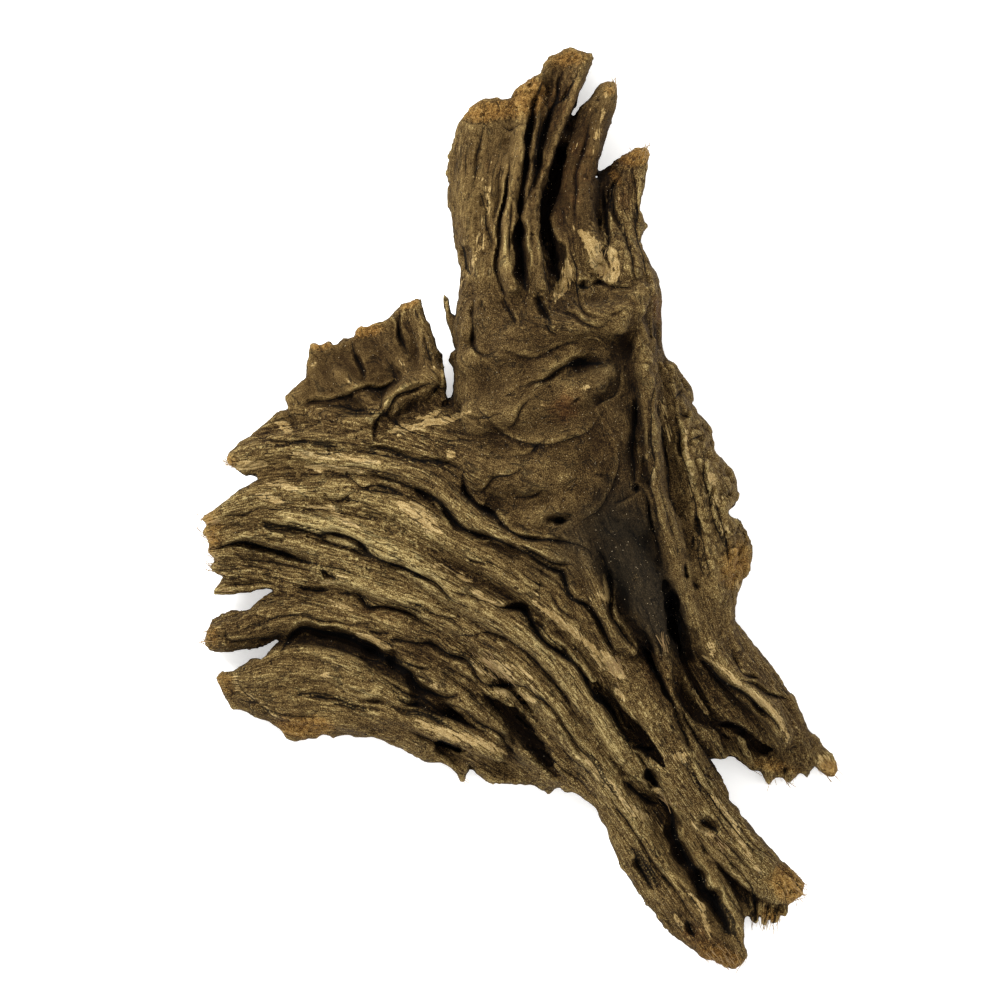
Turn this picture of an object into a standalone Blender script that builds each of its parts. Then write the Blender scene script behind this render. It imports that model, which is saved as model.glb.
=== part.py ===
"""A piece of honeycomb driftwood: the weathered crown of a root, lying on its low side.

The wood grew as one piece. It is modelled as strands that follow the grain, and as thin
plates where sheets of wood have broken off. They are fused into one body, hollowed where
rot and water opened it, and then parted at the main forks into one solid for each limb.
Plan sizes are X to the right and Y up as the piece is looked down on, and Z is height
above the surface that it lies on.
"""

import math
from dataclasses import dataclass

import bmesh
import bpy
from mathutils import Matrix, Vector

# Everything in the tables is in millimetres, and the meshes are in metres.
MM = 0.001

LENGTH = 307.0
FUSE_VOXEL = 1.9
FUSE_SMOOTHING = 3
VOID_VOXEL = 1.6
SOLID_FACES = 9000
FORK_GAP = 0.45
SAMPLE_STEP = 5.0
RING_SIDES = 12
TABLE_CUT_DEPTH = 60.0
FORK_PRISM_BOTTOM = -20.0
FORK_PRISM_TOP = 110.0

# Each end of a strand is closed by two more rings: how far out, and how wide, as shares.
END_RINGS = ((0.5, 0.85), (0.85, 0.48))
# No strand is drawn thinner than this, which is as fine as the fused skin can hold.
LEAST_HALF_SIZE = 0.6


@dataclass(frozen=True)
class Strand:
    """A run of wood along the grain: stations of x, y, z, half width and half height."""

    name: str
    stations: tuple


@dataclass(frozen=True)
class Plate:
    """A sheet of wood: its outline as x, y and z of the mid surface, and half its thickness."""

    name: str
    outline: tuple
    half_height: float


@dataclass(frozen=True)
class Limb:
    """The plan outline that a limb fills beyond its fork."""

    node: str
    outline: tuple




TRUNK = (
    Strand("trunk core", (
        (6, 78, 34, 18, 17), (9, 58, 38, 25, 21), (14, 34, 38, 31, 25), (18, 10, 38, 34, 26),
        (22, -12, 35, 32, 24), (28, -33, 31, 24, 19))),
    Strand("right flank", (
        (39, 60, 33, 6, 18), (42, 42, 30, 10, 20), (48, 24, 27, 14, 21), (55, 6, 25, 15, 21),
        (59, -12, 25, 15, 20), (60, -28, 26, 11, 18), (62, -42, 26, 9, 15))),
    Strand("neck edge", (
        (-15, 38, 36, 7, 14), (-16, 52, 36, 6, 13), (-15, 68, 34, 6, 13), (-13, 82, 31, 6, 11))),
    Strand("neck sliver", ((-21.5, 55, 33, 1.4, 4), (-23.6, 64, 31, 1.2, 3), (-24.8, 70, 30, 0.8, 2))),
    Strand("neck brow", (
        (-14, 50, 45, 7, 9), (0, 56, 50, 8, 10), (16, 60, 53, 7, 10), (30, 62, 51, 6, 10),
        (38, 68, 44, 6, 11))),
    Strand("right shoulder", (
        (37, 94, 27, 3, 5), (39, 84, 29, 4, 8), (41.5, 75, 31, 5.5, 10), (41.5, 62, 34, 5.5, 13))),
    Strand("cheek", ((-12, 30, 49, 8, 9), (4, 33, 56, 7, 8), (18, 38, 59, 6, 7), (27, 44, 56, 5, 7))),
    Strand("boss", ((-10, 14, 48, 9, 11), (4, 12, 56, 9, 9), (22, 10, 58, 8, 8))),
    Strand("eye ridge", ((-4, -4, 53, 4, 6), (6, -2, 58, 4, 5), (16, 2, 60, 4, 5), (25, 8, 59, 4, 6))),
    Strand("dark slope", ((30, 28, 56, 7, 8), (33, 12, 55, 8, 9), (34, -4, 53, 8, 8))),
    Strand("flank crest", (
        (40, 62, 44, 4, 8), (41.5, 44, 48, 4, 11), (43, 24, 50, 4, 12), (45, 6, 48, 4, 12),
        (49, -10, 44, 5, 11), (53, -24, 41, 4.5, 10), (57, -36, 38, 4, 9))),
    Strand("flank rib", (
        (48, 46, 37, 3, 9), (52, 32, 38, 3.5, 10), (55, 16, 38, 3.5, 10), (58, 0, 37, 3.5, 10),
        (62, -14, 36, 3.5, 9), (65, -28, 35, 3, 8))),
    Strand("outer rib", (
        (55, 36, 28, 3.5, 8), (60, 22, 30, 3.5, 8), (64, 8, 31, 4, 8), (67, -6, 30, 3.5, 7))),
    Strand("flank knuckle high", ((52, 42, 24, 4, 8), (54.5, 38, 22, 2.5, 6))),
    Strand("flank knuckle mid", ((57, 29, 22, 5, 9), (61, 24, 21, 3.5, 7))),
    Strand("flank knuckle low", ((65, 13, 20, 5, 10), (68, 6, 19, 5, 9))),
    Strand("flank elbow", (
        (69, -6, 20, 3.5, 8), (73, -15, 20, 4.5, 9), (70, -23, 22, 4, 9), (67, -36, 23, 5, 10))),
)

RIDGES = (
    Strand("upper ridge", (
        (-74, 20, 28, 3, 4), (-62, 17, 35, 3.5, 5), (-45, 14, 42, 4.5, 6), (-31, 10, 47, 5, 7),
        (-23, 3, 51, 5, 7), (-12, -5, 54, 4.5, 7), (0, -11, 55, 4.5, 7), (12, -15, 54, 4.5, 7),
        (20, -20, 52, 4, 7))),
    Strand("grey finger", (
        (19, -10, 56, 4, 6), (23, -20, 55, 4, 7), (27, -31, 52, 4.5, 7), (31, -40, 48, 4.3, 6),
        (36.5, -46, 44, 3.2, 4.5))),
    Strand("dark finger", (
        (32, -8, 54, 6, 8), (38, -20, 52, 6.5, 8), (42, -32, 48, 6, 8), (46, -41, 44, 3.8, 6),
        (47, -45, 42, 2.5, 4))),
    Strand("second ridge", (
        (-56, 4, 36, 4, 5), (-40, 0, 43, 5, 6), (-22, -10, 47, 5.5, 7), (-6, -19, 50, 6, 8),
        (8, -29, 49, 6, 8), (20, -43, 44, 4.5, 7), (27, -53, 40, 2.5, 4))),
    Strand("third ridge", (
        (10, -24, 50, 4, 7), (20, -32, 48, 4, 7), (28, -46, 43, 3.5, 6), (34, -56, 38, 3, 5))),
    Strand("long ridge", (
        (-78, -3, 27, 4.5, 5), (-62, -7, 34, 5, 6), (-42, -15, 40, 5.5, 7), (-22, -27, 44, 6, 8),
        (-4, -37, 45, 6.5, 8), (10, -47, 43, 7, 9), (21, -60, 39, 6.5, 9), (29, -73, 35, 5, 8),
        (36, -84, 30, 4, 6), (47, -95.5, 24, 1.6, 3))),
    Strand("lower ridge", (
        (-66, -20, 26, 4, 5), (-50, -24, 32, 4.5, 6), (-28, -34, 36, 5, 7), (-8, -46, 37, 5.5, 8),
        (8, -61, 34, 6, 9), (20, -78, 29, 6, 9), (30, -93, 25, 5, 8), (40, -107, 21, 4, 7))),
    Strand("low ridge", (
        (-46, -36, 28, 4, 5), (-28, -43, 30, 4.5, 6), (-14, -54, 29, 5, 7), (-2, -68, 24, 4.5, 7),
        (10, -80, 21, 5, 7))),
)

FAN = (
    Strand("fan upper root", (
        (-94, 17, 21, 4.5, 5.5), (-76, 20, 26, 9, 7.5), (-56, 20, 30, 13, 10), (-35, 18, 34, 17, 14),
        (-10, 14, 37, 20, 20))),
    Strand("fan middle root", (
        (-103, -3, 18, 3.5, 4.5), (-86, 0, 22, 8, 7), (-60, 0, 27, 12, 10), (-35, -4, 32, 14, 14),
        (-10, -12, 35, 16, 18), (8, -24, 34, 15, 18), (18, -40, 31, 13, 16))),
    Strand("fan lower root", (
        (-104, -9, 15, 3.2, 4), (-86, -8.5, 18, 5, 6), (-62, -15, 23, 8, 9), (-37, -23, 28, 10, 13),
        (-12, -35, 30, 13, 15), (8, -52, 28, 13, 15), (22, -72, 24, 12, 13), (33, -90, 19, 11, 11))),
    Strand("split root", (
        (-103, -19, 11, 3.5, 3.5), (-88, -19.5, 14, 5, 5), (-68, -24, 18, 7, 7),
        (-48, -31, 22, 8, 9), (-25, -40, 25, 10, 11))),
    Strand("splinter root", (
        (-102, -27.5, 9, 1.6, 2), (-92, -25.5, 11, 3, 3), (-80, -26, 14, 4, 4.5),
        (-66, -29, 17, 6, 6))),
    Strand("fan tongue", (
        (-97, 15.5, 24, 2.5, 3.5), (-84, 19, 28, 4, 4.5), (-66, 22, 34, 4.5, 6), (-50, 22, 38, 5, 7))),
    Strand("fan rib", (
        (-104, -3.5, 19, 2, 3), (-88, 4, 26, 4, 4.5), (-70, 6, 31, 4.5, 5.5), (-52, 8, 37, 4.5, 6),
        (-36, 5, 42, 4, 6))),
    Strand("fan low rib", (
        (-103, -11, 18, 2, 3), (-86, -9, 24, 3, 4.5), (-66, -14, 29, 3.5, 5), (-48, -20, 34, 3.5, 5))),
    Strand("sheet fold", (
        (-26, 44, 40, 3, 5), (-34, 41, 41, 4, 5.5), (-43, 34, 40, 4.5, 6), (-52, 29, 37, 4.5, 6),
        (-66, 31, 32, 4, 5))),
    Plate("top sheet", (
        (-24.5, 36, 36), (-25.5, 45, 34), (-27, 52, 32), (-31.5, 62, 30), (-33.5, 69, 28),
        (-38.5, 68.5, 28), (-42, 65, 28), (-48, 62, 28), (-54, 60.5, 28), (-56, 56.5, 28),
        (-61, 54.5, 27), (-70, 55, 26), (-71, 49, 27), (-74, 41, 27), (-78.5, 37, 26),
        (-77.5, 33, 26), (-74, 26, 27), (-50, 24, 34), (-34, 26, 38)), 4.5),
    Strand("sheet rib east", ((-34, 66, 31, 2.2, 3.5), (-31, 55, 36, 3.2, 4.5), (-28.5, 44, 40, 4, 5))),
    Strand("sheet rib middle", ((-46, 60, 30, 3, 3.5), (-40, 50, 34, 3.5, 4.5), (-33, 38, 39, 4, 5))),
    Strand("sheet rib west", ((-66, 53, 28, 3, 3.5), (-60, 44, 32, 4, 4.5), (-50, 36, 36, 4, 5))),
    Plate("shoulder sheet", (
        (-78, 34, 22), (-88, 26, 20), (-95.5, 22, 19), (-98, 16, 20), (-97, 12.5, 20), (-92, 11, 21),
        (-86, 10.5, 24), (-60, 14, 29), (-52, 32, 30)), 4.0),
    Plate("middle sheet", (
        (-86, 10, 22), (-95, 5, 20), (-101.5, 0, 19), (-106, -3.5, 18), (-104, -6, 18),
        (-106, -8, 17), (-103, -12, 16), (-104, -15, 16), (-100, -17, 16), (-85, -14, 20),
        (-64, -12, 25), (-60, 12, 29)), 3.8),
    Plate("split sheet", (
        (-104, -14.5, 14), (-101, -17, 13), (-104, -19.5, 12), (-103.5, -22, 11), (-99, -23.5, 11),
        (-84, -24.5, 13), (-62, -26, 19), (-64, -16, 22), (-86, -12, 17)), 3.5),
)

FINGER = (
    Strand("left finger", (
        (-100.5, -42.5, 8, 5, 6.5), (-93, -41, 10, 6.3, 8), (-84, -37, 13, 6.5, 8),
        (-70, -34.5, 17, 7.5, 9), (-50, -38, 21, 8.5, 10), (-30, -46, 23, 9, 11),
        (-15, -55, 24, 9, 11))),
    Strand("finger end", ((-103, -44, 8, 2.5, 4), (-98, -44.5, 9, 3.5, 6))),
    Strand("knee", (
        (-42, -49, 19, 5, 9), (-28, -54, 22, 7, 11), (-17, -62, 22, 7.5, 11), (-8, -72, 18, 5.5, 9),
        (-4, -79, 15, 2.5, 5))),
    Strand("finger web", (
        (-78, -42, 10, 4, 5), (-64, -46, 12, 8, 7), (-46, -52, 13, 9, 9), (-30, -62, 14, 9, 9))),
)

LOBE = (
    Strand("lobe core", (
        (-95, -60, 5, 5, 7), (-84, -61, 8, 10, 10), (-68, -61, 11, 13.5, 11),
        (-50, -64, 13, 12.5, 12), (-34, -72, 12, 11, 11), (-24, -79, 9, 6.5, 8))),
    Strand("lobe shoulder", (
        (-98.5, -57.5, 8, 3, 4.5), (-86, -56, 15, 4.5, 5), (-70, -53, 20, 5, 5),
        (-54, -56, 23, 5, 6), (-40, -63, 23, 5, 6))),
    Strand("lobe crest", (
        (-89, -52.5, 12, 2, 4), (-80, -48.5, 17, 2.6, 5), (-68, -48, 21, 3, 5), (-56, -52, 24, 4, 5))),
    Strand("lobe edge", (
        (-92, -64, 4, 4, 5), (-80, -72, 5, 5, 6), (-71, -74, 6, 4, 6), (-58, -72, 7, 5, 7),
        (-44, -75, 7, 5, 7), (-34, -81, 7, 4, 6))),
    Strand("tan tongue", (
        (-46, -67, 22, 3, 4), (-36, -70, 23, 4, 4.5), (-25, -74, 22, 4.3, 5), (-14, -78, 21, 4.3, 5),
        (-8, -81, 19, 3.6, 4.5))),
    Strand("thorn", ((-32, -80, 9, 5, 8), (-23, -85.5, 7, 4, 6), (-19, -90.5, 5, 1.8, 4))),
    Strand("skirt", (
        (-24, -80, 6, 6, 5), (-12, -85, 7, 6, 5), (-3, -88, 7, 5, 5), (4, -90, 7, 3, 5),
        (10, -94, 5, 1.8, 3.5))),
    Strand("skirt root", ((-16, -76, 10, 8, 6), (0, -80, 11, 8, 7), (14, -86, 12, 8, 8))),
    Strand("skirt floor", ((-26, -70, 8, 7, 6), (-8, -72, 9, 9, 6), (8, -76, 11, 9, 7))),
)

ARM = (
    Strand("arm left", (
        (4, -80, 17, 7, 10), (18, -84, 17, 9, 11), (33, -96, 16, 10, 12), (41, -111.5, 14, 10.5, 12),
        (50, -125, 11.5, 10.5, 11), (58.5, -135.5, 9, 10, 10.5), (66, -145, 6.5, 7.5, 8.5),
        (71, -150, 5, 4, 6))),
    Strand("arm right", (
        (34, -54, 34, 9, 10), (41, -67, 32, 9.5, 12), (50, -82, 28, 10, 12), (59, -96, 24, 9.5, 12),
        (68, -108.5, 20, 9.5, 11), (78, -119, 16, 8.5, 10), (86, -126, 13, 6.5, 9),
        (90.5, -128, 12, 4.5, 8))),
    Strand("arm right crest", (
        (48, -72, 36, 3.5, 6), (60, -92, 32, 3.5, 6), (71, -108, 27, 3.5, 6), (82, -119, 22, 3, 5))),
    Strand("arm left crest", (
        (24, -88, 26, 3.5, 5), (37, -104, 24, 3.5, 5), (48, -119, 21, 3.5, 5), (60, -134, 17, 3.5, 5))),
    Strand("arm middle", (
        (52, -106, 20, 4, 7), (59, -117, 18, 4.5, 7), (66, -128, 15, 4.5, 7), (71, -139, 11, 4, 6),
        (73.5, -148, 7, 2.8, 5))),
    Strand("arm web", (
        (38, -78, 18, 9, 8), (48, -96, 14, 9, 8), (58, -112, 10, 9, 8), (69, -125, 7, 8, 6),
        (74, -134, 5, 4.5, 5))),
    Strand("twisted strand", (
        (46, -42, 36, 4, 8), (50, -54, 33, 4.5, 9), (56, -67, 28, 5, 9), (62, -76, 22, 4.5, 8),
        (66, -82, 17, 3, 6))),
    Strand("arm armpit", (
        (52, -50, 16, 9, 8), (58, -62, 14, 9, 8), (62, -75, 12, 7, 7), (63, -84, 11, 4, 6))),
    Strand("fringe one", ((80, -128, 8, 2, 3), (78.5, -137, 5, 1.3, 2.5))),
    Strand("fringe two", ((82.5, -128, 8, 2, 3), (81.5, -138.5, 5, 1.4, 2.5))),
    Strand("fringe three", ((86, -128, 8, 2, 3), (84.8, -137.5, 5, 1.3, 2.5))),
    Strand("fringe four", ((88, -128, 8, 2, 3), (87.3, -135, 6, 1.1, 2.5))),
)

BRANCH = (
    Strand("branch outer", (
        (61, -30, 27, 9.5, 16), (66.5, -44, 24, 9, 14), (76, -57, 19, 9, 12), (85, -69, 14, 8.5, 10),
        (93, -79, 8, 6.5, 9), (99.5, -84.5, 5.5, 4.8, 7), (104, -88, 4.5, 2.4, 4.5))),
    Strand("branch crest", (
        (58, -36, 36, 5, 9), (65, -49, 34, 4.5, 9), (74, -59, 31, 4.5, 8), (82, -67, 27, 4, 7),
        (88, -76, 21, 2.6, 5))),
    Strand("branch inner wall", (
        (58, -50, 20, 6, 13), (66, -62, 17, 8, 12), (74, -72, 13, 7, 10), (78, -80, 9, 5, 8))),
    Strand("claw floor", ((72, -76, 5, 6, 5), (81, -83, 3.5, 6, 5), (90, -84, 4, 5, 6))),
    Strand("claw one", ((76, -80, 7, 4, 7), (77.5, -86.5, 4, 3, 5))),
    Strand("claw two", ((83, -84, 6, 3, 6), (83, -90.5, 4, 2, 4))),
    Strand("claw three", ((90, -81, 8, 4, 8), (90.5, -89.5, 4, 2, 4))),
    Strand("claw four", ((95, -82, 7, 4, 7), (95, -88.5, 4, 1.8, 4))),
)

UPPER = (
    Strand("slab", (
        (-8, 60, 36, 14, 19), (-9, 78, 32, 12, 15), (-10, 95, 28, 13, 11.5),
        (-10, 112, 24, 13.8, 9.5), (-9, 124, 20.5, 12, 8.5), (-8, 129, 19, 10.5, 8))),
    Strand("slab rib", (
        (1, 138, 19, 2.6, 6), (-1, 118, 27, 3.2, 8), (-3.5, 98, 35, 3.2, 9), (-4.5, 84, 42, 3.2, 10),
        (-2, 70, 47, 4, 12))),
    Strand("slab west rib", (
        (-14, 131, 22, 3, 4), (-17, 112, 29, 3.5, 5), (-16, 92, 36, 3.5, 6), (-13, 74, 43, 4, 7))),
    Strand("slab edge", (
        (6, 142, 16, 2.5, 6), (5.5, 125, 23, 2.4, 8), (3.2, 108, 31, 2.4, 9), (2, 92, 38, 2.4, 10),
        (3, 76, 45, 3, 12))),
    Strand("tall prong", (
        (17, 148, 6, 7.2, 7.5), (14, 140, 9, 7.4, 9), (11.5, 128, 14, 5.4, 10),
        (8.2, 114, 21, 4, 11), (5.8, 100, 29, 3.2, 12), (6.5, 86, 36, 4, 14), (8, 70, 41, 6, 18))),
    Strand("tall prong crest", (
        (21, 149, 11, 2, 3.5), (17, 138, 18, 2.4, 4), (13, 124, 25, 2.4, 5), (9, 108, 33, 2.2, 6))),
    Plate("slab top", (
        (-20, 125, 20), (-19, 132, 18), (-14, 135, 17), (-9, 136.5, 17), (-4, 136.5, 17),
        (0, 140, 16), (5, 143.5, 15), (8, 145, 13), (9, 130, 17), (0, 115, 22)), 6.0),
)

MIDDLE_PRONG = (
    Strand("middle prong", (
        (29.3, 139, 10, 3.6, 4), (27.5, 135, 11.5, 4.8, 5.5), (24.3, 130, 13, 6.4, 7),
        (21.7, 122, 16, 6.8, 9), (19.3, 112, 20, 6.8, 10), (18, 98, 25, 8, 12), (18, 82, 31, 9, 14),
        (18, 66, 36, 11, 17))),
    Strand("middle prong crest", (
        (30, 138, 12.5, 2, 3), (26, 126, 21, 2.5, 4), (22, 110, 28, 3, 5), (22, 96, 34, 3.5, 6),
        (24, 82, 41, 4, 7))),
)

RIGHT_PRONG = (
    Strand("right prong", (
        (40.5, 117.5, 14, 3.4, 4), (37, 113, 17, 5.6, 6), (34.5, 106, 20, 6.4, 8),
        (33.5, 98, 23, 6.8, 9), (34, 86, 28, 7.5, 11), (34, 74, 33, 9.5, 15), (31, 60, 38, 12, 18))),
    Strand("right prong edge", (
        (42, 118, 14, 1.8, 3), (40, 108, 20, 2.2, 5), (38, 98, 25, 2.4, 6), (38, 88, 30, 3, 7))),
    Strand("right prong lobe", (
        (28.5, 111, 16, 2.6, 4), (29, 103, 21, 3, 6), (30, 94, 26, 3.6, 8), (29, 80, 36, 4, 9))),
    Strand("prong web", (
        (18, 131, 7.5, 3, 3), (14, 120, 9.5, 5, 4), (12, 108, 14, 6, 6), (11, 94, 19, 7, 9))),
    Strand("right prong spur", ((37, 92, 24, 3, 4), (41.5, 93.5, 24, 1.2, 1.6))),
)

WOOD = TRUNK + RIDGES + FAN + FINGER + LOBE + ARM + BRANCH + UPPER + MIDDLE_PRONG + RIGHT_PRONG

# What rot and water have taken out of the fused body.

VOIDS = (
    Strand("prong slot", (
        (19.8, 136, 20, 1.1, 20), (15.8, 125, 27, 1.6, 17), (12.2, 113, 34, 2, 19),
        (10.4, 102, 42, 2.2, 20), (9.8, 92, 47, 2.2, 18), (11.5, 84, 52, 2, 10))),
    Strand("slab groove west", (
        (-6, 122, 31, 1.2, 5), (-9.5, 104, 38, 1.3, 6), (-10, 88, 44, 1.6, 7), (-8, 76, 50, 1.6, 7))),
    Strand("slab groove", (
        (2.5, 130, 31, 1.1, 6), (1, 112, 39, 1.2, 8), (-0.8, 96, 47, 1.4, 9), (-1, 82, 54, 1.8, 10),
        (0, 74, 58, 1.6, 7))),
    Strand("tall prong groove", (
        (12, 138, 21, 1, 4), (9.5, 128, 26, 1.1, 6), (6, 112, 34, 1.1, 7), (4.2, 98, 42, 1.2, 8))),
    Strand("prong fork", ((25.5, 112, 34, 1.4, 16), (25.8, 104, 38, 1.6, 12), (27, 96, 42, 1.6, 8))),
    Strand("arm slot", (
        (24, -59, 46, 1.8, 9), (31, -68, 42, 2.6, 14), (38, -75, 37, 2.8, 14), (45, -82, 32, 2.4, 12))),
    Strand("arm slit", ((42, -86, 33, 1.4, 8), (46, -93, 29, 1.8, 9))),
    Strand("arm valley", (
        (45, -98, 32, 2, 8), (51.5, -109, 28, 2.2, 9), (57, -120, 23, 2.2, 8), (63, -131, 19, 2, 8),
        (68, -141, 15, 1.6, 7))),
    Strand("arm wedge", ((71.5, -122, 24, 1.5, 6), (75, -130, 18, 1.8, 7), (77.5, -136, 12, 1.2, 6))),
    Strand("branch gap", (
        (50, -32, 50, 1.6, 12), (51.5, -42, 45, 2.2, 16), (53, -52, 38, 2.8, 16),
        (57, -62, 32, 3, 14), (64, -72, 22, 2.4, 8))),
    Strand("claw hollow", ((79, -78, 18, 2.6, 6), (81.5, -84, 11, 3, 5), (80.3, -93, 3, 1.6, 6))),
    Strand("branch groove", (
        (66, -40, 42, 1.2, 6), (72, -52, 38, 1.3, 6), (81, -62, 31, 1.3, 6), (90, -72, 24, 1.2, 5))),
    Strand("knee hollow", (
        (-12, -65, 36, 2, 7), (-4, -70, 30, 3.6, 10), (2, -76, 26, 4, 9), (6, -83, 22, 2.6, 7))),
    Strand("tongue hollow", ((-27, -79, 16, 1.6, 5), (-20, -83, 14, 2.4, 6), (-14, -88, 11, 2, 5))),
    Strand("deep fan groove", (
        (-97, -6.5, 24, 1, 3), (-83, -5.5, 29, 1.2, 4), (-66, -9.5, 36, 1.4, 5),
        (-50, -14.5, 42, 1.6, 6), (-36, -20.5, 46, 1.6, 6), (-22, -29, 49, 1.6, 6),
        (-8, -37, 50, 1.2, 4))),
    Strand("fan crack", (
        (-99, -13.5, 20, 1.2, 4), (-86, -14.5, 25, 1.6, 5), (-72, -18, 31, 2, 7),
        (-62, -23, 34, 1.8, 7), (-48, -30, 36, 1.4, 6), (-34, -37, 39, 1.2, 5))),
    Strand("finger crack", (
        (-80, -44.5, 20, 1.4, 8), (-66, -44, 24, 1.6, 7), (-52, -48, 28, 1.8, 7),
        (-41, -54, 30, 2, 7), (-33, -61, 30, 1.6, 6))),
    Strand("shoulder groove", (
        (-56, 24, 44, 1.2, 4), (-48, 24, 48, 1.4, 5), (-44, 31, 48, 1.5, 5), (-36, 38, 48, 1.5, 5),
        (-27, 43, 47, 1.3, 4))),
    Strand("upper groove", (
        (-71, 20.5, 36, 1, 3), (-50, 19.5, 46, 1.1, 4), (-35, 16, 54, 1.3, 5), (-23, 13, 60, 1.4, 5),
        (-18, 9, 62, 1.4, 5), (-15, 2, 63, 1.4, 5), (-6, -5, 64, 1.3, 4), (6, -10, 64, 1.2, 4),
        (20, -14, 62, 1.2, 4))),
    Strand("middle groove", (
        (-54, 8.5, 43, 1, 3), (-34, 4.5, 52, 1.3, 4), (-24, -2, 56, 1.4, 5), (-14, -8, 58, 1.4, 5),
        (1, -15.5, 60, 1.3, 5), (13, -22, 58, 1.3, 5), (20, -31, 55, 1.4, 5), (27, -42, 50, 1.4, 5))),
    Strand("brow hollow", (
        (3, 41, 64, 1.4, 3), (12, 45, 66, 2, 4), (21, 48.5, 64, 3.4, 6), (27, 50, 61, 2, 4))),
    Strand("brow arc", ((33, 52, 60, 1.2, 4), (33, 44, 62, 1.4, 4), (28, 36, 65, 1.3, 3))),
    Strand("neck arc", ((14, 66, 61, 1.2, 3), (22, 62.5, 62, 1.4, 4), (29, 64, 60, 1.2, 4))),
    Strand("flank groove", (
        (39, 38, 60, 1.6, 5), (37.5, 24, 63, 2, 6), (38.5, 10, 60, 2.2, 7), (40, 2, 58, 1.8, 6))),
    Strand("eye hole", ((9.5, -4, 63, 1.4, 4), (16, -3, 64, 1.6, 4))),
    Strand("neck notch", ((-24.5, 60, 30, 0.8, 40), (-23.5, 46, 34, 0.8, 40), (-23.2, 40, 38, 0.7, 40))),
    Strand("crown pocket", ((13, 88, 50, 2.6, 8), (13, 76, 55, 4, 8), (20, 73, 58, 3.4, 6))),
    Strand("underside hollow north", (
        (4, 74, 8, 12, 16), (8, 48, 6, 20, 15), (12, 24, 2, 24, 15), (16, 0, 0, 26, 15))),
    Strand("underside hollow south", (
        (16, 0, 0, 26, 15), (14, -24, 0, 24, 15), (24, -50, 0, 18, 14), (34, -72, -2, 13, 10))),
    Strand("underside hollow west", ((-12, 10, 4, 24, 15), (-40, 8, 0, 22, 14), (-64, 0, -4, 18, 14))),
    Strand("underside hollow fan", ((-20, -30, 2, 18, 13), (-46, -34, -2, 12, 9), (-62, -36, -4, 10, 7))),
    Strand("underside hollow east", (
        (40, 34, -4, 10, 14), (50, 8, -6, 12, 14), (54, -20, -4, 12, 15), (62, -42, -6, 9, 12))),
)

# The limbs beyond the main forks. What none of them takes is the knot.

LIMBS = (
    Limb("middle_prong", (
        (9.8, 101), (25.6, 101), (25.8, 112), (27.5, 120), (36, 160), (30, 160), (18.6, 133),
        (15, 124), (11.8, 113))),
    Limb("right_prong", ((22, 95), (60, 97), (60, 130), (34, 131), (22, 114))),
    Limb("upper_limb", (
        (-40, 72), (-21, 66), (9.3, 65), (9.6, 92), (12, 104), (17, 123), (20, 133), (32, 170),
        (-40, 171))),
    Limb("top_sheet", (
        (-110, 34), (-78, 34), (-60, 34), (-49, 30), (-42, 36), (-33, 41), (-24.6, 44), (-22.6, 60),
        (-26, 90), (-110, 91))),
    Limb("left_root_fan", (
        (-120, 35), (-48, 35), (-44, 18), (-40, -2), (-36, -20), (-46, -29), (-63, -30),
        (-84, -27.5), (-120, -33))),
    Limb("left_finger", ((-120, -29), (-84, -27), (-62, -30), (-62, -43), (-80, -45), (-120, -53))),
    Limb("lower_left_lobe", (
        (-120, -49), (-80, -44), (-62, -43), (-46, -50), (-36, -61), (-22, -68), (-12, -71),
        (-2, -79), (4, -84), (8, -91), (14, -110), (-120, -110))),
    Limb("lower_arm", (
        (8, -91), (26, -86), (46, -68), (58, -62), (68, -79), (72, -100), (130, -110), (130, -170),
        (0, -170), (0, -110))),
    Limb("right_branch", (
        (52, -46), (76, -38), (130, -38), (130, -108), (74, -100), (69, -81), (57, -65), (53, -55))),
)

# Node name, and the colour and roughness of its wood.
WOOD_COLOURS = {
    "knot": (0.075, 0.052, 0.033),
    "upper_limb": (0.160, 0.110, 0.052),
    "middle_prong": (0.110, 0.075, 0.036),
    "right_prong": (0.120, 0.082, 0.042),
    "top_sheet": (0.085, 0.055, 0.028),
    "left_root_fan": (0.140, 0.095, 0.045),
    "left_finger": (0.095, 0.066, 0.038),
    "lower_left_lobe": (0.105, 0.072, 0.038),
    "lower_arm": (0.150, 0.100, 0.050),
    "right_branch": (0.095, 0.060, 0.032),
}
WOOD_ROUGHNESS = 0.85


def clear_scene():
    """Removes whatever the file opened with."""
    for item in list(bpy.data.objects):
        bpy.data.objects.remove(item)


def along(stations):
    """Points on the smooth curve through the stations, about SAMPLE_STEP apart."""
    knots = [stations[0], *stations, stations[-1]]
    found = []
    for before, start, end, after in zip(knots, knots[1:], knots[2:], knots[3:]):
        count = max(1, round(math.dist(start[:3], end[:3]) / SAMPLE_STEP))
        for step in range(count):
            t = step / count
            found.append([
                0.5 * (
                    2 * b + (c - a) * t + (2 * a - 5 * b + 4 * c - d) * t ** 2
                    + (3 * b - a - 3 * c + d) * t ** 3)
                for a, b, c, d in zip(before, start, end, after)])
    found.append(list(stations[-1]))
    return found


def add_ring(mesh, centre, side, up, half_width, half_height):
    """Adds one elliptical ring of vertices and returns it."""
    ring = []
    for corner in range(RING_SIDES):
        angle = 2 * math.pi * corner / RING_SIDES
        point = centre + side * half_width * math.cos(angle) + up * half_height * math.sin(angle)
        ring.append(mesh.verts.new(point * MM))
    return ring


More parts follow.
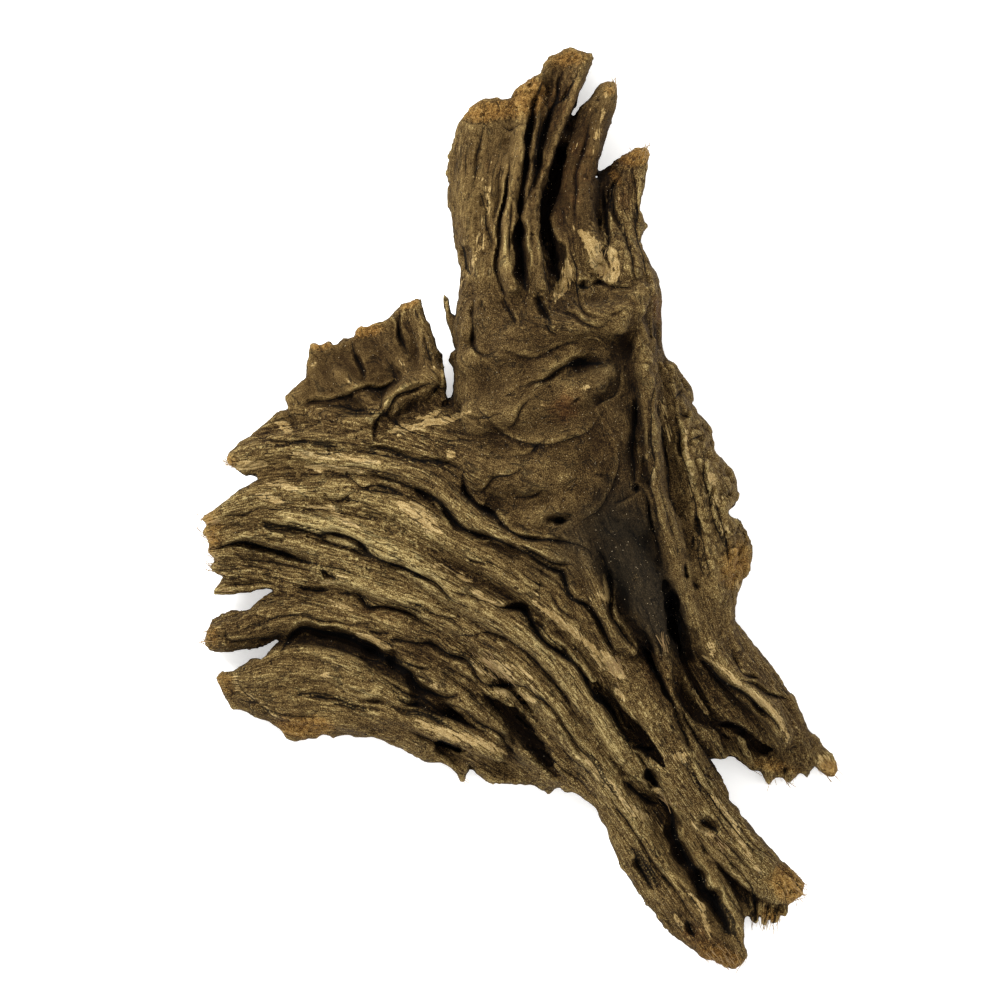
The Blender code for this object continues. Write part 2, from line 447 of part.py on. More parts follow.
def add_strand(mesh, strand):
    """Lofts a strand as a closed tube of elliptical rings."""
    samples = along(strand.stations)
    centres = [Vector(s[:3]) for s in samples]
    sections = []
    for index, (centre, sample) in enumerate(zip(centres, samples)):
        heading = centres[min(index + 1, len(centres) - 1)] - centres[max(index - 1, 0)]
        heading.normalize()
        side = Vector((-heading.y, heading.x, 0)).normalized()
        up = heading.cross(side)
        half_width, half_height = (max(half, LEAST_HALF_SIZE) for half in sample[3:])
        reach = heading * min(half_width, half_height)
        if index == 0:
            sections += [
                (centre - reach * out, side, up, half_width * share, half_height * share)
                for out, share in reversed(END_RINGS)]
        sections.append((centre, side, up, half_width, half_height))
        if index == len(centres) - 1:
            sections += [
                (centre + reach * out, side, up, half_width * share, half_height * share)
                for out, share in END_RINGS]
    rings = [add_ring(mesh, *section) for section in sections]
    for near, far in zip(rings, rings[1:]):
        for corner in range(RING_SIDES):
            following = (corner + 1) % RING_SIDES
            mesh.faces.new((near[corner], near[following], far[following], far[corner]))
    mesh.faces.new(reversed(rings[0]))
    mesh.faces.new(rings[-1])


def add_prism(mesh, lower, upper):
    """Joins two matching outlines, given as points, into a closed prism."""
    below = [mesh.verts.new(Vector(p) * MM) for p in lower]
    above = [mesh.verts.new(Vector(p) * MM) for p in upper]
    for corner in range(len(below)):
        following = (corner + 1) % len(below)
        mesh.faces.new((below[corner], below[following], above[following], above[corner]))
    mesh.faces.new(reversed(below))
    mesh.faces.new(above)


def add_plate(mesh, plate):
    """Adds a sheet of even thickness whose height follows its outline."""
    lower = [(x, y, z - plate.half_height) for x, y, z in plate.outline]
    upper = [(x, y, z + plate.half_height) for x, y, z in plate.outline]
    add_prism(mesh, lower, upper)


def object_of(name, mesh):
    """Turns a bmesh into a linked object with its faces pointing out."""
    bmesh.ops.recalc_face_normals(mesh, faces=mesh.faces)
    bmesh.ops.triangulate(mesh, faces=[f for f in mesh.faces if len(f.verts) > 4])
    data = bpy.data.meshes.new(name)
    mesh.to_mesh(data)
    mesh.free()
    made = bpy.data.objects.new(name, data)
    bpy.context.scene.collection.objects.link(made)
    return made


def shapes_object(name, shapes):
    """All the strands and plates as loose shells in one object."""
    mesh = bmesh.new()
    for shape in shapes:
        if isinstance(shape, Plate):
            add_plate(mesh, shape)
        else:
            add_strand(mesh, shape)
    return object_of(name, mesh)


def box_object(name, low, high):
    """An axis-aligned box between two corners."""
    mesh = bmesh.new()
    plan = ((low[0], low[1]), (high[0], low[1]), (high[0], high[1]), (low[0], high[1]))
    add_prism(mesh, [(x, y, low[2]) for x, y in plan], [(x, y, high[2]) for x, y in plan])
    return object_of(name, mesh)


def fuse(item, voxel):
    """Makes the overlapping shells of an object one closed skin."""
    remesh = item.modifiers.new("fuse", "REMESH")
    remesh.mode = "VOXEL"
    remesh.voxel_size = voxel * MM
    remesh.adaptivity = 0.0


def cut(item, cutter, operation="DIFFERENCE"):
    """Adds a Boolean with a cutter, which itself is left out of the part."""
    cutter.hide_render = True
    cutter.display_type = "WIRE"
    boolean = item.modifiers.new(operation.lower(), "BOOLEAN")
    boolean.operation = operation
    boolean.solver = "MANIFOLD"
    boolean.object = cutter


def apply_modifiers(item):
    """Replaces the object's mesh by what its modifiers make of it."""
    bpy.context.view_layer.update()
    graph = bpy.context.evaluated_depsgraph_get()
    finished = bpy.data.meshes.new_from_object(item.evaluated_get(graph))
    item.modifiers.clear()
    item.data = finished


def triangles_in(item):
    """How many triangles the object's mesh makes."""
    return sum(len(face.vertices) - 2 for face in item.data.polygons)


def keep_largest(item):
    """Drops loose crumbs that the cuts have left, and keeps the largest body."""
    mesh = bmesh.new()
    mesh.from_mesh(item.data)
    unseen = set(mesh.verts)
    bodies = []
    while unseen:
        body = set()
        waiting = [unseen.pop()]
        while waiting:
            vertex = waiting.pop()
            body.add(vertex)
            near = {edge.other_vert(vertex) for edge in vertex.link_edges} & unseen
            unseen -= near
            waiting.extend(near)
        bodies.append(body)
    largest = max(bodies, key=len)
    crumbs = [v for body in bodies if body is not largest for v in body]
    bmesh.ops.delete(mesh, geom=crumbs, context="VERTS")
    mesh.to_mesh(item.data)
    mesh.free()


def fused_body():
    """The whole piece as one closed mesh, before it is parted at its forks."""
    body = shapes_object("whole wood", WOOD)
    fuse(body, FUSE_VOXEL)
    soften = body.modifiers.new("soften", "SMOOTH")
    soften.iterations = FUSE_SMOOTHING
    hollows = shapes_object("hollows", VOIDS)
    fuse(hollows, VOID_VOXEL)
    apply_modifiers(hollows)
    cut(body, hollows)
    fuse(body, VOID_VOXEL)
    apply_modifiers(body)
    keep_largest(body)
    body.hide_render = True
    body.display_type = "WIRE"
    return body


def grown(outline, distance):
    """The outline with every side moved out by a distance, its corners mitred."""
    area = sum(a[0] * b[1] - b[0] * a[1] for a, b in zip(outline, outline[1:] + outline[:1]))
    turn = 1 if area > 0 else -1
    moved = []
    for before, here, after in zip(outline[-1:] + outline[:-1], outline, outline[1:] + outline[:1]):
        into = (Vector(here) - Vector(before)).normalized()
        away = (Vector(after) - Vector(here)).normalized()
        normals = [Vector((d.y, -d.x)) * turn for d in (into, away)]
        mitre = normals[0] + normals[1]
        mitre *= distance / (0.5 * mitre.length_squared)
        moved.append(tuple(Vector(here) + mitre))
    return tuple(moved)


def limb_prism(name, outline):
    """The upright prism that a limb is cut out by."""
    mesh = bmesh.new()
    add_prism(
        mesh, [(x, y, FORK_PRISM_BOTTOM) for x, y in outline], [(x, y, FORK_PRISM_TOP) for x, y in outline])
    return object_of(name, mesh)


def wood_material(node):
    """The weathered wood of one limb."""
    material = bpy.data.materials.new(f"weathered wood {node}")
    material.use_nodes = True
    shader = material.node_tree.nodes["Principled BSDF"]
    shader.inputs["Base Color"].default_value = (*WOOD_COLOURS[node], 1.0)
    shader.inputs["Roughness"].default_value = WOOD_ROUGHNESS
    shader.inputs["Metallic"].default_value = 0.0
    return material


def join_split_edges(item):
    """Takes out the points that cuts leave partway along an edge, and makes triangles of all faces."""
    mesh = bmesh.new()
    mesh.from_mesh(item.data)
    bmesh.ops.dissolve_verts(mesh, verts=[v for v in mesh.verts if len(v.link_edges) == 2])
    bmesh.ops.triangulate(mesh, faces=mesh.faces)
    mesh.to_mesh(item.data)
    mesh.free()


def finish_node(item, share, below_table):
    """Settles a limb's cuts into its mesh, keeps a share of its faces and flattens its feet."""
    apply_modifiers(item)
    join_split_edges(item)
    keep_largest(item)
    fewer = item.modifiers.new("fewer faces", "DECIMATE")
    fewer.ratio = share
    cut(item, below_table)
    apply_modifiers(item)
    join_split_edges(item)
    keep_largest(item)
    item.data.materials.clear()
    item.data.materials.append(wood_material(item.name))


def part_at_forks(body):
    """One object for each limb, and the knot that they all grow from."""
    gaps = [limb_prism(f"gap {limb.node}", grown(limb.outline, FORK_GAP)) for limb in LIMBS]
    made = []
    for index, limb in enumerate(LIMBS):
        item = bpy.data.objects.new(limb.node, body.data.copy())
        bpy.context.scene.collection.objects.link(item)
        cut(item, limb_prism(f"reach {limb.node}", limb.outline), "INTERSECT")
        for gap in gaps[:index]:
            cut(item, gap)
        made.append(item)
    knot = bpy.data.objects.new("knot", body.data.copy())
    bpy.context.scene.collection.objects.link(knot)
    for gap in gaps:
        cut(knot, gap)
    made.append(knot)
    share = SOLID_FACES / triangles_in(body)
    below_table = box_object(
        "below table", (-LENGTH, -LENGTH, -TABLE_CUT_DEPTH), (LENGTH, LENGTH, 0))
    for item in made:
        finish_node(item, share, below_table)
    return made


def centre_over_origin(items):
    """Moves the limbs together so that their box is centred over the origin."""
    points = [vertex.co for item in items for vertex in item.data.vertices]
    middle = [(min(p[axis] for p in points) + max(p[axis] for p in points)) / 2 for axis in (0, 1)]
    shift = Matrix.Translation((-middle[0], -middle[1], 0))
    for item in items:
        item.data.transform(shift)


def main():
    """Builds the driftwood."""
    clear_scene()
    centre_over_origin(part_at_forks(fused_body()))


main()
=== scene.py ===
"""The finished surface of a piece of honeycomb driftwood, the weathered crown of a root.

The wood is built as it grew. Strands of wood follow the grain and flow together in a solid
field, rot and water open it, and fibre relief, checks and broken ends are worked into its
surface along the grain. The skin of the field is then parted at the forks, so that each
limb is a closed piece of its own, and frayed fibres and sand are laid on it.
Plan sizes are X to the right and Y up as the piece is looked down on, Z is height above the
surface that it lies on, and the tables hold millimetres.
"""

import logging
import math
from collections.abc import Mapping, Sequence
from dataclasses import dataclass, field
from enum import Enum

import bpy
import numpy as np
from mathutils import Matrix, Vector


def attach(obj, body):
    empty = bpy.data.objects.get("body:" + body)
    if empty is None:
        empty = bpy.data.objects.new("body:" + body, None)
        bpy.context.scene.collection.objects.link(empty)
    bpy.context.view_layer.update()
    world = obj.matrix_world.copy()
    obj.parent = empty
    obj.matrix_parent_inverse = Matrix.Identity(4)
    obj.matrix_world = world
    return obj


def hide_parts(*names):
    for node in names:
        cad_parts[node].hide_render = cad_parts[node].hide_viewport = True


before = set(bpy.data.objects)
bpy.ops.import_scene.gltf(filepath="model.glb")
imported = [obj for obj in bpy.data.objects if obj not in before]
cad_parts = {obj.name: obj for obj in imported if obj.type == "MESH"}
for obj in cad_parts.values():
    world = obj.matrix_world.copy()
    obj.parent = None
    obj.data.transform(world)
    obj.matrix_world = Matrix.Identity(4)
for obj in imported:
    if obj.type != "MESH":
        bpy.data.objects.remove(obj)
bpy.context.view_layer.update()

MM = 0.001
# The tables are centred over the origin by this move.
TABLE_SHIFT = (0.377, -0.296, 0.0)
LATTICE_STEP = 1.2
# How finely the paths of cracks and scars are read.
PATH_STEP = 1.5

Array = np.ndarray
Point = tuple[float, ...]
Socket = bpy.types.NodeSocket
Stops = tuple[tuple[float, str], ...]


@dataclass(frozen=True)
class Strand:
    """A run of wood along the grain: stations of x, y, z, half width and half height."""

    name: str
    stations: tuple[Point, ...]


@dataclass(frozen=True)
class Plate:
    """A sheet of wood: its outline as x, y and z of the mid surface, and half its thickness."""

    name: str
    outline: tuple[Point, ...]
    half_height: float


@dataclass(frozen=True)
class Limb:
    """The plan outline that a limb fills beyond its fork."""

    node: str
    outline: tuple[Point, ...]


@dataclass(frozen=True)
class Crease:
    """A crack: half its width, its depth, how far its left side stands up, and its path."""

    width: float
    depth: float
    step: float
    path: tuple[Point, ...]


@dataclass(frozen=True)
class Streak:
    """A scar of bare pale wood: half its width, its strength and its path."""

    width: float
    strength: float
    path: tuple[Point, ...]


class Tint(Enum):
    """What has coloured or broken a patch of the wood, or painted light or shade on it. A patch is a soft
    oval.
    """

    # Painted light, laid on up-facing wood.
    SUN = "sun"
    # A darker tone of the wood, and painted shade over hollows and shaded faces.
    PAINTED_SHADE_AND_DARK_TONE = "shade"
    CHAR = "char"
    RUST = "rust"
    CRUMB = "crumb"
    SMOOTH = "smooth"
    KNOBBLY = "knobbly"
    CALM = "calm"
    FRAY = "fray"


TRUNK = (
    Strand("trunk core", ((6, 78, 34, 18, 17), (9, 58, 38, 25, 21), (14, 34, 38, 31, 25),
        (18, 10, 38, 34, 26), (22, -12, 35, 32, 24), (28, -33, 31, 24, 19))),
    Strand("right flank", ((39, 60, 33, 6, 18), (42, 42, 30, 10, 20), (48, 24, 27, 14, 21),
        (55, 6, 25, 15, 21), (59, -12, 25, 15, 20), (60, -28, 26, 11, 18), (62, -42, 26, 9, 15))),
    Strand("neck edge", ((-15, 38, 36, 7, 14), (-16, 52, 36, 6, 13), (-15, 68, 34, 6, 13),
        (-13, 82, 31, 6, 11))),
    Strand("neck sliver", ((-21.5, 55, 33, 1.4, 4), (-23.6, 64, 31, 1.2, 3), (-24.8, 70, 30, 0.8, 2))),
    Strand("neck brow", ((-14, 50, 45, 7, 9), (0, 56, 50, 8, 10), (16, 60, 53, 7, 10),
        (30, 62, 51, 6, 10), (38, 68, 44, 6, 11))),
    Strand("right shoulder", ((37, 94, 27, 3, 5), (39, 84, 29, 4, 8), (41.5, 75, 31, 5.5, 10),
        (41.5, 62, 34, 5.5, 13))),
    Strand("cheek", ((-12, 30, 49, 8, 9), (4, 33, 56, 7, 8), (18, 38, 59, 6, 7), (27, 44, 56, 5, 7))),
    Strand("boss", ((-10, 14, 48, 9, 11), (4, 12, 56, 9, 9), (22, 10, 58, 8, 8))),
    Strand("eye ridge", ((-4, -4, 53, 4, 6), (6, -2, 58, 4, 5), (16, 2, 60, 4, 5), (25, 8, 59, 4, 6))),
    Strand("dark slope", ((30, 28, 56, 7, 8), (33, 12, 55, 8, 9), (34, -4, 53, 8, 8))),
    Strand("flank crest", ((40, 62, 44, 4, 8), (41.5, 44, 48, 4, 11), (43, 24, 50, 4, 12),
        (45, 6, 48, 4, 12), (49, -10, 44, 5, 11), (53, -24, 41, 4.5, 10), (57, -36, 38, 4, 9))),
    Strand("flank rib", ((48, 46, 37, 3, 9), (52, 32, 38, 3.5, 10), (55, 16, 38, 3.5, 10),
        (58, 0, 37, 3.5, 10), (62, -14, 36, 3.5, 9), (65, -28, 35, 3, 8))),
    Strand("outer rib", ((55, 36, 28, 3.5, 8), (60, 22, 30, 3.5, 8), (64, 8, 31, 4, 8),
        (67, -6, 30, 3.5, 7))),
    Strand("flank knuckle high", ((52, 42, 24, 4, 8), (54.5, 38, 22, 2.5, 6))),
    Strand("flank knuckle mid", ((57, 29, 22, 5, 9), (61, 24, 21, 3.5, 7))),
    Strand("flank knuckle low", ((65, 13, 20, 5, 10), (68, 6, 19, 5, 9))),
    Strand("flank elbow", ((69, -6, 20, 3.5, 8), (73, -15, 20, 4.5, 9), (70, -23, 22, 4, 9),
        (67, -36, 23, 5, 10))),
)

RIDGES = (
    Strand("upper ridge", ((-74, 20, 28, 3, 4), (-62, 17, 35, 3.5, 5), (-45, 14, 42, 4.5, 6),
        (-31, 10, 47, 5, 7), (-23, 3, 51, 5, 7), (-12, -5, 54, 4.5, 7), (0, -11, 55, 4.5, 7),
        (12, -15, 54, 4.5, 7), (20, -20, 52, 4, 7))),
    Strand("grey finger", ((19, -10, 56, 4, 6), (23, -20, 55, 4, 7), (27, -31, 52, 4.5, 7),
        (31, -40, 48, 4.3, 6), (36.5, -46, 44, 3.2, 4.5))),
    Strand("dark finger", ((32, -8, 54, 6, 8), (38, -20, 52, 6.5, 8), (42, -32, 48, 6, 8),
        (46, -41, 44, 3.8, 6), (47, -45, 42, 2.5, 4))),
    Strand("second ridge", ((-56, 4, 36, 4, 5), (-40, 0, 43, 5, 6), (-22, -10, 47, 5.5, 7),
        (-6, -19, 50, 6, 8), (8, -29, 49, 6, 8), (20, -43, 44, 4.5, 7), (27, -53, 40, 2.5, 4))),
    Strand("third ridge", ((10, -24, 50, 4, 7), (20, -32, 48, 4, 7), (28, -46, 43, 3.5, 6),
        (34, -56, 38, 3, 5))),
    Strand("long ridge", ((-78, -3, 27, 4.5, 5), (-62, -7, 34, 5, 6), (-42, -15, 40, 5.5, 7),
        (-22, -27, 44, 6, 8), (-4, -37, 45, 6.5, 8), (10, -47, 43, 7, 9), (21, -60, 39, 6.5, 9),
        (29, -73, 35, 5, 8), (36, -84, 30, 4, 6), (47, -95.5, 24, 1.6, 3))),
    Strand("lower ridge", ((-66, -20, 26, 4, 5), (-50, -24, 32, 4.5, 6), (-28, -34, 36, 5, 7),
        (-8, -46, 37, 5.5, 8), (8, -61, 34, 6, 9), (20, -78, 29, 6, 9), (30, -93, 25, 5, 8),
        (40, -107, 21, 4, 7))),
    Strand("low ridge", ((-46, -36, 28, 4, 5), (-28, -43, 30, 4.5, 6), (-14, -54, 29, 5, 7),
        (-2, -68, 24, 4.5, 7), (10, -80, 21, 5, 7))),
)

FAN = (
    Strand("fan upper root", ((-94, 17, 21, 4.5, 5.5), (-76, 20, 26, 9, 7.5), (-56, 20, 30, 13, 10),
        (-35, 18, 34, 17, 14), (-10, 14, 37, 20, 20))),
    Strand("fan middle root", ((-103, -3, 18, 3.5, 4.5), (-86, 0, 22, 8, 7), (-60, 0, 27, 12, 10),
        (-35, -4, 32, 14, 14), (-10, -12, 35, 16, 18), (8, -24, 34, 15, 18), (18, -40, 31, 13, 16))),
    Strand("fan lower root", ((-104, -9, 15, 3.2, 4), (-86, -8.5, 18, 5, 6), (-62, -15, 23, 8, 9),
        (-37, -23, 28, 10, 13), (-12, -35, 30, 13, 15), (8, -52, 28, 13, 15), (22, -72, 24, 12, 13),
        (33, -90, 19, 11, 11))),
    Strand("split root", ((-103, -19, 11, 3.5, 3.5), (-88, -19.5, 14, 5, 5), (-68, -24, 18, 7, 7),
        (-48, -31, 22, 8, 9), (-25, -40, 25, 10, 11))),
    Strand("splinter root", ((-102, -27.5, 9, 1.6, 2), (-92, -25.5, 11, 3, 3), (-80, -26, 14, 4, 4.5),
        (-66, -29, 17, 6, 6))),
    Strand("fan tongue", ((-97, 15.5, 24, 2.5, 3.5), (-84, 19, 28, 4, 4.5), (-66, 22, 34, 4.5, 6),
        (-50, 22, 38, 5, 7))),
    Strand("fan rib", ((-104, -3.5, 19, 2, 3), (-88, 4, 26, 4, 4.5), (-70, 6, 31, 4.5, 5.5),
        (-52, 8, 37, 4.5, 6), (-36, 5, 42, 4, 6))),
    Strand("fan low rib", ((-103, -11, 18, 2, 3), (-86, -9, 24, 3, 4.5), (-66, -14, 29, 3.5, 5),
        (-48, -20, 34, 3.5, 5))),
    Strand("sheet fold", ((-26, 44, 40, 3, 5), (-34, 41, 41, 4, 5.5), (-43, 34, 40, 4.5, 6),
        (-52, 29, 37, 4.5, 6), (-66, 31, 32, 4, 5))),
    Plate("top sheet", ((-24.5, 36, 36), (-25.5, 45, 34), (-27, 52, 32), (-31.5, 62, 30),
        (-33.5, 69, 28), (-38.5, 68.5, 28), (-42, 65, 28), (-48, 62, 28), (-54, 60.5, 28),
        (-56, 56.5, 28), (-61, 54.5, 27), (-70, 55, 26), (-71, 49, 27), (-74, 41, 27), (-78.5, 37, 26),
        (-77.5, 33, 26), (-74, 26, 27), (-50, 24, 34), (-34, 26, 38)), 4.5),
    Strand("sheet rib east", ((-34, 66, 31, 2.2, 3.5), (-31, 55, 36, 3.2, 4.5), (-28.5, 44, 40, 4, 5))),
    Strand("sheet rib middle", ((-46, 60, 30, 3, 3.5), (-40, 50, 34, 3.5, 4.5), (-33, 38, 39, 4, 5))),
    Strand("sheet rib west", ((-66, 53, 28, 3, 3.5), (-60, 44, 32, 4, 4.5), (-50, 36, 36, 4, 5))),
    Plate("shoulder sheet", ((-78, 34, 22), (-88, 26, 20), (-95.5, 22, 19), (-98, 16, 20),
        (-97, 12.5, 20), (-92, 11, 21), (-86, 10.5, 24), (-60, 14, 29), (-52, 32, 30)), 4.0),
    Plate("middle sheet", ((-86, 10, 22), (-95, 5, 20), (-101.5, 0, 19), (-106, -3.5, 18),
        (-104, -6, 18), (-106, -8, 17), (-103, -12, 16), (-104, -15, 16), (-100, -17, 16),
        (-85, -14, 20), (-64, -12, 25), (-60, 12, 29)), 3.8),
    Plate("split sheet", ((-104, -14.5, 14), (-101, -17, 13), (-104, -19.5, 12), (-103.5, -22, 11),
        (-99, -23.5, 11), (-84, -24.5, 13), (-62, -26, 19), (-64, -16, 22), (-86, -12, 17)), 3.5),
)

FINGER = (
    Strand("left finger", ((-100.5, -42.5, 8, 5, 6.5), (-93, -41, 10, 6.3, 8), (-84, -37, 13, 6.5, 8),
        (-70, -34.5, 17, 7.5, 9), (-50, -38, 21, 8.5, 10), (-30, -46, 23, 9, 11),
        (-15, -55, 24, 9, 11))),
    Strand("finger end", ((-103, -44, 8, 2.5, 4), (-98, -44.5, 9, 3.5, 6))),
    Strand("knee", ((-42, -49, 19, 5, 9), (-28, -54, 22, 7, 11), (-17, -62, 22, 7.5, 11),
        (-8, -72, 18, 5.5, 9), (-4, -79, 15, 2.5, 5))),
    Strand("finger web", ((-78, -42, 10, 4, 5), (-64, -46, 12, 8, 7), (-46, -52, 13, 9, 9),
        (-30, -62, 14, 9, 9))),
)

LOBE = (
    Strand("lobe core", ((-95, -60, 5, 5, 7), (-84, -61, 8, 10, 10), (-68, -61, 11, 13.5, 11),
        (-50, -64, 13, 12.5, 12), (-34, -72, 12, 11, 11), (-24, -79, 9, 6.5, 8))),
    Strand("lobe shoulder", ((-98.5, -57.5, 8, 3, 4.5), (-86, -56, 15, 4.5, 5), (-70, -53, 20, 5, 5),
        (-54, -56, 23, 5, 6), (-40, -63, 23, 5, 6))),
    Strand("lobe crest", ((-89, -52.5, 12, 2, 4), (-80, -48.5, 17, 2.6, 5), (-68, -48, 21, 3, 5),
        (-56, -52, 24, 4, 5))),
    Strand("lobe edge", ((-92, -64, 4, 4, 5), (-80, -72, 5, 5, 6), (-71, -74, 6, 4, 6),
        (-58, -72, 7, 5, 7), (-44, -75, 7, 5, 7), (-34, -81, 7, 4, 6))),
    Strand("tan tongue", ((-46, -67, 22, 3, 4), (-36, -70, 23, 4, 4.5), (-25, -74, 22, 4.3, 5),
        (-14, -78, 21, 4.3, 5), (-8, -81, 19, 3.6, 4.5))),
    Strand("thorn", ((-32, -80, 9, 5, 8), (-23, -85.5, 7, 4, 6), (-19, -90.5, 5, 1.8, 4))),
    Strand("skirt", ((-24, -80, 6, 6, 5), (-12, -85, 7, 6, 5), (-3, -88, 7, 5, 5), (4, -90, 7, 3, 5),
        (10, -94, 5, 1.8, 3.5))),
    Strand("skirt root", ((-16, -76, 10, 8, 6), (0, -80, 11, 8, 7), (14, -86, 12, 8, 8))),
    Strand("skirt floor", ((-26, -70, 8, 7, 6), (-8, -72, 9, 9, 6), (8, -76, 11, 9, 7))),
)

ARM = (
    Strand("arm left", ((4, -80, 17, 7, 10), (18, -84, 17, 9, 11), (33, -96, 16, 10, 12),
        (41, -111.5, 14, 10.5, 12), (50, -125, 11.5, 10.5, 11), (58.5, -135.5, 9, 10, 10.5),
        (66, -145, 6.5, 7.5, 8.5), (71, -150, 5, 4, 6))),
    Strand("arm right", ((34, -54, 34, 9, 10), (41, -67, 32, 9.5, 12), (50, -82, 28, 10, 12),
        (59, -96, 24, 9.5, 12), (68, -108.5, 20, 9.5, 11), (78, -119, 16, 8.5, 10),
        (86, -126, 13, 6.5, 9), (90.5, -128, 12, 4.5, 8))),
    Strand("arm right crest", ((48, -72, 36, 3.5, 6), (60, -92, 32, 3.5, 6), (71, -108, 27, 3.5, 6),
        (82, -119, 22, 3, 5))),
    Strand("arm left crest", ((24, -88, 26, 3.5, 5), (37, -104, 24, 3.5, 5), (48, -119, 21, 3.5, 5),
        (60, -134, 17, 3.5, 5))),
    Strand("arm middle", ((52, -106, 20, 4, 7), (59, -117, 18, 4.5, 7), (66, -128, 15, 4.5, 7),
        (71, -139, 11, 4, 6), (73.5, -148, 7, 2.8, 5))),
    Strand("arm web", ((38, -78, 18, 9, 8), (48, -96, 14, 9, 8), (58, -112, 10, 9, 8),
        (69, -125, 7, 8, 6), (74, -134, 5, 4.5, 5))),
    Strand("twisted strand", ((46, -42, 36, 4, 8), (50, -54, 33, 4.5, 9), (56, -67, 28, 5, 9),
        (62, -76, 22, 4.5, 8), (66, -82, 17, 3, 6))),
    Strand("arm armpit", ((52, -50, 16, 9, 8), (58, -62, 14, 9, 8), (62, -75, 12, 7, 7),
        (63, -84, 11, 4, 6))),
    Strand("fringe one", ((80, -128, 8, 2, 3), (78.5, -137, 5, 1.3, 2.5))),
    Strand("fringe two", ((82.5, -128, 8, 2, 3), (81.5, -138.5, 5, 1.4, 2.5))),
    Strand("fringe three", ((86, -128, 8, 2, 3), (84.8, -137.5, 5, 1.3, 2.5))),
    Strand("fringe four", ((88, -128, 8, 2, 3), (87.3, -135, 6, 1.1, 2.5))),
)

BRANCH = (
    Strand("branch outer", ((61, -30, 27, 9.5, 16), (66.5, -44, 24, 9, 14), (76, -57, 19, 9, 12),
        (85, -69, 14, 8.5, 10), (93, -79, 8, 6.5, 9), (99.5, -84.5, 5.5, 4.8, 7),
        (104, -88, 4.5, 2.4, 4.5))),
    Strand("branch crest", ((58, -36, 36, 5, 9), (65, -49, 34, 4.5, 9), (74, -59, 31, 4.5, 8),
        (82, -67, 27, 4, 7), (88, -76, 21, 2.6, 5))),
    Strand("branch inner wall", ((58, -50, 20, 6, 13), (66, -62, 17, 8, 12), (74, -72, 13, 7, 10),
        (78, -80, 9, 5, 8))),
    Strand("claw floor", ((72, -76, 5, 6, 5), (81, -83, 3.5, 6, 5), (90, -84, 4, 5, 6))),
    Strand("claw one", ((76, -80, 7, 4, 7), (77.5, -86.5, 4, 3, 5))),
    Strand("claw two", ((83, -84, 6, 3, 6), (83, -90.5, 4, 2, 4))),
    Strand("claw three", ((90, -81, 8, 4, 8), (90.5, -89.5, 4, 2, 4))),
    Strand("claw four", ((95, -82, 7, 4, 7), (95, -88.5, 4, 1.8, 4))),
)

UPPER = (
    Strand("slab", ((-8, 60, 36, 14, 19), (-9, 78, 32, 12, 15), (-10, 95, 28, 13, 11.5),
        (-10, 112, 24, 13.8, 9.5), (-9, 124, 20.5, 12, 8.5), (-8, 129, 19, 10.5, 8))),
    Strand("slab rib", ((1, 138, 19, 2.6, 6), (-1, 118, 27, 3.2, 8), (-3.5, 98, 35, 3.2, 9),
        (-4.5, 84, 42, 3.2, 10), (-2, 70, 47, 4, 12))),
    Strand("slab west rib", ((-14, 131, 22, 3, 4), (-17, 112, 29, 3.5, 5), (-16, 92, 36, 3.5, 6),
        (-13, 74, 43, 4, 7))),
    Strand("slab edge", ((6, 142, 16, 2.5, 6), (5.5, 125, 23, 2.4, 8), (3.2, 108, 31, 2.4, 9),
        (2, 92, 38, 2.4, 10), (3, 76, 45, 3, 12))),
    Strand("tall prong", ((17, 148, 6, 7.2, 7.5), (14, 140, 9, 7.4, 9), (11.5, 128, 14, 5.4, 10),
        (8.2, 114, 21, 4, 11), (5.8, 100, 29, 3.2, 12), (6.5, 86, 36, 4, 14), (8, 70, 41, 6, 18))),
    Strand("tall prong crest", ((21, 149, 11, 2, 3.5), (17, 138, 18, 2.4, 4), (13, 124, 25, 2.4, 5),
        (9, 108, 33, 2.2, 6))),
    Strand("notch splinter", ((-21, 50, 36, 2.5, 5), (-22.8, 58, 35, 1.7, 3.6),
        (-24, 65, 34, 1.2, 2.6), (-24.7, 71, 33, 0.9, 1.5))),
    Plate("slab top", ((-20, 125, 20), (-19, 132, 18), (-14, 135, 17), (-9, 136.5, 17),
        (-4, 136.5, 17), (0, 140, 16), (5, 143.5, 15), (8, 145, 13), (9, 130, 17), (0, 115, 22)), 6.0),
)

MIDDLE_PRONG = (
    Strand("middle prong", ((29.3, 139, 10, 3.6, 4), (27.5, 135, 11.5, 4.8, 5.5),
        (24.3, 130, 13, 6.4, 7), (21.7, 122, 16, 6.8, 9), (19.3, 112, 20, 6.8, 10),
        (18, 98, 25, 8, 12), (18, 82, 31, 9, 14), (18, 66, 36, 11, 17))),
    Strand("middle prong crest", ((30, 138, 12.5, 2, 3), (26, 126, 21, 2.5, 4), (22, 110, 28, 3, 5),
        (22, 96, 34, 3.5, 6), (24, 82, 41, 4, 7))),
)

RIGHT_PRONG = (
    Strand("right prong", ((40.5, 117.5, 14, 3.4, 4), (37, 113, 17, 5.6, 6), (34.5, 106, 20, 6.4, 8),
        (33.5, 98, 23, 6.8, 9), (34, 86, 28, 7.5, 11), (34, 74, 33, 9.5, 15), (31, 60, 38, 12, 18))),
    Strand("right prong edge", ((42, 118, 14, 1.8, 3), (40, 108, 20, 2.2, 5), (38, 98, 25, 2.4, 6),
        (38, 88, 30, 3, 7))),
    Strand("right prong lobe", ((28.5, 111, 16, 2.6, 4), (29, 103, 21, 3, 6), (30, 94, 26, 3.6, 8),
        (29, 80, 36, 4, 9))),
    Strand("prong web", ((18, 131, 7.5, 3, 3), (14, 120, 9.5, 5, 4), (12, 108, 14, 6, 6),
        (11, 94, 19, 7, 9))),
    Strand("right prong spur", ((37, 92, 24, 3, 4), (41.5, 93.5, 24, 1.2, 1.6))),
)

# What rot and water have taken out of the fused body.

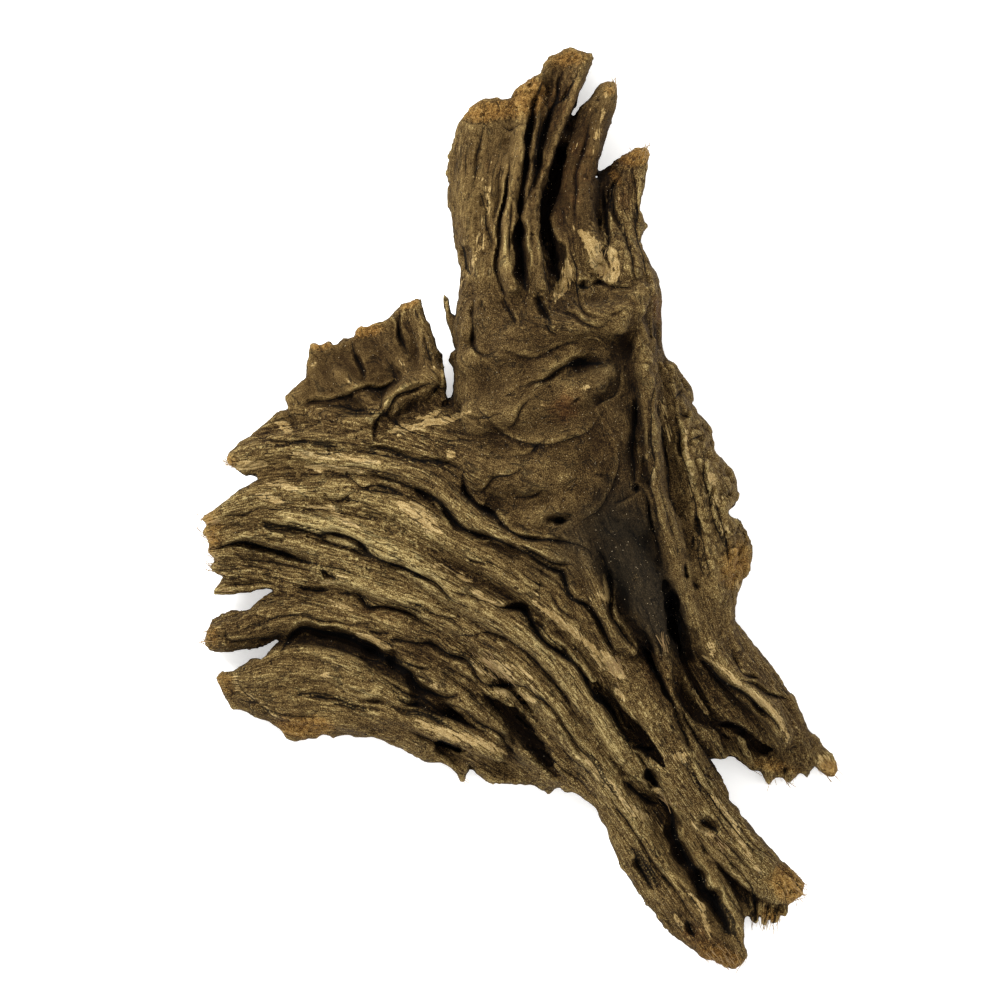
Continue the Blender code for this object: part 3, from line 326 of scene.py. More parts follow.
VOIDS = (
    Strand("prong slot", ((19.8, 136, 20, 0.9, 20), (14.4, 121, 27, 1.8, 17), (12.6, 115, 34, 2.2, 19),
        (9.5, 104, 42, 2.6, 20), (8.5, 97, 46, 2.7, 18), (8.9, 92, 47, 2.6, 18),
        (10.2, 87, 50, 2.2, 14), (10.6, 82, 54, 1.2, 8))),
    Strand("prong fork", ((26, 107, 36, 1.2, 9), (26, 102, 39, 1.6, 9), (27, 96, 42, 1.6, 8))),
    Strand("arm slot", ((25.9, -59.5, 46, 1.6, 7), (30, -65.5, 43, 1.8, 8), (34.5, -70.6, 40, 2.4, 9),
        (39.5, -76, 36, 2.8, 9), (45, -82, 33, 1.9, 8), (48.5, -86.5, 31, 0.7, 6))),
    Strand("arm wedge", ((70.6, -124.6, 24, 1.2, 6), (75, -131, 18, 2, 7), (77, -136, 12, 1.5, 6))),
    Strand("branch gap", ((50.2, -32, 50, 1.4, 8), (51, -41, 47, 1.9, 9), (53.4, -48, 45, 2.7, 9),
        (53.7, -56, 42, 3.2, 9), (55, -63, 38, 3.1, 8), (60, -69.5, 32, 2.5, 7),
        (64, -72, 28, 1.8, 5))),
    Strand("claw shelf", ((66, -71.5, 26, 1.2, 6), (71, -73.5, 24, 1.8, 6), (77, -76.5, 20, 1.6, 6))),
    Strand("claw hollow", ((78, -79, 18, 2.2, 7), (81.5, -83.5, 15, 3.4, 9), (81, -89, 8, 2.6, 7))),
    Strand("knee hollow", ((-10, -64.6, 36, 1.6, 7), (-3.5, -69, 30, 3.0, 10),
        (1.3, -74.5, 26, 4.0, 9), (7, -81.5, 22, 2.6, 7), (12, -88, 18, 1.2, 6))),
    Strand("tongue hollow", ((-27, -79, 16, 1.6, 5), (-20, -83, 14, 2.4, 6), (-14, -88, 11, 2, 5))),
    Strand("brow hollow", ((3, 41, 64, 1.4, 3), (12, 45, 66, 2, 4), (21, 48.5, 64, 3.4, 6),
        (27, 50, 61, 2, 4))),
    Strand("eye hole", ((9.5, -4, 63, 1.4, 4), (16, -3, 64, 1.6, 4))),
    Strand("neck notch", ((-26.8, 62, 30, 0.9, 40), (-25.4, 52, 32, 0.8, 40), (-23.8, 43, 36, 0.7, 40),
        (-22.8, 39.5, 38, 0.5, 40))),
    Strand("crown pocket", ((13, 88, 50, 2.6, 8), (13, 76, 55, 4, 8), (20, 73, 58, 3.4, 6))),
    Strand("underside hollow north", ((4, 74, 8, 12, 16), (8, 48, 6, 20, 15), (12, 24, 2, 24, 15),
        (16, 0, 0, 26, 15))),
    Strand("underside hollow south", ((16, 0, 0, 26, 15), (14, -24, 0, 24, 15), (24, -50, 0, 18, 14),
        (34, -72, -2, 13, 10))),
    Strand("underside hollow west", ((-12, 10, 4, 24, 15), (-40, 8, 0, 22, 14), (-64, 0, -4, 18, 14))),
    Strand("underside hollow fan", ((-20, -30, 2, 18, 13), (-46, -34, -2, 12, 9),
        (-62, -36, -4, 10, 7))),
    Strand("underside hollow east", ((40, 34, -4, 10, 14), (50, 8, -6, 12, 14), (54, -20, -4, 12, 15),
        (62, -42, -6, 9, 12))),
)

# The limbs beyond the main forks. What none of them takes is the knot.

LIMBS = (
    Limb("middle_prong", ((9.8, 101), (25.6, 101), (25.8, 112), (27.5, 120), (36, 160), (30, 160),
        (18.6, 133), (15, 124), (11.8, 113))),
    Limb("right_prong", ((22, 95), (60, 97), (60, 130), (34, 131), (22, 114))),
    Limb("upper_limb", ((-40, 72), (-21, 66), (9.3, 65), (9.6, 92), (12, 104), (17, 123), (20, 133),
        (32, 170), (-40, 171))),
    Limb("top_sheet", ((-110, 34), (-78, 34), (-60, 34), (-49, 30), (-42, 36), (-33, 41), (-24.6, 44),
        (-22.6, 60), (-26, 90), (-110, 91))),
    Limb("left_root_fan", ((-120, 35), (-48, 35), (-44, 18), (-40, -2), (-36, -20), (-46, -29),
        (-63, -30), (-84, -27.5), (-120, -33))),
    Limb("left_finger", ((-120, -29), (-84, -27), (-62, -30), (-62, -43), (-80, -45), (-120, -53))),
    Limb("lower_left_lobe", ((-120, -49), (-80, -44), (-62, -43), (-46, -50), (-36, -61), (-22, -68),
        (-12, -71), (-2, -79), (4, -84), (8, -91), (14, -110), (-120, -110))),
    Limb("lower_arm", ((8, -91), (26, -86), (46, -68), (58, -62), (68, -79), (72, -100), (130, -110),
        (130, -170), (0, -170), (0, -110))),
    Limb("right_branch", ((52, -46), (76, -38), (130, -38), (130, -108), (74, -100), (69, -81),
        (57, -65), (53, -55))),
)

# The edge of the wood as it is seen from above.
OUTLINE = (
    (-23, 38), (-22, 42), (-22, 47), (-24, 49), (-23.5, 52), (-22, 53), (-23, 59), (-25, 66), (-25, 71),
    (-24, 70), (-22, 63), (-20.5, 73), (-20, 80), (-22, 90), (-24, 100), (-24.5, 104), (-24, 118),
    (-21, 127), (-19, 130), (-17, 133.5), (-14.5, 134.6), (-12.5, 136), (-10, 136.5), (-6, 136.2),
    (-3, 137), (-1.5, 140), (0, 141), (3, 143.4), (7, 145), (7.5, 148), (10, 150.5), (13, 152.5),
    (17, 153.5), (21, 153.2), (24, 152), (24.5, 150.5), (23, 146), (20, 139), (18, 133), (15.2, 127),
    (17.5, 130.5), (20, 133), (25, 138.5), (27, 141.6), (29, 142.8), (31.2, 142), (32.5, 140),
    (32.8, 137), (31, 130), (28.5, 122), (26, 114.5), (24.8, 110), (27, 112), (29, 113.8), (33, 116.5),
    (36, 119), (38.5, 120.3), (42.5, 120.3), (43.5, 118.5), (41.5, 110), (40.3, 104), (39.5, 99.5),
    (41, 97), (42.5, 93.5), (40.5, 92), (40, 89), (42, 83.5), (46, 77), (47, 68), (47, 57), (48, 51),
    (51, 49), (54, 45), (57, 40), (57, 36.5), (56, 35), (59, 32), (62, 29.5), (64, 26), (65, 21),
    (64, 19.5), (67, 17), (71, 12.5), (72.6, 8), (73.5, 4), (70, -0.5), (70, -2.5), (73.5, -4),
    (75.5, -8), (77.5, -13), (78, -17), (77, -21), (74, -25), (72, -29), (71.5, -34), (72, -37.5),
    (75, -41), (82, -50), (85, -53), (86, -57), (91, -62), (95, -70), (97, -74), (103, -81), (106, -85),
    (106.5, -88), (105, -90), (103, -89.5), (100, -87.5), (98, -86), (96, -90), (94, -89), (92, -90),
    (90, -91.5), (87, -90), (85, -90.2), (83, -92), (81, -90), (80, -88), (77, -88), (74, -85),
    (72.4, -84.4), (70, -83), (66, -84), (64, -84), (67, -89), (68.5, -92), (70, -95), (70, -98),
    (73, -101), (77, -106), (87, -117), (93, -122), (95, -125), (94.5, -129), (92, -130.6), (90, -132),
    (89.4, -134), (88.4, -136), (87, -135), (86.2, -137.5), (84.6, -139), (83.4, -136), (82.4, -139),
    (81, -139.7), (80, -136), (79, -138.6), (78, -138.5), (77, -136.5), (76, -135.5), (75, -140),
    (75, -145), (76, -150), (74, -152.4), (71, -154), (65, -152), (60, -150), (50, -142), (42, -132),
    (33.5, -120), (31.5, -115), (30, -110), (25, -100), (20, -96), (15, -94.5), (13, -92.5), (10, -96),
    (7, -94.2), (4, -92), (0, -93), (-4, -91.6), (-9, -93), (-15, -88), (-16.5, -86), (-18, -92),
    (-20, -91.5), (-21, -89), (-23, -86.4), (-25, -85.5), (-32, -85), (-36, -82.4), (-40, -80.5),
    (-47, -77), (-58, -76), (-62, -77), (-66, -75.5), (-70, -77.5), (-74, -78), (-78, -77), (-80, -74),
    (-90, -69), (-96, -67), (-99, -63), (-100.5, -60), (-101, -57), (-100, -54.5), (-97.5, -54.2),
    (-95, -55), (-90, -50), (-86, -50.5), (-83, -46), (-80, -43.5), (-86, -46.5), (-96, -48),
    (-104, -48), (-105, -46), (-104.5, -41), (-103, -37.5), (-96, -34), (-91, -34), (-86, -30),
    (-82, -27), (-96, -29), (-103, -29.5), (-101.5, -26.5), (-99, -23), (-103, -21), (-104, -19.5),
    (-102.4, -18), (-101, -17), (-104, -15), (-104, -12), (-106, -8), (-104, -5), (-106, -4),
    (-104.5, -2), (-101, 0), (-93, 6), (-87, 10), (-92, 11), (-98, 15), (-96.6, 18), (-94, 21.5),
    (-87, 26), (-80, 33), (-77, 33), (-78.5, 36.5), (-75, 40), (-72, 44), (-71.5, 48), (-70.5, 52),
    (-70, 55), (-66.5, 54.6), (-63, 55.5), (-62, 53.5), (-59, 56.5), (-55, 57), (-55, 59.5), (-53, 61),
    (-50.5, 60.6), (-48, 61.5), (-45, 62.4), (-42, 65), (-39, 68), (-37, 68.6), (-35, 70), (-33, 69.5),
    (-32, 65), (-28, 57), (-26, 52), (-25, 46), (-24, 38), (-23.5, 36.5))

# Cracks, ledges and grooves, listed one by one.
CREASES = tuple(Crease(*row) for row in (
    # on the upper side of the fan
    (0.3, 1.0, 0.3, ((-70, 8.8), (-65.6, 8.2))),
    (0.4, 1.6, 0.6, ((-64.4, 10.7), (-57.8, 10.4), (-52.2, 7), (-47.8, 7.7), (-43.3, 6), (-38.3, 3.8),
        (-35.6, 1.6))),
    (0.7, 3.2, 0.8, ((-49.4, 19.6), (-44.4, 18.8), (-35.6, 16), (-30, 16), (-24.4, 14.6), (-17.8, 12))),
    (0.7, 3.2, 0.8, ((-19.4, 11.6), (-18.6, 8.8), (-18.3, 5), (-15, 1.7), (-10, -1.6), (-3.3, -6.6))),
    (0.9, 4.4, 0.9, ((-40, 7.7), (-36, 6.6), (-30, 4.3), (-26.7, 2.1), (-22.8, -2.9), (-17.8, -6.8),
        (-10, -9.6), (-5, -11.8), (0, -15), (4.4, -16.8))),
    (0.6, 3.0, 1.0, ((-16, 2.7), (-12.2, -0.7), (-7.8, -2.9), (-5.6, -5.7), (0, -9.3), (7.2, -10.4),
        (13.9, -11.8), (20, -12.3), (23.3, -14), (23.9, -16.2))),
    (0.5, 2.2, 0.6, ((0, -13), (5, -15.7), (10, -17.3), (16.7, -18.7))),
    (0.8, 4.0, 0.9, ((2.2, -16.5), (10, -19.6), (13.9, -21.2), (15.6, -25), (17.8, -28.5), (21, -32.3),
        (25.6, -37.3), (29, -43.4), (32.2, -48.4))),
    (0.4, 1.6, 0.6, ((-19.4, -15.4), (-16, -17.3), (-10, -18.4))),
    (0.3, 0.9, 0.9, ((-65, 4.9), (-62.8, 2.9), (-60, 2.4), (-56.7, 3.2), (-54.4, 4.9))),
    (0.4, 1.4, 0.4, ((-84.4, 23.2), (-80, 23.5), (-76.7, 22), (-74, 21.8))),
    (1.2, 2.6, 0.0, ((-73.6, 21.6), (-71, 21.4))),
    (0.4, 1.4, 0.4, ((-70, 21), (-65.6, 21.3), (-59, 20.7))),
    # on its lower side
    (0.4, 1.4, 0.4, ((-98.3, -2.3), (-89, -1.5))),
    (1.0, 4.4, 2.6, ((-85, -4.6), (-80, -5), (-71, -7.9), (-66.7, -8.7), (-62.8, -7.6), (-54.4, -10.7),
        (-50, -14.6), (-44.4, -17.9), (-36, -20), (-30.6, -24), (-24.4, -28.5), (-17.2, -33))),
    (0.9, 5.0, 0.8, ((-16.7, -28.5), (-12.2, -30.7), (-6.7, -32.3), (0, -33.4), (2.8, -36.2),
        (4.4, -39.6), (7.8, -43.4), (13.3, -48.4), (20, -54), (25.6, -61.2), (30, -66.8), (34, -73.4),
        (36, -79))),
    (1.1, 4.6, 1.0, ((-103, -13), (-94.4, -12.3), (-89, -12.3), (-85, -13.5), (-80, -15),
        (-69, -18.5))),
    (1.3, 3.4, 0.0, ((-66.5, -20.6), (-61.5, -23.6))), (1.1, 3.0, 0.0, ((-74, -25.9), (-63, -28.2))),
    (0.9, 2.4, 0.0, ((-21.7, -27.4), (-16.7, -28.8))),
    (0.9, 3.6, 0.9, ((-60, -28.7), (-55, -28.5), (-50, -32.3), (-45.6, -32.3), (-38.3, -35),
        (-30, -39.6))),
    (0.4, 1.6, 0.6, ((-39.4, -30), (-30, -34.6), (-21, -37.3))),
    (0.4, 1.4, 0.4, ((-55.6, -38), (-50, -38.4))), (0.4, 1.4, 0.4, ((-51, -40.7), (-43.3, -42.3))),
    (0.9, 3.8, 0.9, ((-42.8, -44.3), (-30, -45), (-21.7, -48.4), (-17.8, -50.7), (-15.6, -53.4),
        (-14, -57.3), (-10, -59.6))),
    (1.5, 2.8, 0.4, ((-12, -58.6), (-4, -58.6), (0, -59.6))),
    (1.9, 7.0, 2.0, ((-79.7, -47.3), (-74.4, -41.8), (-71, -40.4), (-65.6, -41.5), (-60, -43),
        (-50, -46.8), (-47.2, -49), (-41, -51.8), (-37.2, -54), (-35.6, -58), (-32.8, -61.2),
        (-30, -61.8), (-21, -63))),
    (0.4, 1.6, 0.4, ((-62.2, -66.2), (-59, -65.7), (-50, -68))),
    (0.4, 1.4, 0.4, ((-54.4, -63.4), (-45, -65))),
    (0.4, 1.2, 1.0, ((-94.6, -57), (-93, -60.6), (-87.8, -65.4), (-80.6, -70.4))),
    (0.5, 1.8, 0.8, ((-99, -39.6), (-98.3, -43), (-96.7, -44.3), (-89, -43), (-80.6, -43))),
    (1.5, 3.6, 0.6, ((-27.2, -77.3), (-19, -80.7))),
    (0.5, 2.2, 0.7, ((-22, -42), (-8, -42), (4, -50), (14, -62), (22, -74))),
    (0.6, 2.6, 0.7, ((-6, -58), (6, -62), (16, -75), (26, -88), (34, -98))),
    # between the strands of the arm
    (2.4, 6.0, 0.4, ((42, -86.5), (46.4, -92.5))), (0.6, 2.0, 0.6, ((36.7, -79.6), (44.4, -81.2))),
    (1.1, 3.4, 1.0, ((34.4, -91), (40, -95), (45.6, -98.4))),
    (2.7, 6.6, 1.2, ((46.6, -96), (51, -106), (54, -115), (58.4, -121), (62, -127.4), (65.6, -132.4),
        (70, -141.6))),
    (1.3, 4.4, 0.5, ((38.6, -116.8), (41, -121.8), (44.2, -126.8))),
    (0.8, 2.0, 0.0, ((46, -114.4), (46.8, -115.4))), (1.3, 3.4, 0.3, ((55.6, -137.4), (57.4, -143.6))),
    (1.6, 4.0, 0.0, ((60, -103.8), (66.4, -107.8))),
    (0.4, 1.2, -0.9, ((57.2, -83.4), (61, -87.3), (65, -90))),
    (0.5, 2.0, 0.6, ((27, -92), (37, -107), (48, -123), (58, -137))),
    (0.5, 2.0, 0.6, ((55, -84), (64, -97), (72, -108), (82, -119))),
    (0.6, 3.0, 0.0, ((79, -131), (77.8, -138.4))), (0.6, 3.0, 0.0, ((83.3, -132), (81, -139.6))),
    (0.6, 3.0, 0.0, ((86, -132), (84.4, -139))),
    # the branch and its claw
    (1.6, 7.0, 0.4, ((49.8, -28.4), (50.4, -34), (50.6, -40), (51.8, -45))),
    (0.7, 2.8, 0.3, ((55.4, -18), (55.4, -23.4))), (0.6, 2.4, 0.3, ((57.2, -9), (57.2, -13.4))),
    (0.8, 2.4, 0.0, ((58, -24.4), (59.6, -27))),
    (1.3, 3.8, 1.8, ((60, -51), (69.5, -57.6), (79.5, -66), (87, -74))),
    (0.5, 1.8, 0.6, ((71, -48.4), (74.4, -55), (79, -57.3))),
    (0.5, 1.8, 0.7, ((72.8, -56.8), (79, -60), (84.4, -61.8), (90, -64.6))),
    (0.8, 2.6, 0.8, ((66.7, -71.8), (71, -72.3), (75, -75), (76, -76))),
    (1.2, 3.0, 0.0, ((88, -86), (88.8, -88.6))),
    # the upper limb
    (0.5, 2.4, -0.6, ((-3.3, 117), (-5, 104), (-6.1, 98), (-6.7, 92.7), (-7.5, 87), (-7.8, 82.7),
        (-6.9, 76), (-4.4, 66.6))),
    (1.9, 7.0, 0.0, ((0, 95.5), (-0.3, 90), (-0.2, 85), (0.4, 80), (1.2, 76), (1.8, 73))),
    (0.8, 3.2, -1.8, ((8.3, 143), (5.6, 136), (3.9, 128), (2.8, 124), (2.2, 117), (1.9, 112),
        (1.1, 105), (0.6, 100), (0, 96))),
    (0.8, 3.4, -0.4, ((13.9, 145), (11, 135.4), (8.9, 129), (6.9, 122.7), (6.1, 117), (5.3, 110),
        (3.9, 106), (2.2, 101.6))),
    (0.5, 2.4, 0.4, ((19.4, 146.6), (18.3, 142), (15.6, 138), (11, 134))),
    (1.4, 3.4, -0.4, ((-19.5, 87), (-17.6, 82), (-16, 78))),
    (0.9, 1.6, 0.0, ((-13, 105), (-11.5, 100))), (1.0, 2.5, 0.0, ((-8, 134.5), (-7, 131.8))),
    (0.8, 2.0, 0.0, ((-9.4, 128.6), (-8.4, 128.4))),
    (0.4, 0.9, -0.4, ((-19.4, 130.2), (-16.6, 128), (-12.7, 127.8), (-10.6, 125.2))),
    (0.5, 1.2, -0.4, ((-5.6, 127.6), (-3.2, 125.8), (0.7, 128.4), (2.2, 127.4))),
    (0.5, 1.4, -0.4, ((2.8, 131.6), (5.2, 134.2), (6, 138.6), (8.3, 143))),
    (0.4, 1.4, 0.5, ((24, 132), (21, 120), (19, 108), (17.5, 94))),
    (0.5, 1.8, 0.4, ((30.6, 106.6), (30, 98))), (0.5, 2.0, 0.6, ((38, 113), (38.4, 102), (38, 92))),
    (0.6, 2.4, 0.6, ((33.9, 112), (31.7, 106.6), (31.7, 99), (33.3, 94), (35, 90))),
    (1.5, 2.6, 0.0, ((28, 87), (27.8, 83.5))), (1.8, 4.5, 0.0, ((19, 73.6), (22.4, 73.2))),
    (0.4, 1.6, 0.5, ((22.4, 73.2), (25.6, 75), (30, 73.2), (37.2, 73.2))),
    # the neck and the knot
    (1.1, 3.2, 0.0, ((5.6, 70.2), (6.6, 67.4), (8, 64.2), (9.8, 61.2))),
    (0.4, 1.4, 0.4, ((8, 61), (10, 59), (13.3, 58))),
    (0.35, 1.2, 0.4, ((-13.3, 70.4), (-12.2, 67.7), (-11, 65.4))),
    (0.4, 1.4, 0.4, ((-5.6, 68.8), (-3.9, 65), (-2.2, 61))), (0.4, 1.2, 0.5, ((30, 63.8), (34.4, 66))),
    (0.5, 1.8, 1.2, ((14.2, 64.6), (17.8, 63.5), (19.4, 62), (22.2, 61), (26.7, 59.6), (29, 60))),
    (0.7, 2.2, 1.8, ((2.8, 40.4), (4.4, 41.8), (8.9, 43.2), (12.2, 45), (15, 46.6), (17.8, 48.5),
        (20.6, 49.6), (23.3, 50.4))),
    (2.0, 3.6, 0.0, ((15.6, 46.6), (21, 48), (26.5, 48))), (0.5, 1.2, 0.4, ((16.7, 34.3), (20, 37))),
    (0.3, 0.8, 1.2, ((33.3, 46), (33, 41.6), (31, 38.2), (27.8, 35.4), (24.4, 32.7))),
    (0.35, 1.0, 0.4, ((-5.3, 36.6), (-1.7, 38))),
    (0.35, 1.2, 0.8, ((-3.9, 26), (-1.7, 28.2), (0.6, 33.2), (4.4, 36.6))),
    (0.35, 1.0, 0.8, ((-4.4, 16.6), (0, 17.4), (4.4, 18.8), (7.2, 21.6), (9.7, 23.5))),
    (0.6, 2.0, 1.0, ((-13.3, 5.2), (-10.8, 6), (-9.4, 8.8), (-7.2, 10.4), (-3.3, 11.8), (1, 13.2))),
    (0.45, 1.4, 1.0, ((-2.2, 3.5), (3.3, 3.5), (6, 4.9), (7.5, 5.7))),
    (1.2, 4.0, 0.3, ((10.6, -3.5), (15.2, -3.7))),
    (1.4, 3.0, 1.2, ((39, 36), (38, 26), (37.6, 17), (38.6, 9))),
    (0.9, 3.0, 0.0, ((38.9, 8.6), (39, 4.6))), (0.5, 1.6, 0.8, ((38.3, 4.3), (35.6, 2.7), (31.7, 2.1))),
    (0.4, 1.0, 0.5, ((30, -3.4), (33.3, -2.3))), (0.35, 0.9, 0.5, ((23.3, 11.3), (29.2, 11))),
    (0.35, 0.8, 1.4, ((-16, 36), (-6, 25), (8, 21), (20, 24), (30, 33))),
    (0.35, 0.7, 1.0, ((-8, 52), (4, 50), (12, 53), (20, 56))),
    (0.35, 0.8, 1.2, ((18, -6), (26, 0), (32, 10), (33, 22))),
    (0.8, 3.0, 1.2, ((26, -14), (29, -22), (30, -34), (34, -42), (39, -47))),
    # the right flank
    (0.5, 1.8, 0.3, ((51.7, 37), (54.4, 38.8))), (1.0, 2.4, 0.0, ((53, 32.7), (57, 30.4))),
    (0.8, 2.0, 0.0, ((56.4, 22), (60, 24.6))),
    (0.5, 1.6, 1.0, ((45, 44), (43, 30), (44, 16), (44, 4), (47, -10))),
    (0.6, 2.0, 1.0, ((51, 38), (53, 24), (56, 10), (60, -6), (63, -22))),
    (0.5, 1.6, 0.8, ((60, 20), (62, 8), (64, -4), (69, -16))),
    # the sheet that stands up at the top left
    (0.5, 3.0, 0.2, ((-55.8, 55), (-55, 52), (-53.3, 47.7), (-52.2, 43.2))),
    (0.5, 3.0, 0.2, ((-40.3, 65), (-39.4, 60), (-38.9, 55.4), (-38.3, 52.4))),
    (0.6, 1.8, -1.6, ((-43.3, 48.2), (-42.2, 44.3), (-42.2, 41.6), (-46, 39.6), (-50, 40.4),
        (-54.4, 39.3), (-58.3, 37.4), (-67.8, 35.7), (-74.4, 33.2))),
    (0.8, 2.8, -2.0, ((-30, 41.6), (-33.9, 40.4), (-37.8, 38.2), (-41, 36), (-43.3, 32.7), (-47.2, 30),
        (-48.9, 27), (-48.3, 23.2))),
    (0.35, 0.8, 0.8, ((-30, 53), (-27.2, 49.3), (-26, 44.3), (-26, 41), (-30, 36.6)))))

# Scars where bare pale wood shows.
STREAKS = tuple(Streak(*row) for row in (
    (1.0, 0.6, ((-16, 110), (-11.7, 109), (-10.6, 104), (-11, 99), (-12.8, 95), (-13.3, 87),
        (-17.2, 79), (-20, 72.7))),
    (2.1, 1.0, ((20, 92), (23, 88), (26, 82), (28.5, 78), (31.5, 75.6))),
    (1.3, 1.0, ((29.7, 86.6), (31, 82), (32.3, 77))), (0.9, 0.9, ((28.4, 91), (29.6, 90))),
    (1.8, 1.0, ((15.5, 82), (15.6, 78), (14.5, 75), (12.2, 70))),
    (0.8, 0.6, ((28.9, 140), (26.5, 128), (24.4, 117))), (1.6, 0.7, ((-81, 28.6), (-76, 25.6))),
    (1.2, 0.8, ((-77, 18), (-66, 17.5), (-56, 16.5), (-46, 15))),
    (1.1, 0.8, ((-72, 13.5), (-60, 13), (-50, 12))), (1.4, 0.8, ((-97.5, 14.5), (-93, 14), (-84, 15))),
    (1.0, 0.8, ((-23.9, 18.3), (-20.6, 17))),
    (0.9, 1.0, ((-43.9, 24), (-40.6, 26.6), (-36, 26.6), (-30, 28.2), (-23.3, 29.3), (-18.3, 31.5),
        (-15.3, 31))),
    (0.8, 0.9, ((-35.6, 30), (-30, 30.4), (-26.7, 32))),
    (1.6, 0.6, ((-85, 9), (-80, 8.4), (-74.4, 6.4))),
    (1.2, 0.9, ((-88, 4.6), (-83.5, 3.4), (-79, 1.8))),
    (2.6, 0.8, ((-40, 1.5), (-34, -1.5), (-30, -5), (-26.7, -7.9))),
    (1.0, 0.8, ((-71, 0.4), (-64, 0), (-60, -2.9), (-53.3, -6.8))),
    (1.2, 0.8, ((-30, -19), (-25, -20), (-14.4, -24.6))),
    (1.1, 0.8, ((-16, -27.3), (-10, -30.7), (-4.4, -33.4))),
    (1.1, 0.9, ((4.4, -30.7), (11, -35.7), (15.6, -39.6), (23.9, -46.8), (27.2, -54.6))),
    (1.7, 1.0, ((27, -48), (31, -53), (34, -56))), (0.9, 0.9, ((31.7, -60), (35, -64))),
    (2.4, 0.6, ((-16, -51), (-9, -54), (-2, -56.6))),
    (0.9, 0.8, ((-16.7, -50), (-4.4, -52.3), (2.2, -55), (5, -61.8))),
    (1.4, 0.9, ((-9, -59.6), (-2, -62), (4.4, -64))),
    (1.5, 0.8, ((-34.4, -70.7), (-25, -75), (-16, -77.3), (-4.4, -81.8))),
    (1.0, 0.7, ((-64, -30.7), (-55.6, -34))), (0.9, 0.6, ((-69, -24), (-62, -25))),
    (1.3, 0.9, ((-54.4, -41.8), (-50, -44), (-43.3, -46.8))), (1.3, 0.8, ((-66, -55.6), (-63, -56.4))),
    (1.3, 0.8, ((-30.2, -59.5), (-26.6, -59.5))),
    (0.8, 0.6, ((-95, -55.7), (-94, -60), (-87.8, -65), (-80.6, -70))),
    (1.6, 0.8, ((-106, -3), (-100, -4))), (1.6, 0.7, ((-104, -14), (-100, -17))),
    (0.8, 0.9, ((27.2, -17.3), (28.9, -19.6), (28.3, -25), (30.6, -31.2))),
    (0.7, 0.9, ((25.6, -28), (30.6, -31.2))), (0.7, 0.8, ((31, -13), (33.9, -18))),
    (0.9, 0.9, ((45.8, -41), (47, -45))), (0.7, 0.8, ((20, 39.3), (22.2, 40), (24, 41.6))),
    (2.0, 0.5, ((35.8, -7.2), (39.4, -8))),
    (0.9, 0.5, ((47.5, 37), (48.3, 30), (49.4, 25), (50.6, 21))),
    (0.9, 0.6, ((55.6, 26), (55.3, 20.4), (55.8, 15), (56.7, 9.3), (57.2, 4.3))),
    (0.8, 0.9, ((57.2, 7), (57.3, 3.4))), (0.9, 0.5, ((41.7, 20.4), (43.3, 13.8), (44.2, 6.6))),
    (1.2, 0.8, ((62.8, 11.6), (65, 7.7))), (1.6, 0.6, ((62.4, 4.6), (66.4, 1))),
    (1.4, 0.4, ((66, -4.4), (70.6, -12))), (0.9, 0.7, ((71, -23.4), (76.5, -30.4))),
    (0.9, 0.9, ((40.6, -90), (44.4, -93), (47.8, -95.7))), (1.2, 0.7, ((51.7, -135.4), (54.4, -139.4))),
    (1.3, 0.7, ((20, -81), (24.4, -86), (29.4, -92), (33.3, -96), (37.8, -100.7), (42.8, -103.4),
        (49.4, -108.4))),
    (1.0, 0.8, ((56, -128), (59.4, -132), (62.2, -138.4), (63.3, -144))),
    (1.6, 0.8, ((51, -81.6), (55, -84.4))),
    (1.2, 0.7, ((63.3, -95.7), (69, -102), (71.7, -107), (76, -115.7), (80, -121))),
    (0.9, 0.9, ((57.2, -104.6), (61, -106.8), (65.3, -110.7))), (1.2, 0.5, ((63, -44), (64.6, -50))),
    (0.9, 0.9, ((60.6, -49), (65, -51.8), (70, -55.7), (74.4, -60), (80, -64), (84.4, -68),
        (89.2, -75.7), (88.6, -78))),
    (2.2, 0.7, ((100, -83), (104.6, -88)))))
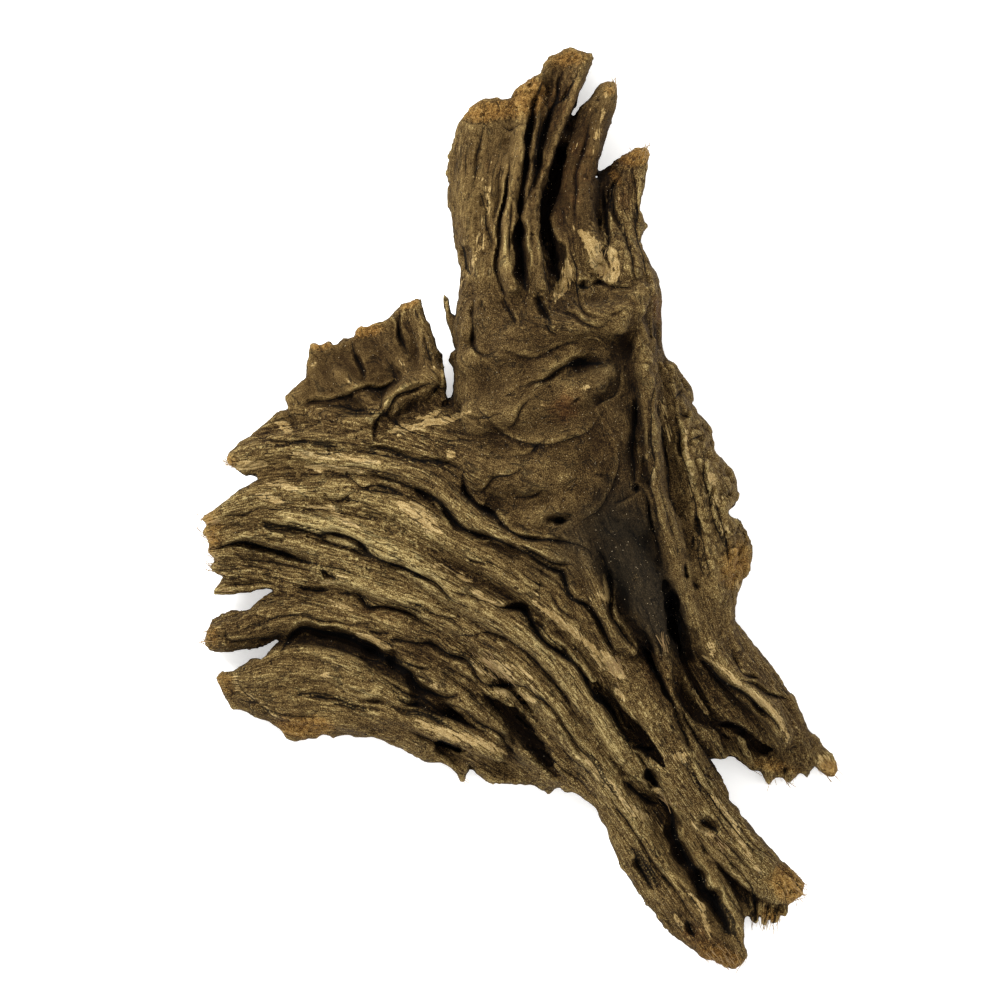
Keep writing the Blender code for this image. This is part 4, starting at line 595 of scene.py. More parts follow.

# Where the wood has painted light, a darker tone and painted shade, or is stained, charred,
# smooth or broken to crumbs: each patch is a centre, a half length, a half width, a turn in
# degrees and a strength.
PATCHES = {
    # Painted light: these patches lighten up-facing wood.
    Tint.SUN: ((-8, 105, 34, 15, 90, 0.2), (14, -66, 46, 16, -52, 0.6), (55, -115, 44, 14, -52, 0.3),
        (-58, -4, 36, 14, -16, 1.0), (64, 0, 40, 9, -72, 0.3), (-60, 15, 19, 6, -4, 1.0),
        (78, -122, 18, 9, -50, 0.4), (-60, -60, 30, 10, 0, 0.4), (-50, -26, 30, 12, -14, 0.8)),
    # A darker tone of the wood, and painted shade over the knee hollow, the slot-side prong faces and
    # pockets.
    Tint.PAINTED_SHADE_AND_DARK_TONE: ((8, 120, 32, 7, 78, 1.0), (0, 62, 24, 15, 0, 0.6), (3, -76, 15, 5, -52, 0.8),
        (4, 22, 30, 26, 0, 0.4), (34, 10, 16, 48, 0, 0.75), (27, 114, 34, 9, 66, 1.0),
        (19, 112, 30, 7, 78, 1.0), (31, 108, 18, 6, 70, 0.9), (-94, -41, 16, 8, 0, 0.7),
        (-50, 48, 26, 14, 0, 0.6), (80, -68, 30, 9, -45, 0.4), (54, -54, 18, 12, -60, 0.8),
        (-40, -46, 20, 6, -18, 0.5), (60, -142, 20, 10, -50, 0.6), (12, 76, 16, 8, 90, 0.6)),
    # Charred wood; the patch at (-2, -80) is painted shade in the knee hollow.
    Tint.CHAR: ((30, 112, 22, 5, 68, 0.3), (40, 12, 34, 12, 90, 0.4), (38, -20, 30, 11, -70, 1.0),
        (22, -12, 18, 12, -30, 0.6), (48, -34, 14, 7, -70, 0.9), (6, -20, 18, 5, -25, 0.35),
        (28, 40, 22, 10, 70, 0.3), (-2, -80, 8, 4, -60, 0.6), (-60, -52, 18, 5, 0, 0.25)),
    Tint.RUST: ((15, 34, 9, 7, 40, 0.7), (46, 66, 8, 3, 90, 0.7), (-46, -34, 18, 5, -18, 0.5),
        (46, -56, 22, 8, -58, 0.5), (40, -76, 30, 8, -55, 0.35), (16, 138, 12, 6, 60, 0.35),
        (62, -146, 14, 8, -40, 0.6), (-76, -72, 10, 6, 0, 0.6), (-28, 44, 8, 5, 60, 0.3),
        (36, 105, 12, 6, 80, 0.5), (4, 112, 40, 26, 80, 0.4), (22, 118, 26, 8, 70, 0.3)),
    Tint.CRUMB: ((-11, 132, 10, 4, 8, 1.0), (3, 137, 8, 6, 60, 1.0), (38, 117, 7, 3.5, 20, 1.0),
        (32, 110, 4, 2, -60, 0.8), (16, 150, 9, 4, 10, 0.7), (90, -126, 9, 6, -40, 1.0),
        (84, -136, 6, 4, 0, 0.7), (67, -150, 11, 5, -20, 0.8), (72, -18, 6, 9, -20, 0.8),
        (-71, -73, 10, 4, 5, 0.9), (104, -87, 4, 4, 0, 0.8), (-98, 15, 4, 4, 0, 0.8),
        (-103, -8, 4, 11, 0, 0.6), (-66, 54, 5, 1.8, 0, 0.8), (-52, 59, 6, 2.6, 10, 0.9),
        (-36.5, 68, 5, 2, 25, 0.9), (-99, -58, 4, 6, 20, 0.6), (30, 141, 4, 3, 50, 0.5),
        (84, -86, 14, 3, -10, 0.5), (-103, -44, 3, 6, 0, 0.5), (52, 50, 6, 4, -50, 0.4)),
    Tint.SMOOTH: ((16, 14, 44, 27, 100, 0.95), (2, 58, 28, 14, 0, 0.7), (40, -22, 30, 13, -70, 0.6),
        (-54, 46, 34, 14, 10, 0.85), (-8, 106, 34, 14, 90, 0.65), (8, 128, 30, 8, 70, 0.6),
        (22, 116, 32, 9, 70, 0.85), (62, -128, 30, 12, -55, 0.4)),
    Tint.KNOBBLY: ((66, 0, 46, 13, -72, 1.0), (52, 44, 18, 8, -50, 0.8), (42, 80, 22, 7, 80, 0.5),
        (76, -30, 14, 7, -70, 0.6)),
    Tint.CALM: ((-8, 106, 38, 16, 90, 0.7), (8, 130, 34, 9, 70, 0.9), (22, 116, 34, 10, 70, 0.95),
        (-54, 46, 32, 14, 10, 0.8), (62, -130, 26, 12, -55, 0.5), (-86, 14, 14, 8, 0, 0.3)),
    Tint.FRAY: ((31, -52, 5, 3, -50, 1.0), (47, -43, 3, 1.5, -70, 0.7), (102, -86, 4, 3, -40, 0.8),
        (-103, -8, 3, 9, 0, 0.7), (-103, -20, 3, 4, 0, 0.8), (70, -151, 8, 4, -20, 0.8),
        (84, -138, 7, 3, 0, 0.9), (31, 141, 3, 2, 50, 0.8), (48, -96, 3, 1.5, -40, 1.0),
        (65.5, -111, 3, 1.5, -40, 1.0), (-104, -43, 3, 6, 0, 0.6), (93, -126, 4, 5, 0, 0.8),
        (-97, 15, 3, 3, 0, 0.7), (-19, -90, 3, 2, 0, 0.8), (85, -90, 10, 2, -5, 0.7),
        (41, 119, 4, 3, 0, 0.7), (-99, -27, 4, 2, 0, 0.8), (-8, -53, 8, 3, -22, 0.4),
        (27, 81, 7, 3, -50, 0.4)),
}

log = logging.getLogger("driftwood")


def smooth_path(points: Sequence[Point], step: float) -> Array:
    """Reads the smooth curve that runs through some points.

    Args:
        points: The points, with any number of values each, of which up to three are a place.
        step: The distance between readings, in millimetres.

    Returns:
        One row for each reading.
    """
    knots = np.array([points[0], *points, points[-1]], float)
    found = []
    for before, start, end, after in zip(knots, knots[1:], knots[2:], knots[3:]):
        count = max(1, round(float(np.linalg.norm((end - start)[:3])) / step))
        t = (np.arange(count) / count)[:, None]
        found.append(0.5 * (
            2 * start + (end - before) * t + (2 * before - 5 * start + 4 * end - after) * t ** 2
            + (3 * start - before - 3 * end + after) * t ** 3))
    return np.vstack([*found, knots[-1:]])


def doubled(values: Array) -> Array:
    """Halves the spacing of a field of any number of axes.

    Args:
        values: The field.

    Returns:
        The field with the points halfway along each axis filled in.
    """
    for axis in range(values.ndim):
        values = np.moveaxis(values, axis, 0)
        finer = np.empty((2 * len(values) - 1, *values.shape[1:]), np.float32)
        finer[::2] = values
        finer[1::2] = 0.5 * (values[:-1] + values[1:])
        values = np.moveaxis(finer, 0, axis)
    return np.ascontiguousarray(values)


def ramped(values: Array, start: float, end: float) -> Array:
    """Rises smoothly from 0 to 1 as the values go from start to end."""
    share = np.clip((values - start) / (end - start), 0, 1)
    return share * share * (3 - 2 * share)


def softened(values: Array, reach: int, passes: int = 2) -> Array:
    """Averages a field over a box, a few times over.

    Args:
        values: The field.
        reach: How many points the box takes in on each side.
        passes: How many times it is averaged.

    Returns:
        The smoother field.
    """
    width = 2 * reach + 1
    for _ in range(passes):
        for axis in range(values.ndim):
            padding = [(0, 0)] * values.ndim
            padding[axis] = (reach + 1, reach)
            total = np.cumsum(np.pad(values, padding, mode="edge"), axis=axis, dtype=np.float32)
            count = values.shape[axis]
            upper = np.take(total, range(width, width + count), axis=axis)
            values = (upper - np.take(total, range(count), axis=axis)) / width
    return values


@dataclass(frozen=True)
class Lattice:
    """A regular lattice of points, in table millimetres."""

    low: tuple[float, float, float] = (-110.4, -157.2, -3.3)
    high: tuple[float, float, float] = (110.4, 157.2, 73.0)
    step: float = LATTICE_STEP

    def axis(self, which: int) -> Array:
        """The places of the lattice points along one axis."""
        count = int(round((self.high[which] - self.low[which]) / self.step)) + 1
        return (self.low[which] + self.step * np.arange(count)).astype(np.float32)

    def plan(self) -> tuple[Array, Array]:
        """The places along X as a column and those along Y as a row."""
        return self.axis(0)[:, None], self.axis(1)[None, :]

    def finer(self) -> "Lattice":
        """The lattice that doubled() makes of a field on this one."""
        ends = tuple(float(self.axis(which)[-1]) for which in range(3))
        return Lattice(self.low, ends, self.step / 2)

    def window(self, low: Sequence[float], high: Sequence[float]) -> tuple[slice, ...]:
        """Finds the part of the lattice that holds a box.

        Args:
            low: The lower corner of the box, which may have fewer axes.
            high: Its upper corner.

        Returns:
            One slice for each axis of the corners.
        """
        found = []
        for which, (near, far) in enumerate(zip(low, high)):
            count = len(self.axis(which))
            first = int(np.floor((near - self.low[which]) / self.step))
            last = int(np.ceil((far - self.low[which]) / self.step)) + 1
            found.append(slice(min(max(first, 0), count), min(max(last, 0), count)))
        return tuple(found)


def tube_distance(x: Array, y: Array, z: Array, start: Array, end: Array) -> Array:
    """About how far points lie outside one stretch of a strand, an ellipse in section.

    Args:
        x: Places along X, shaped so that the three broadcast.
        y: Places along Y.
        z: Places along Z.
        start: The station that the stretch starts at.
        end: The station that it ends at.

    Returns:
        The distances, negative inside.
    """
    heading = (end - start)[:3]
    length = float(np.linalg.norm(heading))
    heading = heading / length
    side = np.array((-heading[1], heading[0], 0)) / math.hypot(heading[0], heading[1])
    up = np.cross(heading, side)
    x, y, z = x - start[0], y - start[1], z - start[2]
    along = x * heading[0] + y * heading[1] + z * heading[2]
    share = np.clip(along / length, 0, 1)
    half_width = start[3] + share * (end[3] - start[3])
    half_height = start[4] + share * (end[4] - start[4])
    least = np.minimum(half_width, half_height)
    across = (x * side[0] + y * side[1]) / half_width
    rise = (x * up[0] + y * up[1] + z * up[2]) / half_height
    over = (along - share * length) / least
    near = np.sqrt(across ** 2 + rise ** 2 + over ** 2)
    steep = np.sqrt((across / half_width) ** 2 + (rise / half_height) ** 2 + (over / least) ** 2)
    return (near * (near - 1) / (steep + 1e-4)).astype(np.float32)


def outline_distance(x: Array, y: Array, outline: Sequence[Point]) -> Array:
    """How far plan points lie outside a closed outline.

    Args:
        x: Places along X, as a column.
        y: Places along Y, as a row.
        outline: The corners, of which the first two values are read.

    Returns:
        The distances, negative inside, one for each pair of places.
    """
    corners = np.array([corner[:2] for corner in outline], np.float32)
    nearest = np.full(np.broadcast(x, y).shape, 1e9, np.float32)
    inside = np.zeros(nearest.shape, bool)
    for (ax, ay), (bx, by) in zip(corners, np.roll(corners, -1, axis=0)):
        ex, ey = bx - ax, by - ay
        share = np.clip(((x - ax) * ex + (y - ay) * ey) / (ex * ex + ey * ey), 0, 1)
        np.minimum(nearest, (x - ax - share * ex) ** 2 + (y - ay - share * ey) ** 2, out=nearest)
        if ay != by:
            inside ^= ((y < ay) != (y < by)) & (x < ax + (y - ay) * (ex / ey))
    distance = np.sqrt(nearest)
    return np.where(inside, -distance, distance)


def beside_path(x: Array, y: Array, path: Array) -> tuple[Array, Array, Array]:
    """Where plan points lie beside a path.

    Args:
        x: The points' places to the right.
        y: Their places up the plan.
        path: The plan points that the path runs through.

    Returns:
        How far each point is from the path, how far it is from the path's ends as a share that
        reaches 1 a quarter of the way in, and how far it lies to the left of the path.
    """
    count = len(path) - 1
    nearest, place, side = (np.full(x.shape, value, np.float32) for value in (1e3, 0.0, 0.0))
    for index, (start, end) in enumerate(zip(path, path[1:])):
        ex, ey = end - start
        share = ((x - start[0]) * ex + (y - start[1]) * ey) / (ex * ex + ey * ey + 1e-9)
        share = np.clip(share, 0, 1)
        east, north = x - start[0] - share * ex, y - start[1] - share * ey
        apart = np.hypot(east, north)
        closer = apart < nearest
        nearest[closer] = apart[closer]
        place[closer] = (index + share)[closer]
        side[closer] = ((ex * north - ey * east) / math.hypot(ex, ey))[closer]
    taper = np.clip(np.minimum(place, count - place) / max(1.0, 0.25 * count), 0, 1)
    return nearest, taper, side


def bridged(heights: Array, reach: int) -> Array:
    """Fills the pits and slots of a height map level, where they are narrow.

    Args:
        heights: The map.
        reach: Half the width of the widest that is filled, in points.

    Returns:
        The filled map.
    """
    for best in (np.maximum, np.minimum):
        for axis in range(2):
            found = heights
            for shift in range(1, reach + 1):
                for turn in (shift, -shift):
                    found = best(found, np.roll(heights, turn, axis=axis))
            heights = found
    return heights


def scarred(lattice: Lattice) -> Array:
    """Lays out the pale scars.

    Args:
        lattice: Where they are read.

    Returns:
        How strong they are at each plan point, from 0 to 1.
    """
    total = np.zeros((len(lattice.axis(0)), len(lattice.axis(1))), np.float32)
    for streak in STREAKS:
        path = smooth_path(streak.path, PATH_STEP)
        reach = 2 * streak.width + 1
        rows, columns = lattice.window(path.min(axis=0) - reach, path.max(axis=0) + reach)
        x, y = np.meshgrid(lattice.axis(0)[rows], lattice.axis(1)[columns], indexing="ij")
        nearest, taper, _ = beside_path(x, y, path)
        fade = np.clip(1.7 - nearest / (streak.width * (0.35 + 0.65 * taper)), 0, 1)
        total[rows, columns] = np.maximum(total[rows, columns], streak.strength * fade)
    return total


def tinted(tint: Tint, lattice: Lattice) -> Array:
    """Lays out the patches of one tint.

    Args:
        tint: Which tint is asked for.
        lattice: Where it is read.

    Returns:
        How strong it is at each plan point, from 0 to 1.
    """
    x, y = lattice.plan()
    total = np.zeros((x.shape[0], y.shape[1]), np.float32)
    for centre_x, centre_y, half_length, half_width, turn, strength in PATCHES[tint]:
        cosine, sine = math.cos(math.radians(turn)), math.sin(math.radians(turn))
        along = ((x - centre_x) * cosine + (y - centre_y) * sine) / half_length
        across = ((y - centre_y) * cosine - (x - centre_x) * sine) / half_width
        total = 1 - (1 - total) * (1 - strength * np.exp(-(along ** 2 + across ** 2) ** 1.5))
    return total


def read_plan(values: Array, lattice: Lattice, points: Array) -> Array:
    """Reads a plan map between its points.

    Args:
        values: The map.
        lattice: Its lattice.
        points: One row of x, y and perhaps z for each reading.

    Returns:
        One value for each reading.
    """
    places = (points[:, :2] - np.array(lattice.low[:2], np.float32)) / lattice.step
    places = np.clip(places, 0, np.array(values.shape) - 1.001)
    low = places.astype(np.int32)
    (row, column), (east, north) = low.T, (places - low).T
    near = values[row, column] * (1 - east) + values[row + 1, column] * east
    far = values[row, column + 1] * (1 - east) + values[row + 1, column + 1] * east
    return near * (1 - north) + far * north


def read_field(values: Array, low_corner: Sequence[float], step: float, points: Array) -> Array:
    """Reads a field between its points.

    Args:
        values: The field.
        low_corner: The place of its first point.
        step: The spacing of its points.
        points: One row of x, y and z for each reading.

    Returns:
        One value for each reading.
    """
    places = (points - np.array(low_corner, np.float32)) / step
    places = np.clip(places, 0, np.array(values.shape) - 1.001)
    low = places.astype(np.int32)
    share = places - low
    total = np.zeros(len(points), np.float32)
    for corner in np.ndindex(2, 2, 2):
        weight = np.prod(np.where(np.array(corner) == 1, share, 1 - share), axis=1)
        total += weight * values[tuple((low + corner).T)]
    return total


def point_normals(points: Array, triangles: Array) -> Array:
    """The normal at each point of a skin, each face counting by its area.

    Args:
        points: One row for each point.
        triangles: One row of three point numbers for each face.

    Returns:
        One row for each point, not yet of length one.
    """
    corners = points[triangles]
    flat = np.cross(corners[:, 1] - corners[:, 0], corners[:, 2] - corners[:, 0])
    total = np.empty_like(points)
    for which in range(3):
        weights = np.repeat(flat[:, which], 3)
        total[:, which] = np.bincount(triangles.ravel(), weights=weights, minlength=len(points))
    return total


def unit(rows: Array) -> Array:
    """Rows turned to length one."""
    return rows / (np.linalg.norm(rows, axis=1, keepdims=True) + 1e-12)


class BandNoise:
    """A smooth random field with one size of lump, which repeats every SIZE lattice cells."""

    SIZE = 128
    CELLS_IN_A_LUMP = 8.0
    SPREAD = 0.45

    def __init__(self, seed: int) -> None:
        """Makes the field.

        Args:
            seed: What its random draws start from.
        """
        draws = np.random.default_rng(seed).standard_normal((self.SIZE,) * 3).astype(np.float32)
        rate = np.fft.fftfreq(self.SIZE)
        depth_rate = np.fft.rfftfreq(self.SIZE)
        size = np.sqrt(rate[:, None, None] ** 2 + rate[None, :, None] ** 2 + depth_rate ** 2)
        band = np.exp(-((size * self.CELLS_IN_A_LUMP - 1) / self.SPREAD) ** 2)
        table = np.fft.irfftn(np.fft.rfftn(draws) * band, s=draws.shape)
        self.table = (table / table.std()).astype(np.float32).ravel()

    def at(self, x: Array, y: Array, z: Array) -> Array:
        """Reads the field.

        Args:
            x: Places along the first axis, counted in lumps.
            y: Places along the second axis.
            z: Places along the third axis.

        Returns:
            Values that average 0 and mostly lie between -2 and 2.
        """
        lows, shares = [], []
        for places, stride in zip((x, y, z), (self.SIZE * self.SIZE, self.SIZE, 1)):
            places = places * self.CELLS_IN_A_LUMP
            floor = np.floor(places)
            low = floor.astype(np.int32)
            lows.append([((low + step) & (self.SIZE - 1)) * stride for step in (0, 1)])
            shares.append((places - floor).astype(np.float32))
        planes = []
        for row in lows[0]:
            lines = []
            for column in lows[1]:
                low, high = (self.table[row + column + layer] for layer in lows[2])
                lines.append(low + (high - low) * shares[2])
            planes.append(lines[0] + (lines[1] - lines[0]) * shares[1])
        return planes[0] + (planes[1] - planes[0]) * shares[0]


@dataclass
class GrainField:
    """How the grain runs in plan.

    Its maps are the places along and across the grain, the height that it runs at, how coarse
    its fibres are, and its direction.
    """

    lattice: Lattice
    groups: Sequence[tuple[Sequence[Strand | Plate], float]]
    sample_step: float = 6.0
    least_reach: float = 2.0
    reach_share: float = 0.35
    # A strand this high counts for one.
    common_height: float = 50.0
    # The grain is read as flowing this way, towards the lower right.
    downstream: tuple[float, float] = (0.5, -0.85)
    # How much a wrong slope along and across the grain counts: places across it, and along it.
    across_pulls: tuple[float, float] = (12.0, 1.0)
    along_pulls: tuple[float, float] = (1.0, 0.4)
    # What a point further outside the outline than the first number counts for.
    outside: tuple[float, float] = (2.0, 0.06)
    steps: int = 900
    maps: dict[str, Array] = field(default_factory=dict)

    def build(self, edge: Array) -> None:
        """Works out the maps.

        Args:
            edge: How far each plan point of the lattice lies outside the outline.
        """
        ways, middle, fibre = self._blended()
        far, share = self.outside
        pull = np.where(edge < far, 1.0, share).astype(np.float32)
        normals = np.stack([-ways[1], ways[0]])
        self.maps = {
            "across": self._solved(ways, normals, self.across_pulls, normals, pull),
            "along": self._solved(ways, normals, self.along_pulls, ways, pull),
            "middle": middle, "fibre": fibre, "east": ways[0], "north": ways[1]}

    def refine(self) -> None:
        """Moves the maps to the lattice that is twice as fine."""
        self.maps = {name: doubled(values) for name, values in self.maps.items()}
        self.lattice = self.lattice.finer()

    def _samples(self) -> Array:
        """Reads every strand.

        Returns:
            Rows of x, y, z, heading in plan, half width, half height and coarseness.
        """
        rows = []
        for shapes, fibre in self.groups:
            for shape in shapes:
                if isinstance(shape, Plate):
                    continue
                points = smooth_path(shape.stations, self.sample_step)
                heading = np.gradient(points[:, :2], axis=0)
                heading /= np.linalg.norm(heading, axis=1, keepdims=True) + 1e-9
                heading[heading @ np.array(self.downstream) < 0] *= -1
                coarse = np.full((len(points), 1), fibre)
                rows.append(np.hstack([points[:, :3], heading, points[:, 3:5], coarse]))
        return np.vstack(rows).astype(np.float32)

    def _blended(self) -> tuple[Array, Array, Array]:
        """Blends the grain from the strands near each plan point.

        Returns:
            Its direction, its height and how coarse it is.
        """
        rows = self._samples()
        x, y = self.lattice.axis(0), self.lattice.axis(1)
        reach = self.least_reach + self.reach_share * rows[:, 5]
        height = (rows[:, 2] + rows[:, 6]) / self.common_height
        totals = np.zeros((5, len(x[::2]), len(y[::2])), np.float32)
        for index, place in enumerate(x[::2]):
            apart = (place - rows[:, 0]) ** 2 + (y[::2, None] - rows[:, 1]) ** 2
            weight = height ** 2 / (apart + reach ** 2) ** 2
            for total, column in zip(totals, (3, 4, 2, 7)):
                total[index] = weight @ rows[:, column]
            totals[4, index] = weight.sum(axis=1)
        size = np.hypot(totals[0], totals[1]) + 1e-9
        fields = [totals[0] / size, totals[1] / size, totals[2] / totals[4], totals[3] / totals[4]]
        fields = [
            np.pad(doubled(values), [(0, 1)] * 2, mode="edge")[:len(x), :len(y)] for values in fields]
        size = np.hypot(fields[0], fields[1]) + 1e-9
        return np.stack([fields[0] / size, fields[1] / size]), fields[2], fields[3]

    def _solved(
            self, ways: Array, normals: Array, pulls: tuple[float, float], target: Array,
            pull: Array) -> Array:
        """Finds the map whose slope comes closest to a target, by conjugate gradients.

        Args:
            ways: The direction of the grain at each point.
            normals: The direction across it.
            pulls: How much a wrong slope along the grain and across it counts.
            target: The slope wanted.
            pull: How much each point counts.

        Returns:
            The map, in millimetres.
        """
        along, across = pulls
        weights = [
            (along * ways[a] * ways[b] + across * normals[a] * normals[b]) * pull
            for a, b in ((0, 0), (0, 1), (1, 1))]
        weights = [weight[:-1, :-1].astype(np.float64) for weight in weights]
        target = target[:, :-1, :-1].astype(np.float64) * self.lattice.step
        pull = pull[:-1, :-1]

        def pressed(east: Array, north: Array) -> Array:
            """Spreads weighted slopes back onto the points that they were taken between.

            Args:
                east: The slopes along X.
                north: The slopes along Y.

            Returns:
                What each point gets.
            """
            flow_east = weights[0] * east + weights[1] * north
            flow_north = weights[1] * east + weights[2] * north
            spread = np.zeros((east.shape[0] + 1, east.shape[1] + 1))
            spread[1:, :-1] += flow_east
            spread[:-1, :-1] -= flow_east + flow_north
            spread[:-1, 1:] += flow_north
            return spread

        def applied(values: Array) -> Array:
            """What the slopes of a map press back onto it."""
            corner = values[:-1, :-1]
            return pressed(values[1:, :-1] - corner, values[:-1, 1:] - corner)

        x, y = self.lattice.plan()
        mean = [float((target[a] * pull).sum() / pull.sum()) / self.lattice.step for a in (0, 1)]
        values = (mean[0] * x + mean[1] * y).astype(np.float64)
        rest = pressed(target[0], target[1]) - applied(values)
        search = rest.copy()
        power = float((rest * rest).sum())
        for _ in range(self.steps):
            pressed_search = applied(search)
            stride = power / float((search * pressed_search).sum() + 1e-30)
            values += stride * search
            rest -= stride * pressed_search
            new_power = float((rest * rest).sum())
            search = rest + (new_power / power) * search
            power = new_power
        return values.astype(np.float32)


class WoodField:
    """The solid of the wood as a field of distances, negative inside the wood."""

    OPEN = 6.0
    SAMPLE_STEP = 5.0
    THINNEST = 0.6
    # How far shapes flow together: strands, hollows, the torn edge and the web.
    BLEND = 2.6
    VOID_BLEND = 1.0
    EDGE_BLEND = 0.8
    WEB_BLEND = 2.0
    # The outline is torn in and out this far, in lumps of this size.
    TORN = ((7.0, 0.28), (3.2, 0.14))
    TORN_SEED = 77
    # The web grows over the first stretch inside the outline and ends over the second.
    WEB_START = (-0.6, 2.4)
    WEB_END = (4.0, 8.0)
    WEB_HALF_HEIGHT = 2.4
    WEB_LEVEL = 0.9
    LEAST_WEB_LEVEL = 3.0
    # Where less wood than the first number is left, further inside the outline than the second, a
    # floor closes the bottom of the gap: once before the creases are cut, and once after.
    FIRST_FLOOR = (3.6, 3.0)
    LAST_FLOOR = (1.5, 0.05)
    FLOOR_HALF_HEIGHT = 1.8
    FLOOR_REACH = 4.8
    FLOOR_OVERLAP = 1.5

    def __init__(self, lattice: Lattice) -> None:
        """Starts with no wood.

        Args:
            lattice: Where the field is read.
        """
        self.lattice = lattice
        self.values = np.full([len(lattice.axis(which)) for which in range(3)], self.OPEN, np.float32)
        self.edge = self._ragged_edge()

    def _ragged_edge(self) -> Array:
        """Tears the outline a little all the way round.

        Returns:
            How far each plan point lies outside it.
        """
        x, y = self.lattice.plan()
        edge = outline_distance(x, y, OUTLINE)
        x, y = np.broadcast_arrays(x, y)
        for size, far in self.TORN:
            edge = edge + far * BandNoise(self.TORN_SEED).at(x / size, y / size, np.zeros(x.shape))
        return edge.astype(np.float32)

    def _places(self, window: tuple[slice, ...]) -> tuple[Array, Array, Array]:
        """The places of a window's points, shaped so that they broadcast."""
        x, y, z = (self.lattice.axis(which)[part] for which, part in enumerate(window))
        return x[:, None, None], y[None, :, None], z[None, None, :]

    def _strand(self, strand: Strand) -> tuple[tuple[slice, ...], Array]:
        """Reads one strand.

        Args:
            strand: The strand.

        Returns:
            The window that it reaches and its distances there.
        """
        points = smooth_path(strand.stations, self.SAMPLE_STEP)
        points[:, 3:] = np.maximum(points[:, 3:], self.THINNEST)
        reach = points[:, 3:].max(axis=1, keepdims=True) + self.OPEN
        window = self.lattice.window(
            (points[:, :3] - reach).min(axis=0), (points[:, :3] + reach).max(axis=0))
        distance = np.full([part.stop - part.start for part in window], self.OPEN, np.float32)
        for start, end in zip(points, points[1:]):
            span = max(start[3:].max(), end[3:].max()) + self.OPEN
            inner = self.lattice.window(
                np.minimum(start[:3], end[:3]) - span, np.maximum(start[:3], end[:3]) + span)
            inner = tuple(
                slice(max(part.start, outer.start), min(part.stop, outer.stop))
                for part, outer in zip(inner, window))
            local = tuple(
                slice(part.start - outer.start, part.stop - outer.start)
                for part, outer in zip(inner, window))
            found = tube_distance(*self._places(inner), start, end)
            distance[local] = np.minimum(distance[local], found)
        return window, distance

    def _plate(self, plate: Plate) -> tuple[tuple[slice, ...], Array]:
        """Reads one plate.

        Args:
            plate: The plate.

        Returns:
            The window that it reaches and its distances there.
        """
        corners = np.array(plate.outline, float)
        reach = self.OPEN + plate.half_height
        window = self.lattice.window(corners.min(axis=0) - reach, corners.max(axis=0) + reach)
        x, y, z = self._places(window)
        east, north, height = corners.T
        terms = np.stack([np.ones(len(corners)), east, north, east * north], axis=1)
        fit = np.linalg.lstsq(terms, height, rcond=None)[0]
        middle = fit[0] + fit[1] * x + fit[2] * y + fit[3] * x * y
        flat = outline_distance(x[:, :, 0], y[:, :, 0], plate.outline)[:, :, None]
        return window, np.maximum(flat, np.abs(z - middle) - plate.half_height).astype(np.float32)

    def add(self, shape: Strand | Plate) -> None:
        """Lets a strand or a plate flow together with the wood."""
        window, distance = self._plate(shape) if isinstance(shape, Plate) else self._strand(shape)
        self.values[window] = self._joined(self.values[window], distance, self.BLEND)

    def open_up(self, strand: Strand) -> None:
        """Takes a strand-shaped hollow out of the wood."""
        window, distance = self._strand(strand)
        self.values[window] = -self._joined(-self.values[window], distance, self.VOID_BLEND)

    def keep_to_outline(self, middle: Array) -> None:
        """Fills the wood out to its outline with a thin web and trims it there.

        Args:
            middle: The height that the grain runs at, for each plan point.
        """
        inward = -self.edge
        half = self.WEB_HALF_HEIGHT * ramped(inward, *self.WEB_START)
        half = half * (1 - ramped(inward, *self.WEB_END))
        self._lay_web(np.maximum(middle * self.WEB_LEVEL, self.LEAST_WEB_LEVEL), half)
        trim = np.broadcast_to(-self.edge[:, :, None], self.values.shape).astype(np.float32)
        self.values = -self._joined(-self.values, trim, self.EDGE_BLEND)

    def close_bottom(self, least: float, inside: float) -> None:
        """Lays a thin floor, level with the wood beside it, where the wood is worn nearly through.

        Args:
            least: How much wood is enough to need no floor.
            inside: How far inside the outline the floor starts.
        """
        step = self.lattice.step
        solid = self.values < 0
        firm = solid.sum(axis=2) * step >= least
        reach = round(self.FLOOR_REACH / step)
        bottom = (self.lattice.axis(2)[np.argmax(solid, axis=2)] * firm).astype(np.float32)
        share = np.maximum(softened(firm.astype(np.float32), reach), 0.01)
        thin = (~firm & (self.edge < -inside)).astype(np.float32)
        grown = ramped(softened(thin, round(self.FLOOR_OVERLAP / step), 1), 0.02, 0.3)
        half = self.FLOOR_HALF_HEIGHT * grown * (self.edge < 0)
        self._lay_web(softened(bottom, reach) / share + self.FLOOR_HALF_HEIGHT, half)

    def drop_loose(self) -> None:
        """Takes away every bit that hangs free of the main wood."""
        solid = self.values < 0
        kept = np.zeros_like(solid)
        kept[np.unravel_index(np.argmin(self.values), solid.shape)] = True
        before = 0
        while before < (count := np.count_nonzero(kept)):
            before = count
            for axis in range(3):
                ours, wood = np.moveaxis(kept, axis, 0), np.moveaxis(solid, axis, 0)
                for i in range(1, len(ours)):
                    ours[i] |= ours[i - 1] & wood[i]
                for i in range(len(ours) - 2, -1, -1):
                    ours[i] |= ours[i + 1] & wood[i]
        loose = solid & ~kept
        self.values[loose] = 0.5 * self.lattice.step
        log.info("%d loose points dropped", np.count_nonzero(loose))

    def _lay_web(self, height: Array, half: Array) -> None:
        """Joins a level web to the wood, where it has any thickness.

        Args:
            height: The height of its middle at each plan point.
            half: Half its thickness there.
        """
        web = np.abs(self.lattice.axis(2)[None, None, :] - height[:, :, None]) - half[:, :, None]
        web += np.where(half < 0.2, self.OPEN, 0)[:, :, None]
        self.values = self._joined(self.values, web.astype(np.float32), self.WEB_BLEND)

